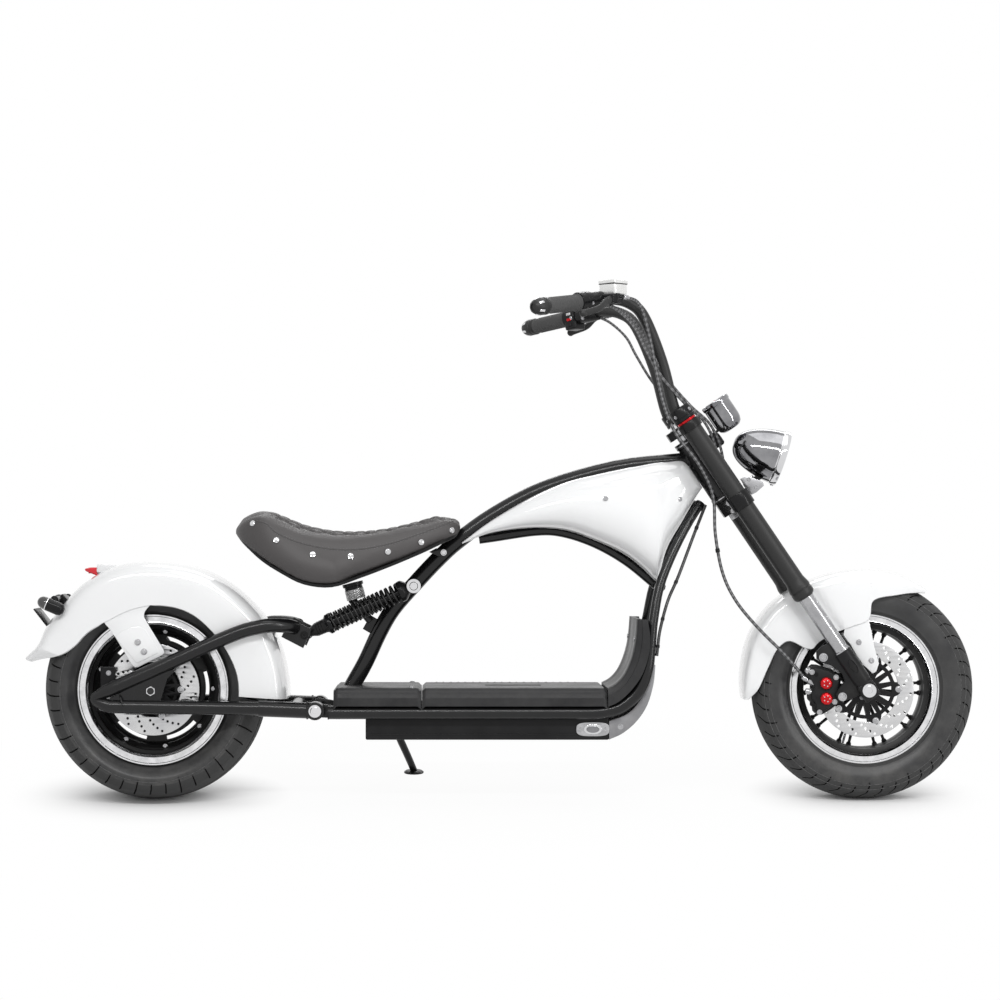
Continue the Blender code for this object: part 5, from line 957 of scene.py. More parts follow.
# Angle round the axle, crown radius and edge radius of each fender
REAR_FENDER = ((-4, 0.284, 0.187), (10, 0.28, 0.186), (27, 0.278, 0.182), (45, 0.273, 0.181),
    (65, 0.272, 0.185), (85, 0.268, 0.183), (105, 0.272, 0.178), (122, 0.27, 0.176), (138, 0.263, 0.185),
    (150, 0.264, 0.1905), (159, 0.263, 0.212), (166.5, 0.28, 0.266))
FRONT_FENDER = ((58, 0.2485, 0.244), (72, 0.2515, 0.213), (86, 0.2525, 0.19), (89, 0.2525, 0.15),
    (104, 0.253, 0.14), (120, 0.2565, 0.14), (136, 0.264, 0.145), (144, 0.2655, 0.15), (147, 0.2655, 0.193),
    (155, 0.265, 0.209), (167, 0.261, 0.215), (179, 0.2585, 0.228), (185, 0.2555, 0.25))
# Share in and share out of a fender section
FENDER_SECTION = ((0, 0), (0.008, 0.32), (0.03, 0.6), (0.14, 0.9), (0.36, 1), (0.97, 1), (1, 0.985))


def closed_sheet(rows, thickness):
    """Rows of a thin shell's outer face turned into closed loops, with the inner face behind them."""
    grid = np.array([[tuple(point) for point in row] for row in rows])
    along, across = np.gradient(grid, axis=0), np.gradient(grid, axis=1)
    normal = np.cross(along, across)
    normal /= np.maximum(np.linalg.norm(normal, axis=2, keepdims=True), 1e-9)
    inner = grid - normal * thickness
    return [[*outside, *inside[::-1]] for outside, inside in zip(grid, inner)]


def make_tank():
    section = [*through(TANK_SECTION[:TANK_CREASE + 1], 5)[:-1], *through(TANK_SECTION[TANK_CREASE:], 5)]
    for side, word in SIDES:
        rows = []
        for x, top, bottom, half in through(TANK, 6):
            rows.append([Vector((x, side * (TANK_INNER + (half - TANK_INNER) * out),
                top + (bottom - top) * down)) for down, out in section])
        piece = Piece().grid(rows, "body_paint", loop=True, caps=True)
        for x, low in ((0.96, 0.643), (1.118, 0.642)):
            half = np.interp(x, [row[0] for row in TANK], [row[3] for row in TANK])
            piece.bolt((x, side * (half + 0.0002), low), (0, side, 0.05), 0.0042, "zinc", 0.0022, 24)
        piece.finish("tank_" + word, "chassis", "white_body", ["tank_shell_" + word], sharp=24)


def fender_rows(axle, table, half, steps, flush, pushed=None):
    """Rows across a fender at angles round its axle.

    Its edge is straight between the two angles of flush, where a strut joins it, and pushed moves a side
    point in by its place.
    """
    section = through(FENDER_SECTION, 4)
    rows = []
    for degrees, crown, edge in through(table, steps):
        depth = crown - edge
        reach = min(half, half * (0.55 + depth / 0.05 * 0.45))
        row, shoulder = [], min(depth, half)
        for side, points in ((RIGHT, section[::-1]), (LEFT, section[1:])):
            for inward, outward in points:
                if inward > 0.9 and flush[0] < degrees < flush[1]:
                    outward = 1.0
                drop = shoulder * min(inward, 0.36) + (depth - shoulder * 0.36) * max(inward - 0.36, 0) / 0.64
                point = polar(axle, degrees, crown - drop, side * reach * outward)
                if pushed and outward > 0.85:
                    point.y -= side * pushed(point) * eased(outward, 0.85, 1.0)
                row.append(point)
        rows.append(row)
    return rows


def make_rear_fender():
    rows = fender_rows(REAR_AXLE, REAR_FENDER, 0.1195, 7, (89, 129))
    piece = Piece().grid(closed_sheet(rows, SHEET), "body_paint", loop=True, caps=True)
    bend = through(tenths((-1010, 3890), (-1000, 3800), (-935, 3720), (-860, 3640)), 3)
    other = through(tenths((-120, 3840), (-165, 3950), (-130, 4060), (-30, 4180), (40, 4300)), 3)
    strut = [tuple(p) for p in bend] + tenths((-410, 2910), (-356, 2860), (-290, 2860), (215, 3115),
        (265, 3165), (255, 3220)) + [tuple(p) for p in other]
    patch = tenths((-775, 3500), (-640, 3610), (-397, 3711), (-250, 3715), (-130, 3650), (140, 3215),
        (130, 3165), (-270, 2960), (-330, 2965))
    for side, _ in SIDES:
        piece.plate([*strut, (-0.04, 0.432), (-0.09, 0.412)], [], Y * side * 0.1176, (X, Z), 0.0036,
            "body_paint", 0.0006)
        piece.plate(patch, [], Y * side * 0.1195, (X, Z), 0.003, "body_paint", 0.0009)
        for x, z in ((-0.0295, 0.3386), (-0.0162, 0.3186)):
            piece.bolt((x, side * 0.121, z), Y * side, 0.0052, "zinc", 0.0034, 24)
    piece.block((-0.096, 0, 0.492), (0.06, 0.07, 0.018), "body_paint", tilted(-4), 0.004)
    piece.finish("rear_fender_detail", "chassis", "white_body", ["rear_fender"], sharp=32)
    lens = []
    for x, half, low, high in tenths((-1250, 310, 4790, 4955), (-1290, 308, 4795, 4960),
            (-1400, 280, 4835, 4952), (-1490, 240, 4872, 4940), (-1525, 205, 4895, 4932)):
        lens.append([Vector((x, half * a, low + (high - low) * b)) for a, b in ((-1, 0.2), (-0.9, 0), (0.9, 0),
            (1, 0.2), (1, 0.8), (0.9, 1), (-0.9, 1), (-1, 0.8))])
    piece = Piece().grid(lens, "lamp_red", loop=True, caps=True)
    for rib in range(-4, 5):
        piece.block((-0.1365, rib * 0.0058, 0.4893), (0.016, 0.0012, 0.0126), "lamp_red", bevel=0.0005)
    piece.finish("tail_lamp_detail", "chassis", "lamp_red", ["tail_lamp"])


def make_front_fender():
    def channel(point):
        """Recess in the side where the fork leg passes."""
        off = point - FRONT_AXLE
        near = 1 - eased(abs(off.dot(FORK_AHEAD)), 0.027, 0.036)
        return 0.0055 * near * eased(off.dot(FORK_UP), 0.09, 0.12)

    rows = fender_rows(FRONT_AXLE, FRONT_FENDER, 0.0715, 8, (89, 114), channel)
    piece = Piece().grid(closed_sheet(rows, SHEET), "body_paint", loop=True, caps=True)
    outline = tenths((15168, 4100), (15172, 3980), (15230, 3739), (15325, 3265), (15419, 2922), (15362, 2752),
        (15287, 2706), (15078, 2903), (14850, 3246), (14665, 3530), (14700, 3700), (14900, 3900))
    for side, _ in SIDES:
        piece.plate(outline, [], Y * side * 0.0691, (X, Z), 0.004, "body_paint", 0.0007)
        for x, z in ((1.4989, 0.3372), (1.5258, 0.2981), (1.3958, 0.3352)):
            piece.bolt((x, side * 0.0711, z), Y * side, 0.0046, "zinc", 0.003, 24)
    piece.finish("front_fender_detail", "steering", "white_body", ["front_fender"], sharp=32)


def make_signals():
    rail = polar(REAR_AXLE, 137, 0.281)
    piece = Piece().tube([rail - Y * 0.1215, rail + Y * 0.1215], 0.006, "powder_coat", 20)
    piece.block(polar(REAR_AXLE, 137, 0.2755), (0.02, 0.06, 0.022), "satin_black", tilted(-47), 0.002)
    ways = tilted(38)
    holder = Vector((-0.243, 0, 0.388))
    piece.block(holder, (0.0035, 0.1, 0.05), "trim_plastic", ways, 0.0012)
    piece.block(holder + ways[0] * 0.0008 - ways[2] * 0.001, (0.0035, 0.09, 0.04), "satin_black", ways, 0.001)
    piece.block((-0.224, 0, 0.408), (0.046, 0.018, 0.009), "satin_black", tilted(-40), 0.0015)
    for side, _ in SIDES:
        along = Vector((-0.92, 0, 0.4)).normalized()
        centre = Vector((-0.2115, side * 0.13, 0.4165))
        body = tenths((0, -300), (60, -295), (115, -250), (138, -180), (140, 60), (140, 100))
        piece.turn(body, centre, along, "satin_black", 36)
        lens = tenths((140, 102), (136, 140), (118, 220), (80, 270), (40, 292), (0, 298))
        piece.turn([(0, 0.0102), *lens], centre, along, "lamp_smoke", 36)
        piece.turn([(0.01395, 0.0085), (0.01425, 0.0095), (0.01395, 0.0105)], centre, along, "chrome",
            36, ring=True)
        piece.rod(rail + Y * side * 0.112, rail + Y * side * 0.1195, 0.0085, "satin_black", 20)
    piece.finish("signals_detail", "chassis", "black_plastic", ["signal_bracket"])


# Floor

# Upper and lower line of the front foot cover in side view
COVER_TOP = tenths((9625, 2435), (9800, 2535), (9960, 2715), (10080, 2970), (10160, 3240), (10208, 3533),
    (10235, 3880))
COVER_LOW = tenths((9625, 2038), (9850, 2145), (10100, 2370), (10330, 2690), (10470, 3080), (10512, 3480),
    (10455, 3870))
# Place across and share of the way up of the cover's section
COVER_SECTION = ((-0.138, 0), (-0.1386, 0.3), (-0.1382, 0.52), (-0.1366, 0.56), (-0.135, 0.8), (-0.1315, 0.94),
    (-0.125, 1.0), (-0.095, 0.985), (-0.092, 0.955), (-0.045, 0.95), (0, 0.95))
SKID = tenths((9658, 1325), (9950, 1460), (10250, 1720), (10470, 2060), (10600, 2500), (10640, 2900),
    (10560, 2900), (10480, 2500), (10300, 2150), (10050, 1880), (9658, 1720))


def deck(start, end, ribs):
    """A foot board with rounded edges, a turned-down rim and shallow ribs across it."""
    top, low = FLOOR_TOP, RAIL_HEIGHT + RAIL_RADIUS + 0.0003
    rows = []
    count = int((end - start) / 0.0025)
    for i in range(count + 1):
        x = start + (end - start) * i / count
        inset = 0.006 * (1 - eased(min(x - start, end - x), 0.0, 0.008))
        rib = 0.0011 * max([0.0, *(1 - eased(abs(x - r), 0.0008, 0.0022) for r in ribs)])
        half = FLOOR_HALF - inset * 0.5
        row = []
        for out, down in ((0.0, 0.0), (0.7, 0.0), (0.745, -rib), (0.86, -rib), (0.9, 0.0), (0.94, 0.0012),
                (0.966, 0.0045), (0.982, 0.0105), (0.988, 0.018), (0.998, 0.02), (1.0, 0.023),
                (0.997, top - low - 0.001), (0.985, top - low)):
            row.append((out * half, top - inset - down))
        rows.append([Vector((x, -y, z)) for y, z in row[:0:-1]] + [Vector((x, y, z)) for y, z in row])
    return Piece().grid(rows, "floor_plastic", loop=True, caps=True)


def make_floor():
    piece = deck(0.384, 0.5685, (0.402, 0.412, 0.422, 0.432))
    for side, _ in SIDES:
        piece.bolt((0.548, side * 0.118, FLOOR_TOP + 0.0003), Z, 0.0048, "zinc", 0.0024, 24)
    piece.finish("floor_rear_detail", "chassis", "black_plastic", ["floor_cover_rear"], sharp=30)
    piece = deck(0.5705, 0.961, [0.6 + 0.016 * i for i in range(20)])
    piece.block((0.765, 0, FLOOR_TOP + 0.0006), (0.12, 0.05, 0.0012), "trim_plastic", bevel=0.0005)
    piece.finish("battery_lid_detail", "battery_lid_body", "black_plastic", ["battery_lid"], sharp=30)
    section = [*COVER_SECTION, *((-y, share) for y, share in COVER_SECTION[-2::-1])]
    section += [(0.1352, 0), (0.1352, 0.5), (-0.1352, 0.5), (-0.1352, 0)]
    rows = []
    for upper, lower in zip(through(COVER_TOP, 6), through(COVER_LOW, 6)):
        rows.append([Vector((lower[0] + (upper[0] - lower[0]) * share, y, lower[1]
            + (upper[1] - lower[1]) * share)) for y, share in section])
    piece = Piece().grid(rows, "floor_plastic", loop=True, caps=True)
    for side, _ in SIDES:
        piece.bolt((1.0205, side * 0.11, 0.345), (-1, 0, 0.1), 0.005, "zinc", 0.003, 24)
    piece.finish("floor_front_detail", "chassis", "black_plastic", ["floor_cover_front"], sharp=30)


def make_battery_box():
    piece = Piece()
    low, high, start, end, half = 0.132, 0.2025, 0.451, 0.9655, 0.1082
    piece.block(((start + end) / 2, 0, (low + high) / 2), (end - start, half * 2, high - low),
        "trim_plastic", bevel=0.004)
    for side, _ in SIDES:
        piece.block(((start + end) / 2, side * (half - 0.0006), low + 0.012),
            (end - start - 0.02, 0.004, 0.003), "trim_plastic", bevel=0.001)
    lock = Vector((0.9315, -half - 0.0012, 0.1547))
    sweep = np.linspace(0, 2 * math.pi, 41)[:-1]
    ovals = [[(wide * math.copysign(abs(math.cos(a)) ** power, math.cos(a)),
        high * math.copysign(abs(math.sin(a)) ** power, math.sin(a))) for a in sweep]
        for wide, high, power in ((0.035, 0.015, 0.6), (0.019, 0.0108, 0.9), (0.014, 0.0075, 1.0))]
    # The innermost oval is chrome with a darker base colour: a painted dark reflection.
    for outline, lift, look in zip(ovals, (0.0, 0.0022, 0.004), ("zinc", "chrome", "dark_chrome")):
        piece.plate(outline, [], lock - Y * lift, (X, Z), 0.003, look, 0.001)
    for dx in (-0.0265, 0.0265):
        piece.bolt(lock + X * dx - Y * 0.0015, -Y, 0.0034, "zinc", 0.0022, 20)
    piece.finish("battery_box_detail", "chassis", "black_plastic", ["battery_box"])
    outline = through(SKID[:6], 4) + through(SKID[6:], 4)
    piece = Piece().plate(outline, [], (0, 0, 0), (X, Z), 0.2164, "skid_aluminium", 0.0014)
    for side, _ in SIDES:
        for x, z in ((0.99, 0.16), (1.048, 0.26)):
            piece.bolt((x, side * 0.1083, z), Y * side, 0.0046, "zinc", 0.003, 24)
    piece.finish("skid_detail", "chassis", "brake_steel", ["bash_plate"])


# Seat

# x, bottom, top of the rim and half width of the seat, with its pan
SEAT = tenths((1700, 5660, 5880, 600), (1880, 5450, 6040, 1000), (2270, 5100, 6195, 1320),
    (2700, 4830, 6030, 1480), (3200, 4590, 5830, 1540), (3800, 4530, 5715, 1540), (4400, 4720, 5700, 1460),
    (5017, 4950, 5770, 1310), (5690, 5230, 5930, 1100), (6200, 5470, 6090, 860), (6450, 5590, 6060, 640),
    (6540, 5720, 5930, 400))
# Share up and share out of a seat section, from the middle of the dish over the rim to the underside
SEAT_SECTION = ((1.0, 0), (0.995, 0.3), (0.975, 0.5), (0.935, 0.66), (0.935, 0.78), (0.86, 0.92), (0.55, 0.99),
    (0.25, 1), (0.06, 0.97), (0, 0.94))
# x, height of the stitched seam round the side of the seat
SEAM = tenths((1950, 5990), (2394, 5920), (2645, 5719), (3014, 5552), (3415, 5441), (3851, 5374), (4286, 5367),
    (4688, 5418), (5123, 5518), (5525, 5652), (6027, 5836), (6395, 5987))
STUDS = tenths((2132, 5896), (2645, 5541), (3409, 5243), (4203, 5209), (4982, 5301), (5683, 5501), (6328, 5755))
PAN_DEPTH = 0.0063
VOXEL = 0.005
CLOTH_FRAMES = 20
CLOTH_STIFFNESS = 30
CHANNEL_WIDTH = 0.0062
# Share of the channel depth that lies below the leather's first surface
CHANNEL_LEVEL = 0.72


def seat_loft(shrink):
    rows = []
    for x, bottom, top, half in through(SEAT, 5):
        low, high = bottom + PAN_DEPTH + shrink * 0.4, top - shrink
        half -= shrink
        row = [(half * out, low + (high - low) * up) for up, out in through(SEAT_SECTION, 4)]
        x = x + shrink * (0.4 - eased(x, 0.2, 0.62))
        rows.append([Vector((x, -y, z)) for y, z in row[::-1]] + [Vector((x, y, z)) for y, z in row[1:]])
    piece = Piece().grid(rows, "seat_leather", loop=True, caps=True)
    mesh = bpy.data.meshes.new("seat start")
    mesh.from_pydata(piece.points, [], piece.faces)
    bm = bmesh.new()
    bm.from_mesh(mesh)
    bmesh.ops.recalc_face_normals(bm, faces=bm.faces)
    bm.to_mesh(mesh)
    bm.free()
    return mesh


def swell(obj, cap, pressure):
    """Blows the cushion up a little as cloth, and keeps each point within reach of where it began."""
    scene = bpy.context.scene
    start = np.array([vert.co for vert in obj.data.vertices])
    cloth = obj.modifiers.new("Cloth", "CLOTH")
    cloth.settings.use_pressure = True
    cloth.settings.uniform_pressure_force = pressure
    cloth.settings.effector_weights.gravity = 0
    cloth.settings.tension_stiffness = CLOTH_STIFFNESS
    cloth.settings.compression_stiffness = CLOTH_STIFFNESS
    for step in range(1, CLOTH_FRAMES + 1):
        scene.frame_set(step)
    swollen = np.array([vert.co for vert in changed_mesh(obj).vertices])
    obj.modifiers.remove(cloth)
    scene.frame_set(1)
    moved = swollen - start
    length = np.maximum(np.linalg.norm(moved, axis=1, keepdims=True), 1e-9)
    obj.data.vertices.foreach_set("co", (start + moved * np.minimum(1, cap / length)).ravel())


def quilt(points, normals, seat):
    """Pushes the quilting's diamond channels into the leather on top of the seat."""
    for i, (point, normal) in enumerate(zip(points, normals)):
        x, y, _ = point
        rim = np.interp(x, [row[0] for row in SEAT], [row[3] for row in SEAT])
        flat = (1 - eased(abs(y) / rim, 0.6, 0.7)) * eased(normal[2], 0.4, 0.65) * eased(x, 0.235, 0.26)
        if flat <= 0:
            continue
        along, slant = x / seat.quilt, y / (seat.quilt * 0.92)
        u, v = along + slant, along - slant
        gap = min(abs(u - round(u)), abs(v - round(v))) * seat.quilt * 0.7
        puff = 1 - math.exp(-(gap / CHANNEL_WIDTH) ** 2)
        points[i] = point + normal * (puff - CHANNEL_LEVEL) * seat.channel * flat
    return points


def make_seat(seat):
    obj = in_scene("seat_cushion_detail", seat_loft(seat.shrink))
    remesh = obj.modifiers.new("Remesh", "REMESH")
    remesh.mode = "VOXEL"
    remesh.voxel_size = VOXEL
    obj.data = changed_mesh(obj)
    obj.modifiers.clear()
    swell(obj, seat.cap, seat.pressure)
    bm = bmesh.new()
    bm.from_mesh(obj.data)
    for _ in range(3):
        bmesh.ops.smooth_vert(bm, verts=bm.verts, factor=0.5, use_axis_x=True, use_axis_y=True, use_axis_z=True)
    bm.to_mesh(obj.data)
    bm.free()
    finer = obj.modifiers.new("Finer", "SUBSURF")
    finer.levels = 1
    obj.data = changed_mesh(obj)
    obj.modifiers.clear()
    body = obj.data
    points = np.array([vert.co for vert in body.vertices])
    normals = np.array([vert.normal for vert in body.vertices])
    surface = BVHTree.FromPolygons([Vector(p) for p in points], [list(face.vertices) for face in body.polygons])
    points = quilt(points, normals, seat)
    body.vertices.foreach_set("co", points.ravel())
    body.transform(STANCE)
    body.materials.clear()
    body.materials.append(bpy.data.materials["seat_leather"])
    body.shade_smooth()
    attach(obj, "chassis")
    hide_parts("seat_cushion")
    trim = Piece()
    for side, _ in SIDES:
        def on_side(x, z):
            """The place and the way out where a level line meets the side of the seat."""
            hit, normal, _, _ = surface.ray_cast(Vector((x, side * 0.3, z)), Vector((0, -side, 0)))
            return (hit, normal) if hit else (Vector((x, side * 0.1, z)), Y * side)

        for lower in (0.0, 0.0047):
            line = [on_side(x, z - lower) for x, z in through(SEAM, 14)]
            route = [hit + normal * 0.0002 for hit, normal in line]
            for start, end in zip(route[::2], route[1::2]):
                trim.tube([start, (start + end) / 2, end], THREAD_RADIUS, "thread", 6)
        welt = [on_side(x, z - 0.00235) for x, z in through(SEAM, 8)]
        trim.tube([hit - normal * 0.0004 for hit, normal in welt], 0.0013, "seat_leather", 8)
        for x, z in STUDS:
            hit, normal = on_side(x, z)
            trim.turn(tenths((0, -10), (66, -10), (70, 6), (62, 24), (46, 22), (40, 36), (0, 42)), hit,
                normal, "chrome", 24)
    trim.finish("seat_trim", "chassis", "chrome_trim")
    rows = []
    edge = ((0.925, 0.0085), (0.915, 0.0028), (0.9, 0.002))
    outline = [*((-wide, high) for wide, high in edge), *edge[::-1]]
    for x, bottom, _, half in through(SEAT, 4):
        rows.append([Vector((0.41 + (x - 0.41) * 0.985, half * wide, bottom + high)) for wide, high in outline])
    piece = Piece().grid(rows, "trim_plastic", loop=True, caps=True)
    piece.finish("seat_pan_detail", "chassis", "black_plastic", ["seat_pan"])
    post, lean = Vector((0.4288, 0, 0.4279)), math.radians(-14)
    up = Vector((math.sin(lean), 0, math.cos(lean)))
    piece = Piece().turn(tenths((0, 0), (198, 0), (206, 8), (206, 212), (198, 220), (0, 220)), post, up,
        "speckled_metal", 56)
    piece.turn(tenths((0, 218), (195, 218), (195, 280), (225, 290), (225, 360), (0, 365)), post, up,
        "satin_black", 40)
    piece.rod((0.418, 0, 0.428), (0.46, 0, 0.38), 0.009, "powder_coat", 20)
    piece.plate(tenths((5850, 5290), (6000, 5370), (6240, 5350), (6230, 5210), (6060, 5190)), [], Y * -0.024,
        (X, Z), 0.005, "powder_coat", 0.001)
    piece.bolt((0.6163, -0.0265, 0.5278), -Y, 0.0048, "chrome", 0.0036, 24)
    piece.finish("seat_post_detail", "chassis", "frame_black", ["seat_post"])


# Fork, bars and controls

RISER_TOP = 0.72
# Radius and height over SEAL_HEIGHT of the seal on a fork tube
SEAL = tenths((0, -130), (175, -130), (205, -115), (236, -70), (240, -50), (240, 40), (230, 50), (230, 65),
    (240, 75), (240, 140), (232, 180), (212, 280), (210, 310))
# Steps ahead, out and up from the riser's top to the end of the bar
BAR = tenths((0, 0, -200), (-120, 10, 100), (-360, 80, 1000), (-740, 270, 1900), (-1070, 450, 2190),
    (-1490, 670, 2260), (-1900, 1010, 2180), (-3110, 2150, 1970))


def make_fork():
    ways = (FORK_AHEAD, Y, FORK_UP)
    top = UPPER_CLAMP + 0.0095
    for side, word in SIDES:
        base = on_fork(0, 0, side * FORK_SIDE)
        seal = [(r, SEAL_HEIGHT + along) for r, along in SEAL]
        piece = Piece().turn([*seal, (0.021, top - 0.001), (0.02, top), (0, top)], base, FORK_UP,
            "gloss_black", 56)
        piece.turn([(0, top), (0.015, top), (0.016, top + 0.0008), (0.016, top + 0.0002)], base, FORK_UP,
            "satin_black", 40)
        piece.finish("fork_tube_detail_" + word, "steering", "gloss_black", ["fork_tube_" + word])
        piece = Piece().turn([(0, SEAL_HEIGHT - 0.0135), (0.0165, SEAL_HEIGHT - 0.0135), (0.0165, 0.1035),
            (0.018, 0.102), (0.018, 0.0985), (0, 0.0985)], base, FORK_UP, "slider_metal", 56)
        piece.turn(tenths((0, 993), (185, 993), (193, 985), (196, 940), (196, 300), (185, 180), (150, 100),
            (0, 80)), base, FORK_UP, "cast_black", 56)
        piece.block(base, (0.037, 0.033, 0.04), "cast_black", ways, 0.006)
        piece.rod(base - Y * side * 0.0168, base + Y * side * 0.0168, 0.019, "cast_black", 40, 0.002)
        piece.block(on_fork(0.09, 0.002, side * 0.081), (0.02, 0.02, 0.06), "cast_black", ways, 0.004)
        oval = [(0.0075 * math.cos(a), 0.0165 * math.sin(a)) for a in np.linspace(0, 2 * math.pi, 33)[:-1]]
        lobe = [(u * 0.8, v * 0.9) for u, v in oval]
        piece.plate(oval, [lobe[::-1]], base + FORK_UP * 0.062 + Y * side * 0.019, (FORK_AHEAD, FORK_UP), 0.003,
            "satin_black", 0.0006)
        tab = [on_fork(*point) for point in tenths((500, -120), (1150, -140), (1220, 210),
            (1000, 260), (760, 240))]
        piece.plate([(p.x, p.z) for p in tab], [], Y * side * 0.0743, (X, Z), 0.0048, "cast_black", 0.001)
        if side == RIGHT:
            ear = [on_fork(*point) for point in tenths((1280, -100), (1330, -300), (1290, -460), (1160, -540),
                (1020, -490), (880, -360), (620, -270), (440, -310), (380, -500), (310, -630), (180, -650),
                (100, -550), (40, -340), (0, -100))]
            piece.plate([(p.x, p.z) for p in ear], [], Y * side * FORK_SIDE, (X, Z), 0.01, "cast_black", 0.0018)
            for along, ahead in ((0.111, -0.0405), (0.0195, -0.0535)):
                piece.bolt(on_fork(along, ahead, side * (FORK_SIDE + 0.005)), Y * side, 0.0068,
                    "zinc", 0.0045, 24)
        piece.finish("fork_slider_detail_" + word, "steering", "brake_steel", ["fork_slider_" + word])


def clamp_outline(ring, boss, web):
    """Outline of a triple clamp in the ways ahead and left: rings at the tubes, a boss round the stem."""
    outline = []
    for side, edge, waist, nose in ((RIGHT, 0.0, web * 0.8, 0.012), (LEFT, -0.004, -web * 0.8, 0.014)):
        for degrees in range(-150, 151, 15):
            angle = math.radians(degrees)
            outline.append((-side * ring * math.sin(angle), side * (FORK_SIDE + ring * math.cos(angle))))
        corners = ((-side * web, FORK_SIDE - 0.034), (waist + edge, 0.04), (-side * boss - FORK_OFFSET, nose))
        outline += [(ahead, side * out) for ahead, out in corners]
        outline += [(ahead, -side * out) for ahead, out in corners[::-1]]
    return outline


def make_clamps():
    ways = (FORK_AHEAD, Y)
    for height, depth, boss, name in ((LOWER_CLAMP, 0.033, 0.0245, "lower"),
            (UPPER_CLAMP, 0.019, 0.03, "upper")):
        piece = Piece()
        centre = on_fork(height)
        holes = [[(u, v + side * FORK_SIDE) for u, v in round_hole(0, 0, 0.0213, 40)] for side, _ in SIDES]
        if name == "upper":
            holes.append([(u - FORK_OFFSET, v) for u, v in round_hole(0, 0, 0.0128, 30)])
        piece.plate(clamp_outline(0.0255, boss, 0.015), holes, centre, ways, depth, "satin_black", 0.0014)
        for side, _ in SIDES:
            for along in ((-0.009, 0.009) if name == "lower" else (0.0,)):
                boss_end = centre - FORK_AHEAD * 0.0225 + Y * side * (FORK_SIDE - 0.02) + FORK_UP * along
                piece.rod(boss_end - Y * side * 0.012, boss_end + Y * side * 0.02, 0.0062, "satin_black", 20)
                piece.bolt(boss_end + Y * side * 0.02, Y * side, 0.0046, "zinc", 0.0042, 20)
        if name == "lower":
            stem = on_fork(LOWER_CLAMP, -FORK_OFFSET)
            piece.rod(stem, on_fork(UPPER_CLAMP + 0.02, -FORK_OFFSET), 0.0125, "zinc", 28)
            piece.turn(tenths((0, -300), (120, -300), (138, -280), (138, -160), (0, -160)), stem,
                FORK_UP, "zinc", 6)
            piece.turn(tenths((0, 1995), (145, 1995), (160, 2010), (160, 2060), (150, 2080), (80, 2095),
                (0, 2097)), stem, FORK_UP, "chrome", 40)
            piece.finish("lower_clamp_detail", "steering", "frame_black", ["lower_clamp_and_stem"])
        else:
            piece.finish("upper_clamp_detail", "steering", "frame_black", ["upper_clamp"])


def bar_points(side):
    top = on_fork(RISER_TOP, 0.0, side * FORK_SIDE)
    return [top + Vector((ahead, side * out, up)) for ahead, out, up in BAR]


def make_bars():
    for side, word in SIDES:
        points = bar_points(side)
        route = through(points[:-1], 8) + [np.array(points[-1])]
        low = UPPER_CLAMP + 0.0098
        base = on_fork(0, 0, side * FORK_SIDE)
        piece = Piece().tube(route, BAR_RADIUS, "gloss_black", 28)
        red = tenths((0, 0), (200, 0), (213, 6), (213, 50), (200, 56), (0, 56))
        piece.turn([(r, low + along) for r, along in red], base, FORK_UP, "red_anodised", 56)
        riser = tenths((0, 56), (240, 56), (252, 66), (252, 120), (245, 128), (245, 140), (252, 148))
        end = tenths((252, -30), (238, -8), (150, 0), (0, 0))
        piece.turn([*((r, low + along) for r, along in riser), *((r, RISER_TOP + along) for r, along in end)],
            base, FORK_UP, "satin_black", 56)
        for degrees in range(45, 360, 90):
            out = outward(*basis(FORK_UP), math.radians(degrees))
            piece.bolt(base + FORK_UP * (RISER_TOP - 0.014) + out * 0.0247, out, 0.003, "zinc", 0.0012, 20)
        piece.finish("handlebar_detail_" + word, "steering", "gloss_black", ["handlebar_" + word])
        inner, outer = points[-2], points[-1]
        unit, length = (outer - inner).normalized(), (outer - inner).length
        piece = Piece()
        rows = []
        first, second = basis(unit)
        steps = 200
        for i in range(steps + 1):
            along = 0.0405 + (length - 0.032 - 0.0405) * i / steps
            flange = 1 - eased(along, 0.043, 0.046)
            end = eased(along, length - 0.04, length - 0.035)
            ribbed = eased(along, 0.05, 0.053) * (1 - eased(along, length - 0.046, length - 0.043))
            band = (along - 0.05) % 0.0052 / 0.0052
            rib = 0.0007 * (0.5 - 0.5 * math.cos(2 * math.pi * band)) * ribbed
            row = []
            for angle in angles(56):
                r = 0.0163 + 0.0024 * flange + 0.001 * end + rib + 0.0003 * math.cos(angle * 6) * ribbed
                row.append(inner + unit * along + outward(first, second, angle) * r)
            rows.append(row)
        piece.grid(rows, "grip_rubber", loop=True, caps=True)
        cap = tenths((0, -340), (176, -340), (182, -330), (182, -270), (172, -262), (172, -235), (181, -225),
            (181, -150), (165, -80), (140, -20), (112, 15), (75, 30), (70, 5), (0, 5))
        piece.turn([(r, length + along) for r, along in cap], inner, unit, "gloss_black", 56)
        for degrees in range(0, 360, 60):
            out = outward(first, second, math.radians(degrees))
            piece.block(inner + unit * (length - 0.009) + out * 0.0168, (0.012, 0.005, 0.0016), "chrome",
                ((unit - out * 0.28).normalized(), unit.cross(out), (out + unit * 0.28).normalized()), 0.0005)
        piece.finish("grip_detail_" + word, "steering", "grip_rubber", ["grip_" + word])
        make_controls(side, word, points, unit)


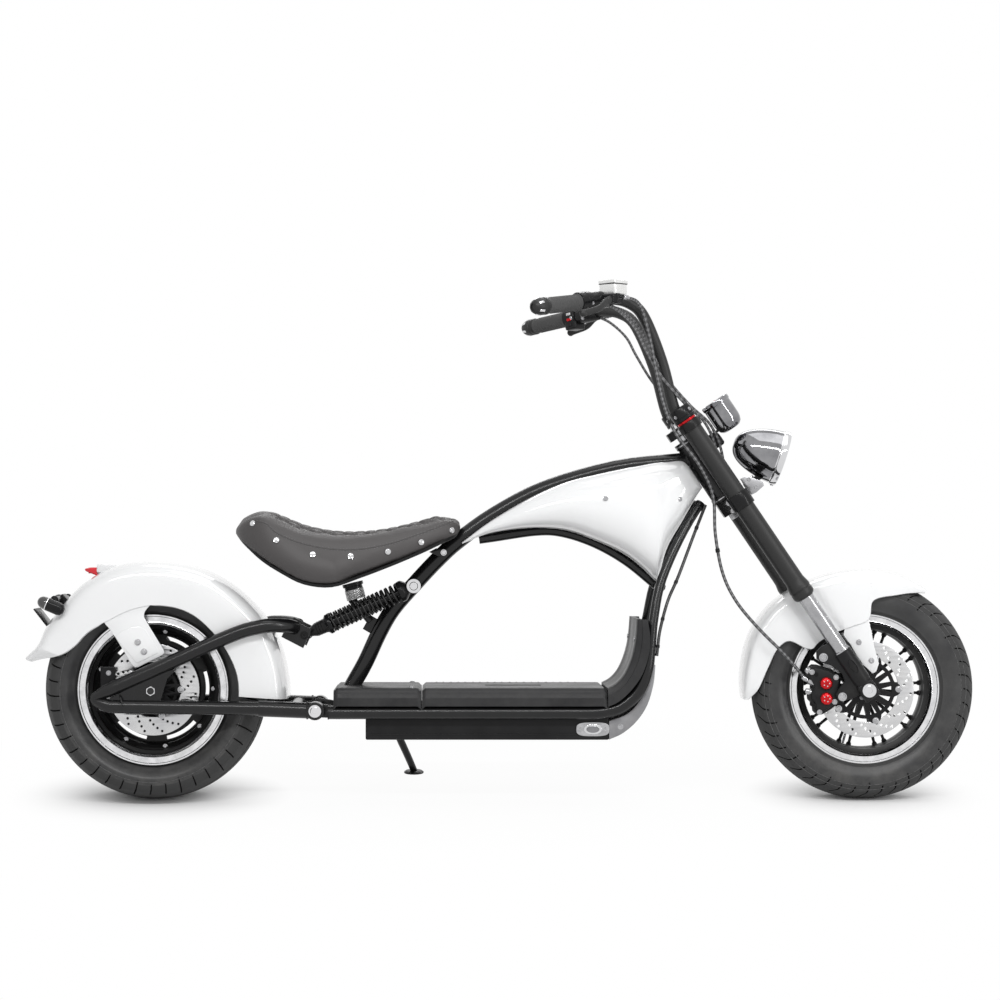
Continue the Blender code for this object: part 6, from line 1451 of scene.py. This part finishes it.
def make_controls(side, word, points, unit):
    inner = points[-2]
    perch = points[-3] + (points[-2] - points[-3]) * 0.35
    perch_way = (points[-2] - points[-3]).normalized()
    heading = Vector((0.68, side * 0.7, 0)).normalized()
    ahead = heading * 0.034
    ways = (heading, Z.cross(heading), Z)
    piece = Piece()
    piece.turn(tenths((128, 62), (200, 62), (210, 70), (210, 390), (202, 398), (128, 398)), inner, unit,
        "satin_black", 48, ring=True)
    for degrees in (20, 140, 260):
        out = outward(*basis(unit), math.radians(degrees))
        piece.bolt(inner + unit * 0.0135 + out * 0.0205, out, 0.0028, "zinc", 0.0014, 20)
    piece.turn(tenths((208, 205), (214, 212), (214, 222), (208, 229)), inner, unit, "trim_plastic",
        48, ring=True)
    piece.turn(tenths((128, -130), (172, -130), (182, -115), (182, 475), (172, 490), (128, 490)), perch,
        perch_way, "satin_black", 40, ring=True)
    piece.block(perch + ahead * 0.62, (0.046, 0.034, 0.019), "satin_black", ways, 0.004)
    for way in (RIGHT, LEFT):
        piece.bolt(perch - heading * 0.015 + Z * way * 0.0085 + perch_way * 0.018, -heading, 0.0034,
            "zinc", 0.003, 20)
    pivot = perch + ahead * 1.12
    piece.rod(pivot - Z * 0.0105, pivot + Z * 0.0105, 0.0085, "satin_black", 28)
    piece.bolt(pivot + Z * 0.0105, Z, 0.0042, "zinc", 0.0026, 20)
    route = through([perch + ahead * 0.95, perch + ahead * 1.25 + unit * 0.035 - Z * 0.004,
        inner + ahead * 1.5 + unit * 0.03 - Z * 0.016, inner + ahead * 1.45 + unit * 0.075 - Z * 0.022], 10)
    blade = [(*p, r) for p, r in zip(route, np.interp(np.linspace(0, 1, len(route)), (0, 0.2, 0.85, 1),
        (0.006, 0.0052, 0.0044, 0.0046)))]
    piece.tube(blade, 0.0055, "gloss_black", 18, 1.6)
    tip = Vector(route[-1])
    piece.turn(tenths((0, -80), (40, -70), (72, -35), (80, 0), (72, 35), (40, 70), (0, 80)), tip, unit,
        "gloss_black", 24)
    top = perch + ahead * 0.3 + Z * 0.023 + X * 0.014
    if side == RIGHT:
        piece.rod(top - Z * 0.03, top - Z * 0.012, 0.0095, "satin_black", 24)
        piece.block(top - Z * 0.003, (0.046, 0.039, 0.025), "reservoir_body", ways, 0.005)
        piece.block(top + Z * 0.0125, (0.048, 0.04, 0.008), "reservoir_body", ways, 0.0025)
        piece.block(top + Z * 0.0082, (0.0465, 0.039, 0.0016), "trim_plastic", ways, 0.0005)
        for way in (RIGHT, LEFT):
            piece.bolt(top + heading * way * 0.015 + Z * 0.0163, Z, 0.003, "zinc", 0.001, 20)
        glass = top - Z * 0.0025 + ways[1] * 0.019
        piece.turn(tenths((0, 0), (62, 0), (66, 8), (60, 16), (0, 16)), glass, ways[1], "zinc", 24)
        piece.turn(tenths((0, 10), (48, 10), (44, 19), (0, 23)), glass, ways[1], "lamp_smoke", 24)
    else:
        box = inner - Z * 0.006 + unit * 0.02
        flat = Z.cross(unit).normalized()
        over = unit.cross(flat)
        box_ways = (unit, flat, over)
        piece.block(box, (0.031, 0.037, 0.045), "trim_plastic", box_ways, 0.006)
        for lift, look in ((0.012, "silver_switch"), (0.0, "red_anodised"), (-0.012, "trim_plastic")):
            piece.block(box - flat * 0.018 * (1 if flat.x > 0 else -1) + over * lift, (0.012, 0.006, 0.0065),
                look, box_ways, 0.0015)
        piece.block(box, (0.0315, 0.0375, 0.001), "satin_black", box_ways, 0.0003)
    piece.finish("controls_detail_" + word, "steering", "gloss_black", ["controls_" + word])


def make_gauge():
    base = on_fork(0.617, 0.0815)
    ways = (FORK_AHEAD, Y, FORK_UP)
    # The cup is chrome with a darker base colour: a painted dark reflection.
    piece = Piece().turn(tenths((0, 0), (140, 0), (200, 16), (262, 70), (296, 160), (305, 240), (305, 590),
        (308, 600), (320, 610), (322, 625), (322, 680), (315, 700), (300, 708), (285, 700), (278, 680)), base,
        FORK_UP, "dark_chrome", 72)
    piece.turn([(0.0282, 0.067), (0, 0.067)], base, FORK_UP, "dial_face", 48)
    for mark in range(-120, 121, 20):
        angle = math.radians(mark)
        out = FORK_AHEAD * math.cos(angle) + Y * math.sin(angle)
        place = base + FORK_UP * 0.0672 + out * 0.0225
        piece.block(place, (0.005, 0.0011, 0.0004), "dial_mark", (out, -out.cross(FORK_UP), FORK_UP), 0.0001)
    piece.block(base + FORK_UP * 0.0676 + FORK_AHEAD * 0.008 - Y * 0.004, (0.022, 0.0012, 0.0006), "lamp_red",
        (Vector((0.8, -0.5, 0)).normalized(), Vector((0.5, 0.8, 0)).normalized(), Z), 0.0002)
    piece.turn(tenths((0, 674), (30, 674), (28, 684), (0, 686)), base, FORK_UP, "trim_plastic", 24)
    piece.turn(tenths((279, 690), (200, 704), (0, 712), (0, 700), (279, 680)), base, FORK_UP, "clear_glass", 48)
    piece.block(on_fork(0.631, 0.0455), (0.053, 0.022, 0.0055), "satin_black", ways, 0.001)
    piece.block(on_fork(0.6535, 0.022), (0.0055, 0.022, 0.051), "satin_black", ways, 0.001)
    piece.block(on_fork(UPPER_CLAMP, (0.0153 + 0.025) / 2), (0.0095, 0.022, 0.0078), "satin_black", ways, 0.001)
    piece.turn(tenths((0, -140), (90, -125), (118, -90), (120, 40), (112, 120), (90, 160), (0, 180)),
        on_fork(0.613, 0.04), FORK_UP, "trim_plastic", 36)
    piece.bolt(on_fork(0.6345, 0.04), FORK_UP, 0.0042, "zinc", 0.0035, 6)
    piece.finish("gauge_detail", "steering", "chrome_trim", ["gauge"])


def make_headlight():
    tilt = math.radians(18)
    forward = Vector((math.cos(tilt), 0, -math.sin(tilt)))
    length, radius = 0.112, 0.0595
    rim = on_fork(0.5015, 0.135)
    back = rim - forward * length
    ways = (FORK_AHEAD, Y, FORK_UP)
    shape = [(0, 0), (0.2, 0.01), (0.4, 0.065), (0.58, 0.17), (0.74, 0.33), (0.86, 0.52), (0.93, 0.7),
        (0.958, 0.85)]
    shell = [(r * radius, a * length) for r, a in shape]
    smooth_shell = [(max(0.0, radius), along) for radius, along in through(shell, 5)]
    ring = [(r, length + along) for r, along in tenths((575, -150), (590, -140), (597, -125), (600, -60),
        (594, -15), (575, 0), (552, -10), (545, -40))]
    # The shell is chrome with a darker base colour, a painted dark reflection; its rim ring is plain chrome.
    piece = Piece().turn(smooth_shell, back, forward, "dark_chrome", 96)
    piece.turn([smooth_shell[-1], *ring], back, forward, "chrome", 96)
    bowl = tenths((545, -40), (500, -150), (400, -320), (250, -450), (80, -500), (0, -500))
    piece.turn([(r, length + along) for r, along in bowl], back, forward, "polished_lip", 64)
    bulb = tenths((0, -500), (80, -500), (80, -260), (60, -230), (0, -225))
    piece.turn([(r, length + along) for r, along in bulb], back, forward, "satin_black", 24)
    piece.block(on_fork(0.499, 0.06), (0.052, 0.026, 0.0118), "satin_black", ways, 0.001)
    piece.rod(on_fork(0.501, 0.075), rim - forward * 0.062 - FORK_UP * 0.03, 0.0118, "satin_black", 28)
    piece.bolt(on_fork(0.505, 0.056), FORK_UP, 0.0055, "zinc", 0.005, 6)
    screw = rim - forward * 0.0065 + Z.cross(forward).cross(forward).normalized() * 0.06
    piece.bolt(screw, screw - rim + forward * 0.0065, 0.003, "zinc", 0.0018, 20)
    piece.finish("headlight_detail", "steering", "chrome_trim", ["headlight"])
    piece = Piece()
    first, second = basis(forward)
    for swell, behind in ((1, 0), (0.2, 0.0022)):
        rows = []
        for i in range(25):
            r = 0.054 * i / 24
            middle = back + forward * (length - 0.0042 + 0.003 * (1 - (i / 24) ** 2) * swell - behind)
            rows.append([middle + outward(first, second, a) * max(r, 0.00001) for a in angles(72)])
        piece.grid(rows, "clear_glass", loop=True)
    ends = piece.points[24 * 72:25 * 72], piece.points[49 * 72:50 * 72]
    piece.grid([list(ends[0]), list(ends[1])], "clear_glass", loop=True)
    piece.finish("headlight_lens_detail", "steering", "lamp_glass", ["headlight_lens"])
    piece = Piece().block(on_fork(0.4897, (0.0098 + 0.066) / 2), (0.0562, 0.04, 0.0058),
        "satin_black", ways, 0.001)
    for ahead in (0.02, 0.056):
        piece.bolt(on_fork(0.4867, ahead), -FORK_UP, 0.0046, "zinc", 0.0036, 6)
    cheek = tenths((12515, 6854), (12637, 6938), (13006, 6795), (13025, 6711), (12863, 6567), (12760, 6516),
        (12637, 6651))
    piece.plate(cheek, [], Y * -0.0215, (X, Z), 0.003, "zinc", 0.0007)
    for x, z in ((1.2698, 0.6845), (1.2851, 0.6679)):
        piece.bolt((x, -0.023, z), -Y, 0.0036, "zinc", 0.0026, 20)
    piece.finish("headlight_bracket_detail", "steering", "brake_steel", ["headlight_bracket"])


# Brakes, hoses and stand

BRAKE_HOSE = tenths((9900, -2080, 10620), (10250, -1800, 10480), (10480, -1480, 9850), (10640, -1340, 9100),
    (10800, -1330, 8400), (11050, -1300, 7800), (11550, -1150, 7150), (11860, -1000, 6500), (11915, -990, 5661),
    (12071, -950, 4853), (12351, -1000, 4256), (12808, -1020, 3695), (13405, -980, 3098), (13800, -900, 2640),
    (13888, -880, 2570))
CABLE = tenths((9530, 1820, 10500), (9850, 1680, 10330), (10180, 1500, 10000), (10400, 1380, 9580),
    (10750, 1250, 9000), (11250, 1100, 8440), (11700, 800, 8050), (11960, 450, 7550), (12060, 200, 7000),
    (12040, 150, 6500))
HARNESS = tenths((11760, -400, 6300), (11508, -430, 5662), (11154, -720, 4780), (10907, -960, 4248),
    (10738, -1090, 3651), (10684, -1160, 3300), (10660, -1190, 3100))
# x, z round the front caliper
CALIPER = tenths((13880, 2780), (14000, 2900), (14220, 2860), (14450, 2760), (14570, 2620), (14560, 2420),
    (14610, 2280), (14560, 2130), (14440, 2010), (14250, 1880), (14120, 1840), (14020, 1910), (14000, 2060),
    (13910, 2160), (13910, 2300), (13980, 2420), (13930, 2560), (13865, 2660))


def make_brakes():
    out = FORK_SIDE - 0.0053
    cast = through(CALIPER, 2)
    shrunk = [(1.425 + (x - 1.425) * 0.86, 0.236 + (z - 0.236) * 0.88) for x, z in cast]
    piece = Piece()
    for outline, near, far in ((cast, 0.0555, 0.0537), (cast, 0.069, out - 0.006), (shrunk, out - 0.0075, out)):
        piece.plate(outline, [], Y * -(near + far) / 2, (X, Z), abs(far - near), "cast_black",
            min(0.003, abs(far - near) * 0.4))
    piece.block((1.405, -0.062, 0.236), (0.017, 0.02, 0.07), "cast_black", bevel=0.003)
    for x, z in ((1.426, 0.2515), (1.4265, 0.219)):
        cap = Vector((x, -out, z))
        piece.turn(tenths((0, -10), (128, -10), (137, 10), (137, 45), (122, 72), (85, 92), (0, 100)), cap, -Y,
            "red_anodised", 9)
        for spot in range(5):
            place = cap + Vector((math.cos(spot * 1.2566), 0, math.sin(spot * 1.2566))) * 0.0062 - Y * 0.0088
            piece.turn(tenths((0, 0), (16, 0), (13, 10), (0, 13)), place, -Y, "chrome", 12)
    for x, z in tenths((14470, 2640), (14440, 2120), (14120, 1900), (13960, 2750)):
        piece.bolt((x, -out, z), -Y, 0.0042, "zinc", 0.003, 24)
    for x, z in ((1.405, 0.27), (1.4, 0.204)):
        piece.bolt((x, -out, z), -Y, 0.0034, "satin_black", 0.004, 6)
    for z in (0.28, 0.236):
        piece.rod((1.383, -0.09, z), (1.396, -0.09, z - 0.004), 0.005, "zinc", 16)
        piece.turn(tenths((30, -30), (66, -30), (66, 30), (30, 30)), (1.389, -0.09, z - 0.002), Y, "zinc",
            24, ring=True)
    piece.rod((1.3895, -0.088, 0.2562), (1.402, -0.088, 0.25), 0.0068, "zinc", 6)
    piece.finish("front_caliper_detail", "steering", "gloss_black", ["front_caliper"])
    piece = Piece()
    centre = Vector((-0.095, 0, 0.258))
    for near, far in ((-0.066, -0.061), (-0.097, -0.0868)):
        piece.block(centre + Y * (near + far) / 2, (0.03, abs(far - near), 0.058), "satin_black", bevel=0.003)
    piece.block(centre + Vector((-0.0115, REAR_DISC_SIDE, 0)), (0.009, 0.034, 0.056),
        "satin_black", bevel=0.002)
    for z in (0.243, 0.273):
        piece.bolt((-0.0935, -0.097, z), -Y, 0.004, "zinc", 0.003, 24)
    piece.rod((-0.098, -0.089, 0.2365), (-0.098, -0.1193, 0.2365), 0.007, "zinc", 24)
    piece.finish("rear_caliper_detail", "chassis", "brake_steel", ["rear_caliper"])
    axle = Piece().rod(FRONT_AXLE - Y * 0.1225, FRONT_AXLE + Y * 0.1225, AXLE_RADIUS, "zinc", 24)
    for side, _ in SIDES:
        near = 0.054 if side == LEFT else 0.0645
        axle.rod(FRONT_AXLE + Y * side * near, FRONT_AXLE + Y * side * 0.0874, 0.0115, "satin_black", 28)
        axle.bolt(FRONT_AXLE + Y * side * 0.1223, Y * side, 0.0108, "chrome", 0.0072, 40)
    axle.finish("front_axle_detail", "steering", "brake_steel", ["front_axle"])


def make_hoses():
    route = through(BRAKE_HOSE, 10)
    piece = Piece().tube(route, HOSE_RADIUS, "braided_hose", 16)
    for start, end in ((route[0], route[3]), (route[-1], route[-3])):
        way = (Vector(end) - Vector(start)).normalized()
        piece.turn(tenths((0, 0), (50, 0), (54, 8), (54, 100), (46, 112), (42, 150), (0, 152)), Vector(start),
            way, "zinc", 20)
    for i in (46, 84):
        place, way = Vector(route[i]), (Vector(route[i + 1]) - Vector(route[i - 1])).normalized()
        piece.turn(tenths((33, -40), (46, -40), (48, -30), (48, 30), (46, 40), (33, 40)), place, way,
            "trim_plastic", 20, ring=True)
    for side, drop in ((RIGHT, 0.0), (RIGHT, 0.013), (LEFT, 0.0)):
        cable = [(x + drop, side * (y - drop), z - drop * 0.3) for x, y, z in CABLE]
        piece.tube(through(cable, 8), CABLE_RADIUS, "braided_hose", 14)
    piece.finish("brake_hose_detail", "steering", "cable_black", ["front_brake_hose"])
    route = through(HARNESS, 10)
    piece = Piece().tube(route, HOSE_RADIUS, "cable_sheath", 16)
    for i in (8, 22, 36, 50):
        place, way = Vector(route[i]), (Vector(route[i + 1]) - Vector(route[i - 1])).normalized()
        piece.turn(tenths((33, -30), (42, -30), (42, 30), (33, 30)), place, way, "trim_plastic", 16, ring=True)
    piece.finish("harness_detail", "chassis", "cable_black", ["wiring_harness"])


def make_stand():
    """The stand from its CAD joint: an eye on the axis, a tapered leg and a foot flat on the floor."""
    upright = STANCE.inverted()
    joint = JOINTS["side_stand_fold"]
    pivot = upright @ Vector(joint["pos_m"])
    axis = (upright.to_3x3() @ Vector(joint["axis"])).normalized()
    if axis.z < 0:
        axis = -axis
    foot = Vector((0.55, 0.268, 0.0335))
    normal = (upright.to_3x3() @ Z).normalized()
    heel = foot + normal * 0.006
    knee = pivot.lerp(foot, 0.35)
    piece = Piece()
    piece.turn(tenths((53, -60), (130, -60), (140, -50), (140, 50), (130, 60), (53, 60)), pivot, axis,
        "satin_black", 40, ring=True)
    leg = through([(*(pivot + (foot - pivot) * 0.06), 0.0056), (*knee, 0.008), (*pivot.lerp(heel, 0.7), 0.008),
        (*heel, 0.0076)], 6)
    piece.tube(leg, 0.008, "satin_black", 24)
    piece.turn(tenths((0, 0), (215, 0), (220, 8), (220, 30), (180, 58), (0, 62)), foot, normal,
        "satin_black", 44)
    piece.finish("side_stand_detail", "stand_leg", "frame_black", ["side_stand"])
    forwards = (X - axis * axis.x).normalized()
    upwards = forwards.cross(axis)
    if upwards.z < 0:
        upwards = -upwards
    middle = pivot - axis * 0.0088
    piece = Piece()
    outline = [in_plane(0.015, degrees) for degrees in range(180, 361, 15)]
    outline += [(0.0135, 0.028), (-0.0135, 0.028)]
    piece.plate(outline, [], middle, (forwards, upwards), 0.0048, "powder_coat", 0.0008)
    piece.rod(pivot - axis * 0.011, pivot + axis * 0.0078, 0.005, "zinc", 20)
    piece.bolt(pivot + axis * 0.0064, axis, 0.0088, "zinc", 0.005, 6)
    piece.finish("stand_bracket_detail", "chassis", "frame_black", ["stand_bracket"])


# Settings


def length_setting(name, text, default, low, high):
    return FloatProperty(name=name, description=text, default=default, min=low, max=high, unit="LENGTH",
        subtype="DISTANCE", precision=4)


def count_setting(name, text, default, low, high, step=1):
    return IntProperty(name=name, description=text, default=default, min=low, max=high, step=step)


def power_setting(name, text, default):
    return FloatProperty(name=name, description=text, default=default, min=0, unit="POWER")


def colour_setting(name, text, default):
    return FloatVectorProperty(name=name, description=text, default=default, min=0, max=1, size=3,
        subtype="COLOR")


class SCOOTER_PG_paint(bpy.types.PropertyGroup):
    body: colour_setting("Body", "Colour of the tank and both fenders", (0.82, 0.825, 0.83))
    frame: colour_setting("Frame", "Colour of the powder coat on the tubes", (0.006, 0.006, 0.0065))
    seat: colour_setting("Seat", "Colour of the leather", (0.006, 0.006, 0.0065))
    lamp: colour_setting("Tail lamp", "Colour of the tail lamp's lens", (0.62, 0.012, 0.012))


class SCOOTER_PG_wheels(bpy.types.PropertyGroup):
    front_sipes: count_setting("Front sipes", "Tread pitches round the front tyre", 45, 9, 60, 3)
    rear_sipes: count_setting("Rear sipes", "Tread pitches round the rear tyre", 42, 9, 60, 3)
    sipe_depth: length_setting("Sipe depth", "Depth of the cuts across the shoulders", 0.003, 0.0005, 0.006)
    spoke_pairs: count_setting("Spoke pairs", "Pairs of spokes in the front wheel", 10, 3, 20)
    rear_slots: count_setting("Rear slots", "Slots in the rear wheel's disc", 6, 3, 20)


class SCOOTER_PG_frame(bpy.types.PropertyGroup):
    coil_turns: count_setting("Coil turns", "Turns of each shock's spring", 15, 4, 20)
    coil_wire: length_setting("Coil wire", "Radius of the spring's wire", 0.0022, 0.001, 0.006)


class SCOOTER_PG_seat(bpy.types.PropertyGroup):
    shrink: length_setting("Start inset", "How far inside its full size the cushion starts", 0.0035, 0.0, 0.02)
    cap: length_setting("Swelling", "Furthest that a point of the cushion may move out", 0.0055, 0.0, 0.02)
    pressure: FloatProperty(name="Pressure", description="Pressure that fills the cushion", default=4.0,
        min=0, max=20)
    quilt: length_setting("Quilt pitch", "Distance between quilting lines", 0.046, 0.015, 0.1)
    channel: length_setting("Channel depth", "Depth of the quilting lines", 0.0075, 0.0, 0.01)


class SCOOTER_PG_studio(bpy.types.PropertyGroup):
    key: power_setting("Front strip", "Power of the long light over the camera", 80)
    fill: power_setting("Side strips", "Power of the lights at the side and behind", 34)
    top: power_setting("Top light", "Power of the broad light above", 42)
    sky: FloatProperty(name="Surround", description="Strength of the white surround", default=0.42, min=0)
    distance: length_setting("Camera distance", "Distance from the camera to the scooter's middle plane",
        6.5, 2.0, 20.0)


class SCOOTER_PG_settings(bpy.types.PropertyGroup):
    paint: PointerProperty(type=SCOOTER_PG_paint)
    wheels: PointerProperty(type=SCOOTER_PG_wheels)
    tubes: PointerProperty(type=SCOOTER_PG_frame)
    seat: PointerProperty(type=SCOOTER_PG_seat)
    studio: PointerProperty(type=SCOOTER_PG_studio)


# Operators


class BuildPiece:
    """What the operators share."""

    bl_options = {"REGISTER", "UNDO"}

    def execute(self, context):
        self.build(context.scene.scooter)
        return {"FINISHED"}


class SCOOTER_OT_materials(BuildPiece, bpy.types.Operator):
    """Make every finish from the paint settings"""

    bl_idname = "scooter.materials"
    bl_label = "Materials"

    def build(self, settings):
        make_materials(settings.paint)


class SCOOTER_OT_wheels(BuildPiece, bpy.types.Operator):
    """Make both wheels with their tyres and brake discs"""

    bl_idname = "scooter.wheels"
    bl_label = "Wheels"

    def build(self, settings):
        make_front_wheel(settings.wheels)
        make_rear_wheel(settings.wheels)


class SCOOTER_OT_frame(BuildPiece, bpy.types.Operator):
    """Make the tube frame, the swingarm and the shocks"""

    bl_idname = "scooter.frame"
    bl_label = "Frame and suspension"

    def build(self, settings):
        make_frame()
        make_swingarm()
        make_shocks(settings.tubes)


class SCOOTER_OT_bodywork(BuildPiece, bpy.types.Operator):
    """Make the tank, the fenders, the tail lamp and the signals"""

    bl_idname = "scooter.bodywork"
    bl_label = "Bodywork"

    def build(self, settings):
        make_tank()
        make_rear_fender()
        make_front_fender()
        make_signals()


class SCOOTER_OT_floor(BuildPiece, bpy.types.Operator):
    """Make the foot boards, the battery box and the skid plate"""

    bl_idname = "scooter.floor"
    bl_label = "Floor"

    def build(self, settings):
        make_floor()
        make_battery_box()


class SCOOTER_OT_seat(BuildPiece, bpy.types.Operator):
    """Fill the cushion as cloth, then quilt and trim it"""

    bl_idname = "scooter.seat"
    bl_label = "Seat"

    def build(self, settings):
        make_seat(settings.seat)


class SCOOTER_OT_fork(BuildPiece, bpy.types.Operator):
    """Make the fork, its clamps, the handlebars and their controls"""

    bl_idname = "scooter.fork"
    bl_label = "Fork and handlebars"

    def build(self, settings):
        make_fork()
        make_clamps()
        make_bars()


class SCOOTER_OT_fittings(BuildPiece, bpy.types.Operator):
    """Make the gauge, headlight, brakes, hoses and stand"""

    bl_idname = "scooter.fittings"
    bl_label = "Fittings"

    def build(self, settings):
        make_gauge()
        make_headlight()
        make_brakes()
        make_hoses()
        make_stand()


class SCOOTER_OT_studio(BuildPiece, bpy.types.Operator):
    """Set up the floor, the lights and the camera"""

    bl_idname = "scooter.studio"
    bl_label = "Studio"

    def build(self, settings):
        make_studio(settings.studio)


# Width of the film in millimetres, width it takes in at the scooter, and the place on the scooter it looks at
FILM = 36
TAKEN_IN = 2.15
AIM = (0.60845, 0.5547)
FRAMING = (0.06, 0.04)
PAPER_HALF = 12
PAPER_WHITE = (0.93, 0.93, 0.93, 1)


def seen_rays(tree):
    """1 for rays from the camera, off gloss and through glass, and 0 for the rest."""
    path = node(tree, "LightPath")
    seen = maths(tree, "MAXIMUM", path.outputs["Is Camera Ray"], path.outputs["Is Glossy Ray"])
    return maths(tree, "MAXIMUM", seen, path.outputs["Is Transmission Ray"])


def make_paper():
    """White paper that keeps the shadow where the wheels stand and fades to plain white round them."""
    mesh = bpy.data.meshes.new("floor")
    corners = ((-1, -1), (1, -1), (1, 1), (-1, 1))
    mesh.from_pydata([(x * PAPER_HALF, y * PAPER_HALF, 0) for x, y in corners], [], [(0, 1, 2, 3)])
    paper = bpy.data.materials.new("paper")
    paper.use_nodes = True
    tree = paper.node_tree
    shader = tree.nodes["Principled BSDF"]
    shader.inputs["Base Color"].default_value = PAPER_WHITE
    shader.inputs["Roughness"].default_value = 0.9
    shader.inputs["Specular IOR Level"].default_value = 0.0
    place = node(tree, "TexCoord").outputs["Object"]
    shares = []
    for spot, reach, near, most in ((REAR_AXLE, 0.36, 0.0, 1.0), (FRONT_AXLE, 0.32, 0.0, 1.0),
            (Vector((0.75, 0.1, 0)), 1.3, 0.3, 0.05)):
        x, y, _ = STANCE @ spot
        away = node(tree, "VectorMath", {0: place, 1: (x, y, 0.0)}, operation="DISTANCE")
        share = node(tree, "MapRange", {"Value": away.outputs["Value"], "From Min": near, "From Max": reach,
            "To Min": most, "To Max": 0.0}, interpolation_type="SMOOTHERSTEP")
        shares.append(share.outputs["Result"])
    share = maths(tree, "MAXIMUM", maths(tree, "MAXIMUM", shares[0], shares[1]), shares[2])
    white = maths(tree, "MULTIPLY", maths(tree, "SUBTRACT", 1.0, share), seen_rays(tree))
    glow = node(tree, "Emission", {"Color": (1, 1, 1, 1), "Strength": 1.0})
    mixed = node(tree, "MixShader", {0: white, 1: shader.outputs["BSDF"], 2: glow.outputs["Emission"]})
    tree.links.new(mixed.outputs["Shader"], tree.nodes["Material Output"].inputs["Surface"])
    mesh.materials.append(paper)
    return in_scene("floor", mesh)


def make_studio(studio):
    scene = bpy.context.scene
    things = [make_paper()]
    centre = STANCE @ Vector((0.7, 0, 0.5))
    for name, place, size, power in (("front strip", (0.1, -2.9, 3.0), (4.4, 0.12), studio.key),
            ("side strip", (3.3, -2.5, 1.7), (0.16, 2.6), studio.fill), ("back strip", (0.6, 3.2, 2.6),
            (3.6, 0.5), studio.fill), ("top", (0.7, 0.0, 4.2), (3.4, 2.4), studio.top)):
        light = bpy.data.lights.new(name, "AREA")
        light.shape = "RECTANGLE"
        light.size, light.size_y = size
        light.energy = power
        lamp = in_scene(name, light)
        lamp.location = place
        lamp.rotation_euler = (centre - Vector(place)).to_track_quat("-Z", "Y").to_euler()
        things.append(lamp)
    world = bpy.data.worlds.new("studio")
    scene.world = world
    world.use_nodes = True
    tree = world.node_tree
    back = tree.nodes["Background"]
    strength = node(tree, "MapRange", {"Value": seen_rays(tree), "To Min": studio.sky, "To Max": 1.0})
    back.inputs["Color"].default_value = (1, 1, 1, 1)
    tree.links.new(strength.outputs["Result"], back.inputs["Strength"])
    camera_data = bpy.data.cameras.new("camera")
    camera = in_scene("camera", camera_data)
    camera_data.sensor_width = FILM
    camera_data.lens = FILM * studio.distance / TAKEN_IN
    camera_data.shift_x, camera_data.shift_y = FRAMING
    turn = STANCE.to_3x3()
    view = Matrix((turn @ X, turn @ Z, turn @ -Y)).transposed()
    eye = STANCE @ at(AIM, -studio.distance)
    camera.matrix_world = Matrix.Translation(eye) @ view.to_4x4()
    scene.camera = camera
    scene.view_settings.view_transform = "Standard"
    things.append(camera)


class SCOOTER_PT_panel(bpy.types.Panel):
    """Every setting and operator in the 3D view's sidebar"""

    bl_idname = "SCOOTER_PT_panel"
    bl_label = "Electric chopper scooter"
    bl_space_type = "VIEW_3D"
    bl_region_type = "UI"
    bl_category = "Scooter"

    def draw(self, context):
        settings = context.scene.scooter
        for operator, group_name in STEPS:
            box = self.layout.box()
            box.operator(operator.bl_idname)
            if group_name:
                part = getattr(settings, group_name)
                for word in part.__annotations__:
                    box.prop(part, word)


STEPS = ((SCOOTER_OT_materials, "paint"), (SCOOTER_OT_wheels, "wheels"), (SCOOTER_OT_frame, "tubes"),
    (SCOOTER_OT_bodywork, None), (SCOOTER_OT_floor, None), (SCOOTER_OT_seat, "seat"), (SCOOTER_OT_fork, None),
    (SCOOTER_OT_fittings, None), (SCOOTER_OT_studio, "studio"))
CLASSES = (SCOOTER_PG_paint, SCOOTER_PG_wheels, SCOOTER_PG_frame, SCOOTER_PG_seat, SCOOTER_PG_studio,
    SCOOTER_PG_settings, *(operator for operator, _ in STEPS), SCOOTER_PT_panel)


def register():
    for kind in CLASSES:
        bpy.utils.register_class(kind)
    bpy.types.Scene.scooter = PointerProperty(type=SCOOTER_PG_settings)


def unregister():
    del bpy.types.Scene.scooter
    for kind in reversed(CLASSES):
        bpy.utils.unregister_class(kind)


def main():
    register()
    for operator, _ in STEPS:
        area, name = operator.bl_idname.split(".")
        getattr(getattr(bpy.ops, area), name)()


if __name__ == "__main__":
    main()
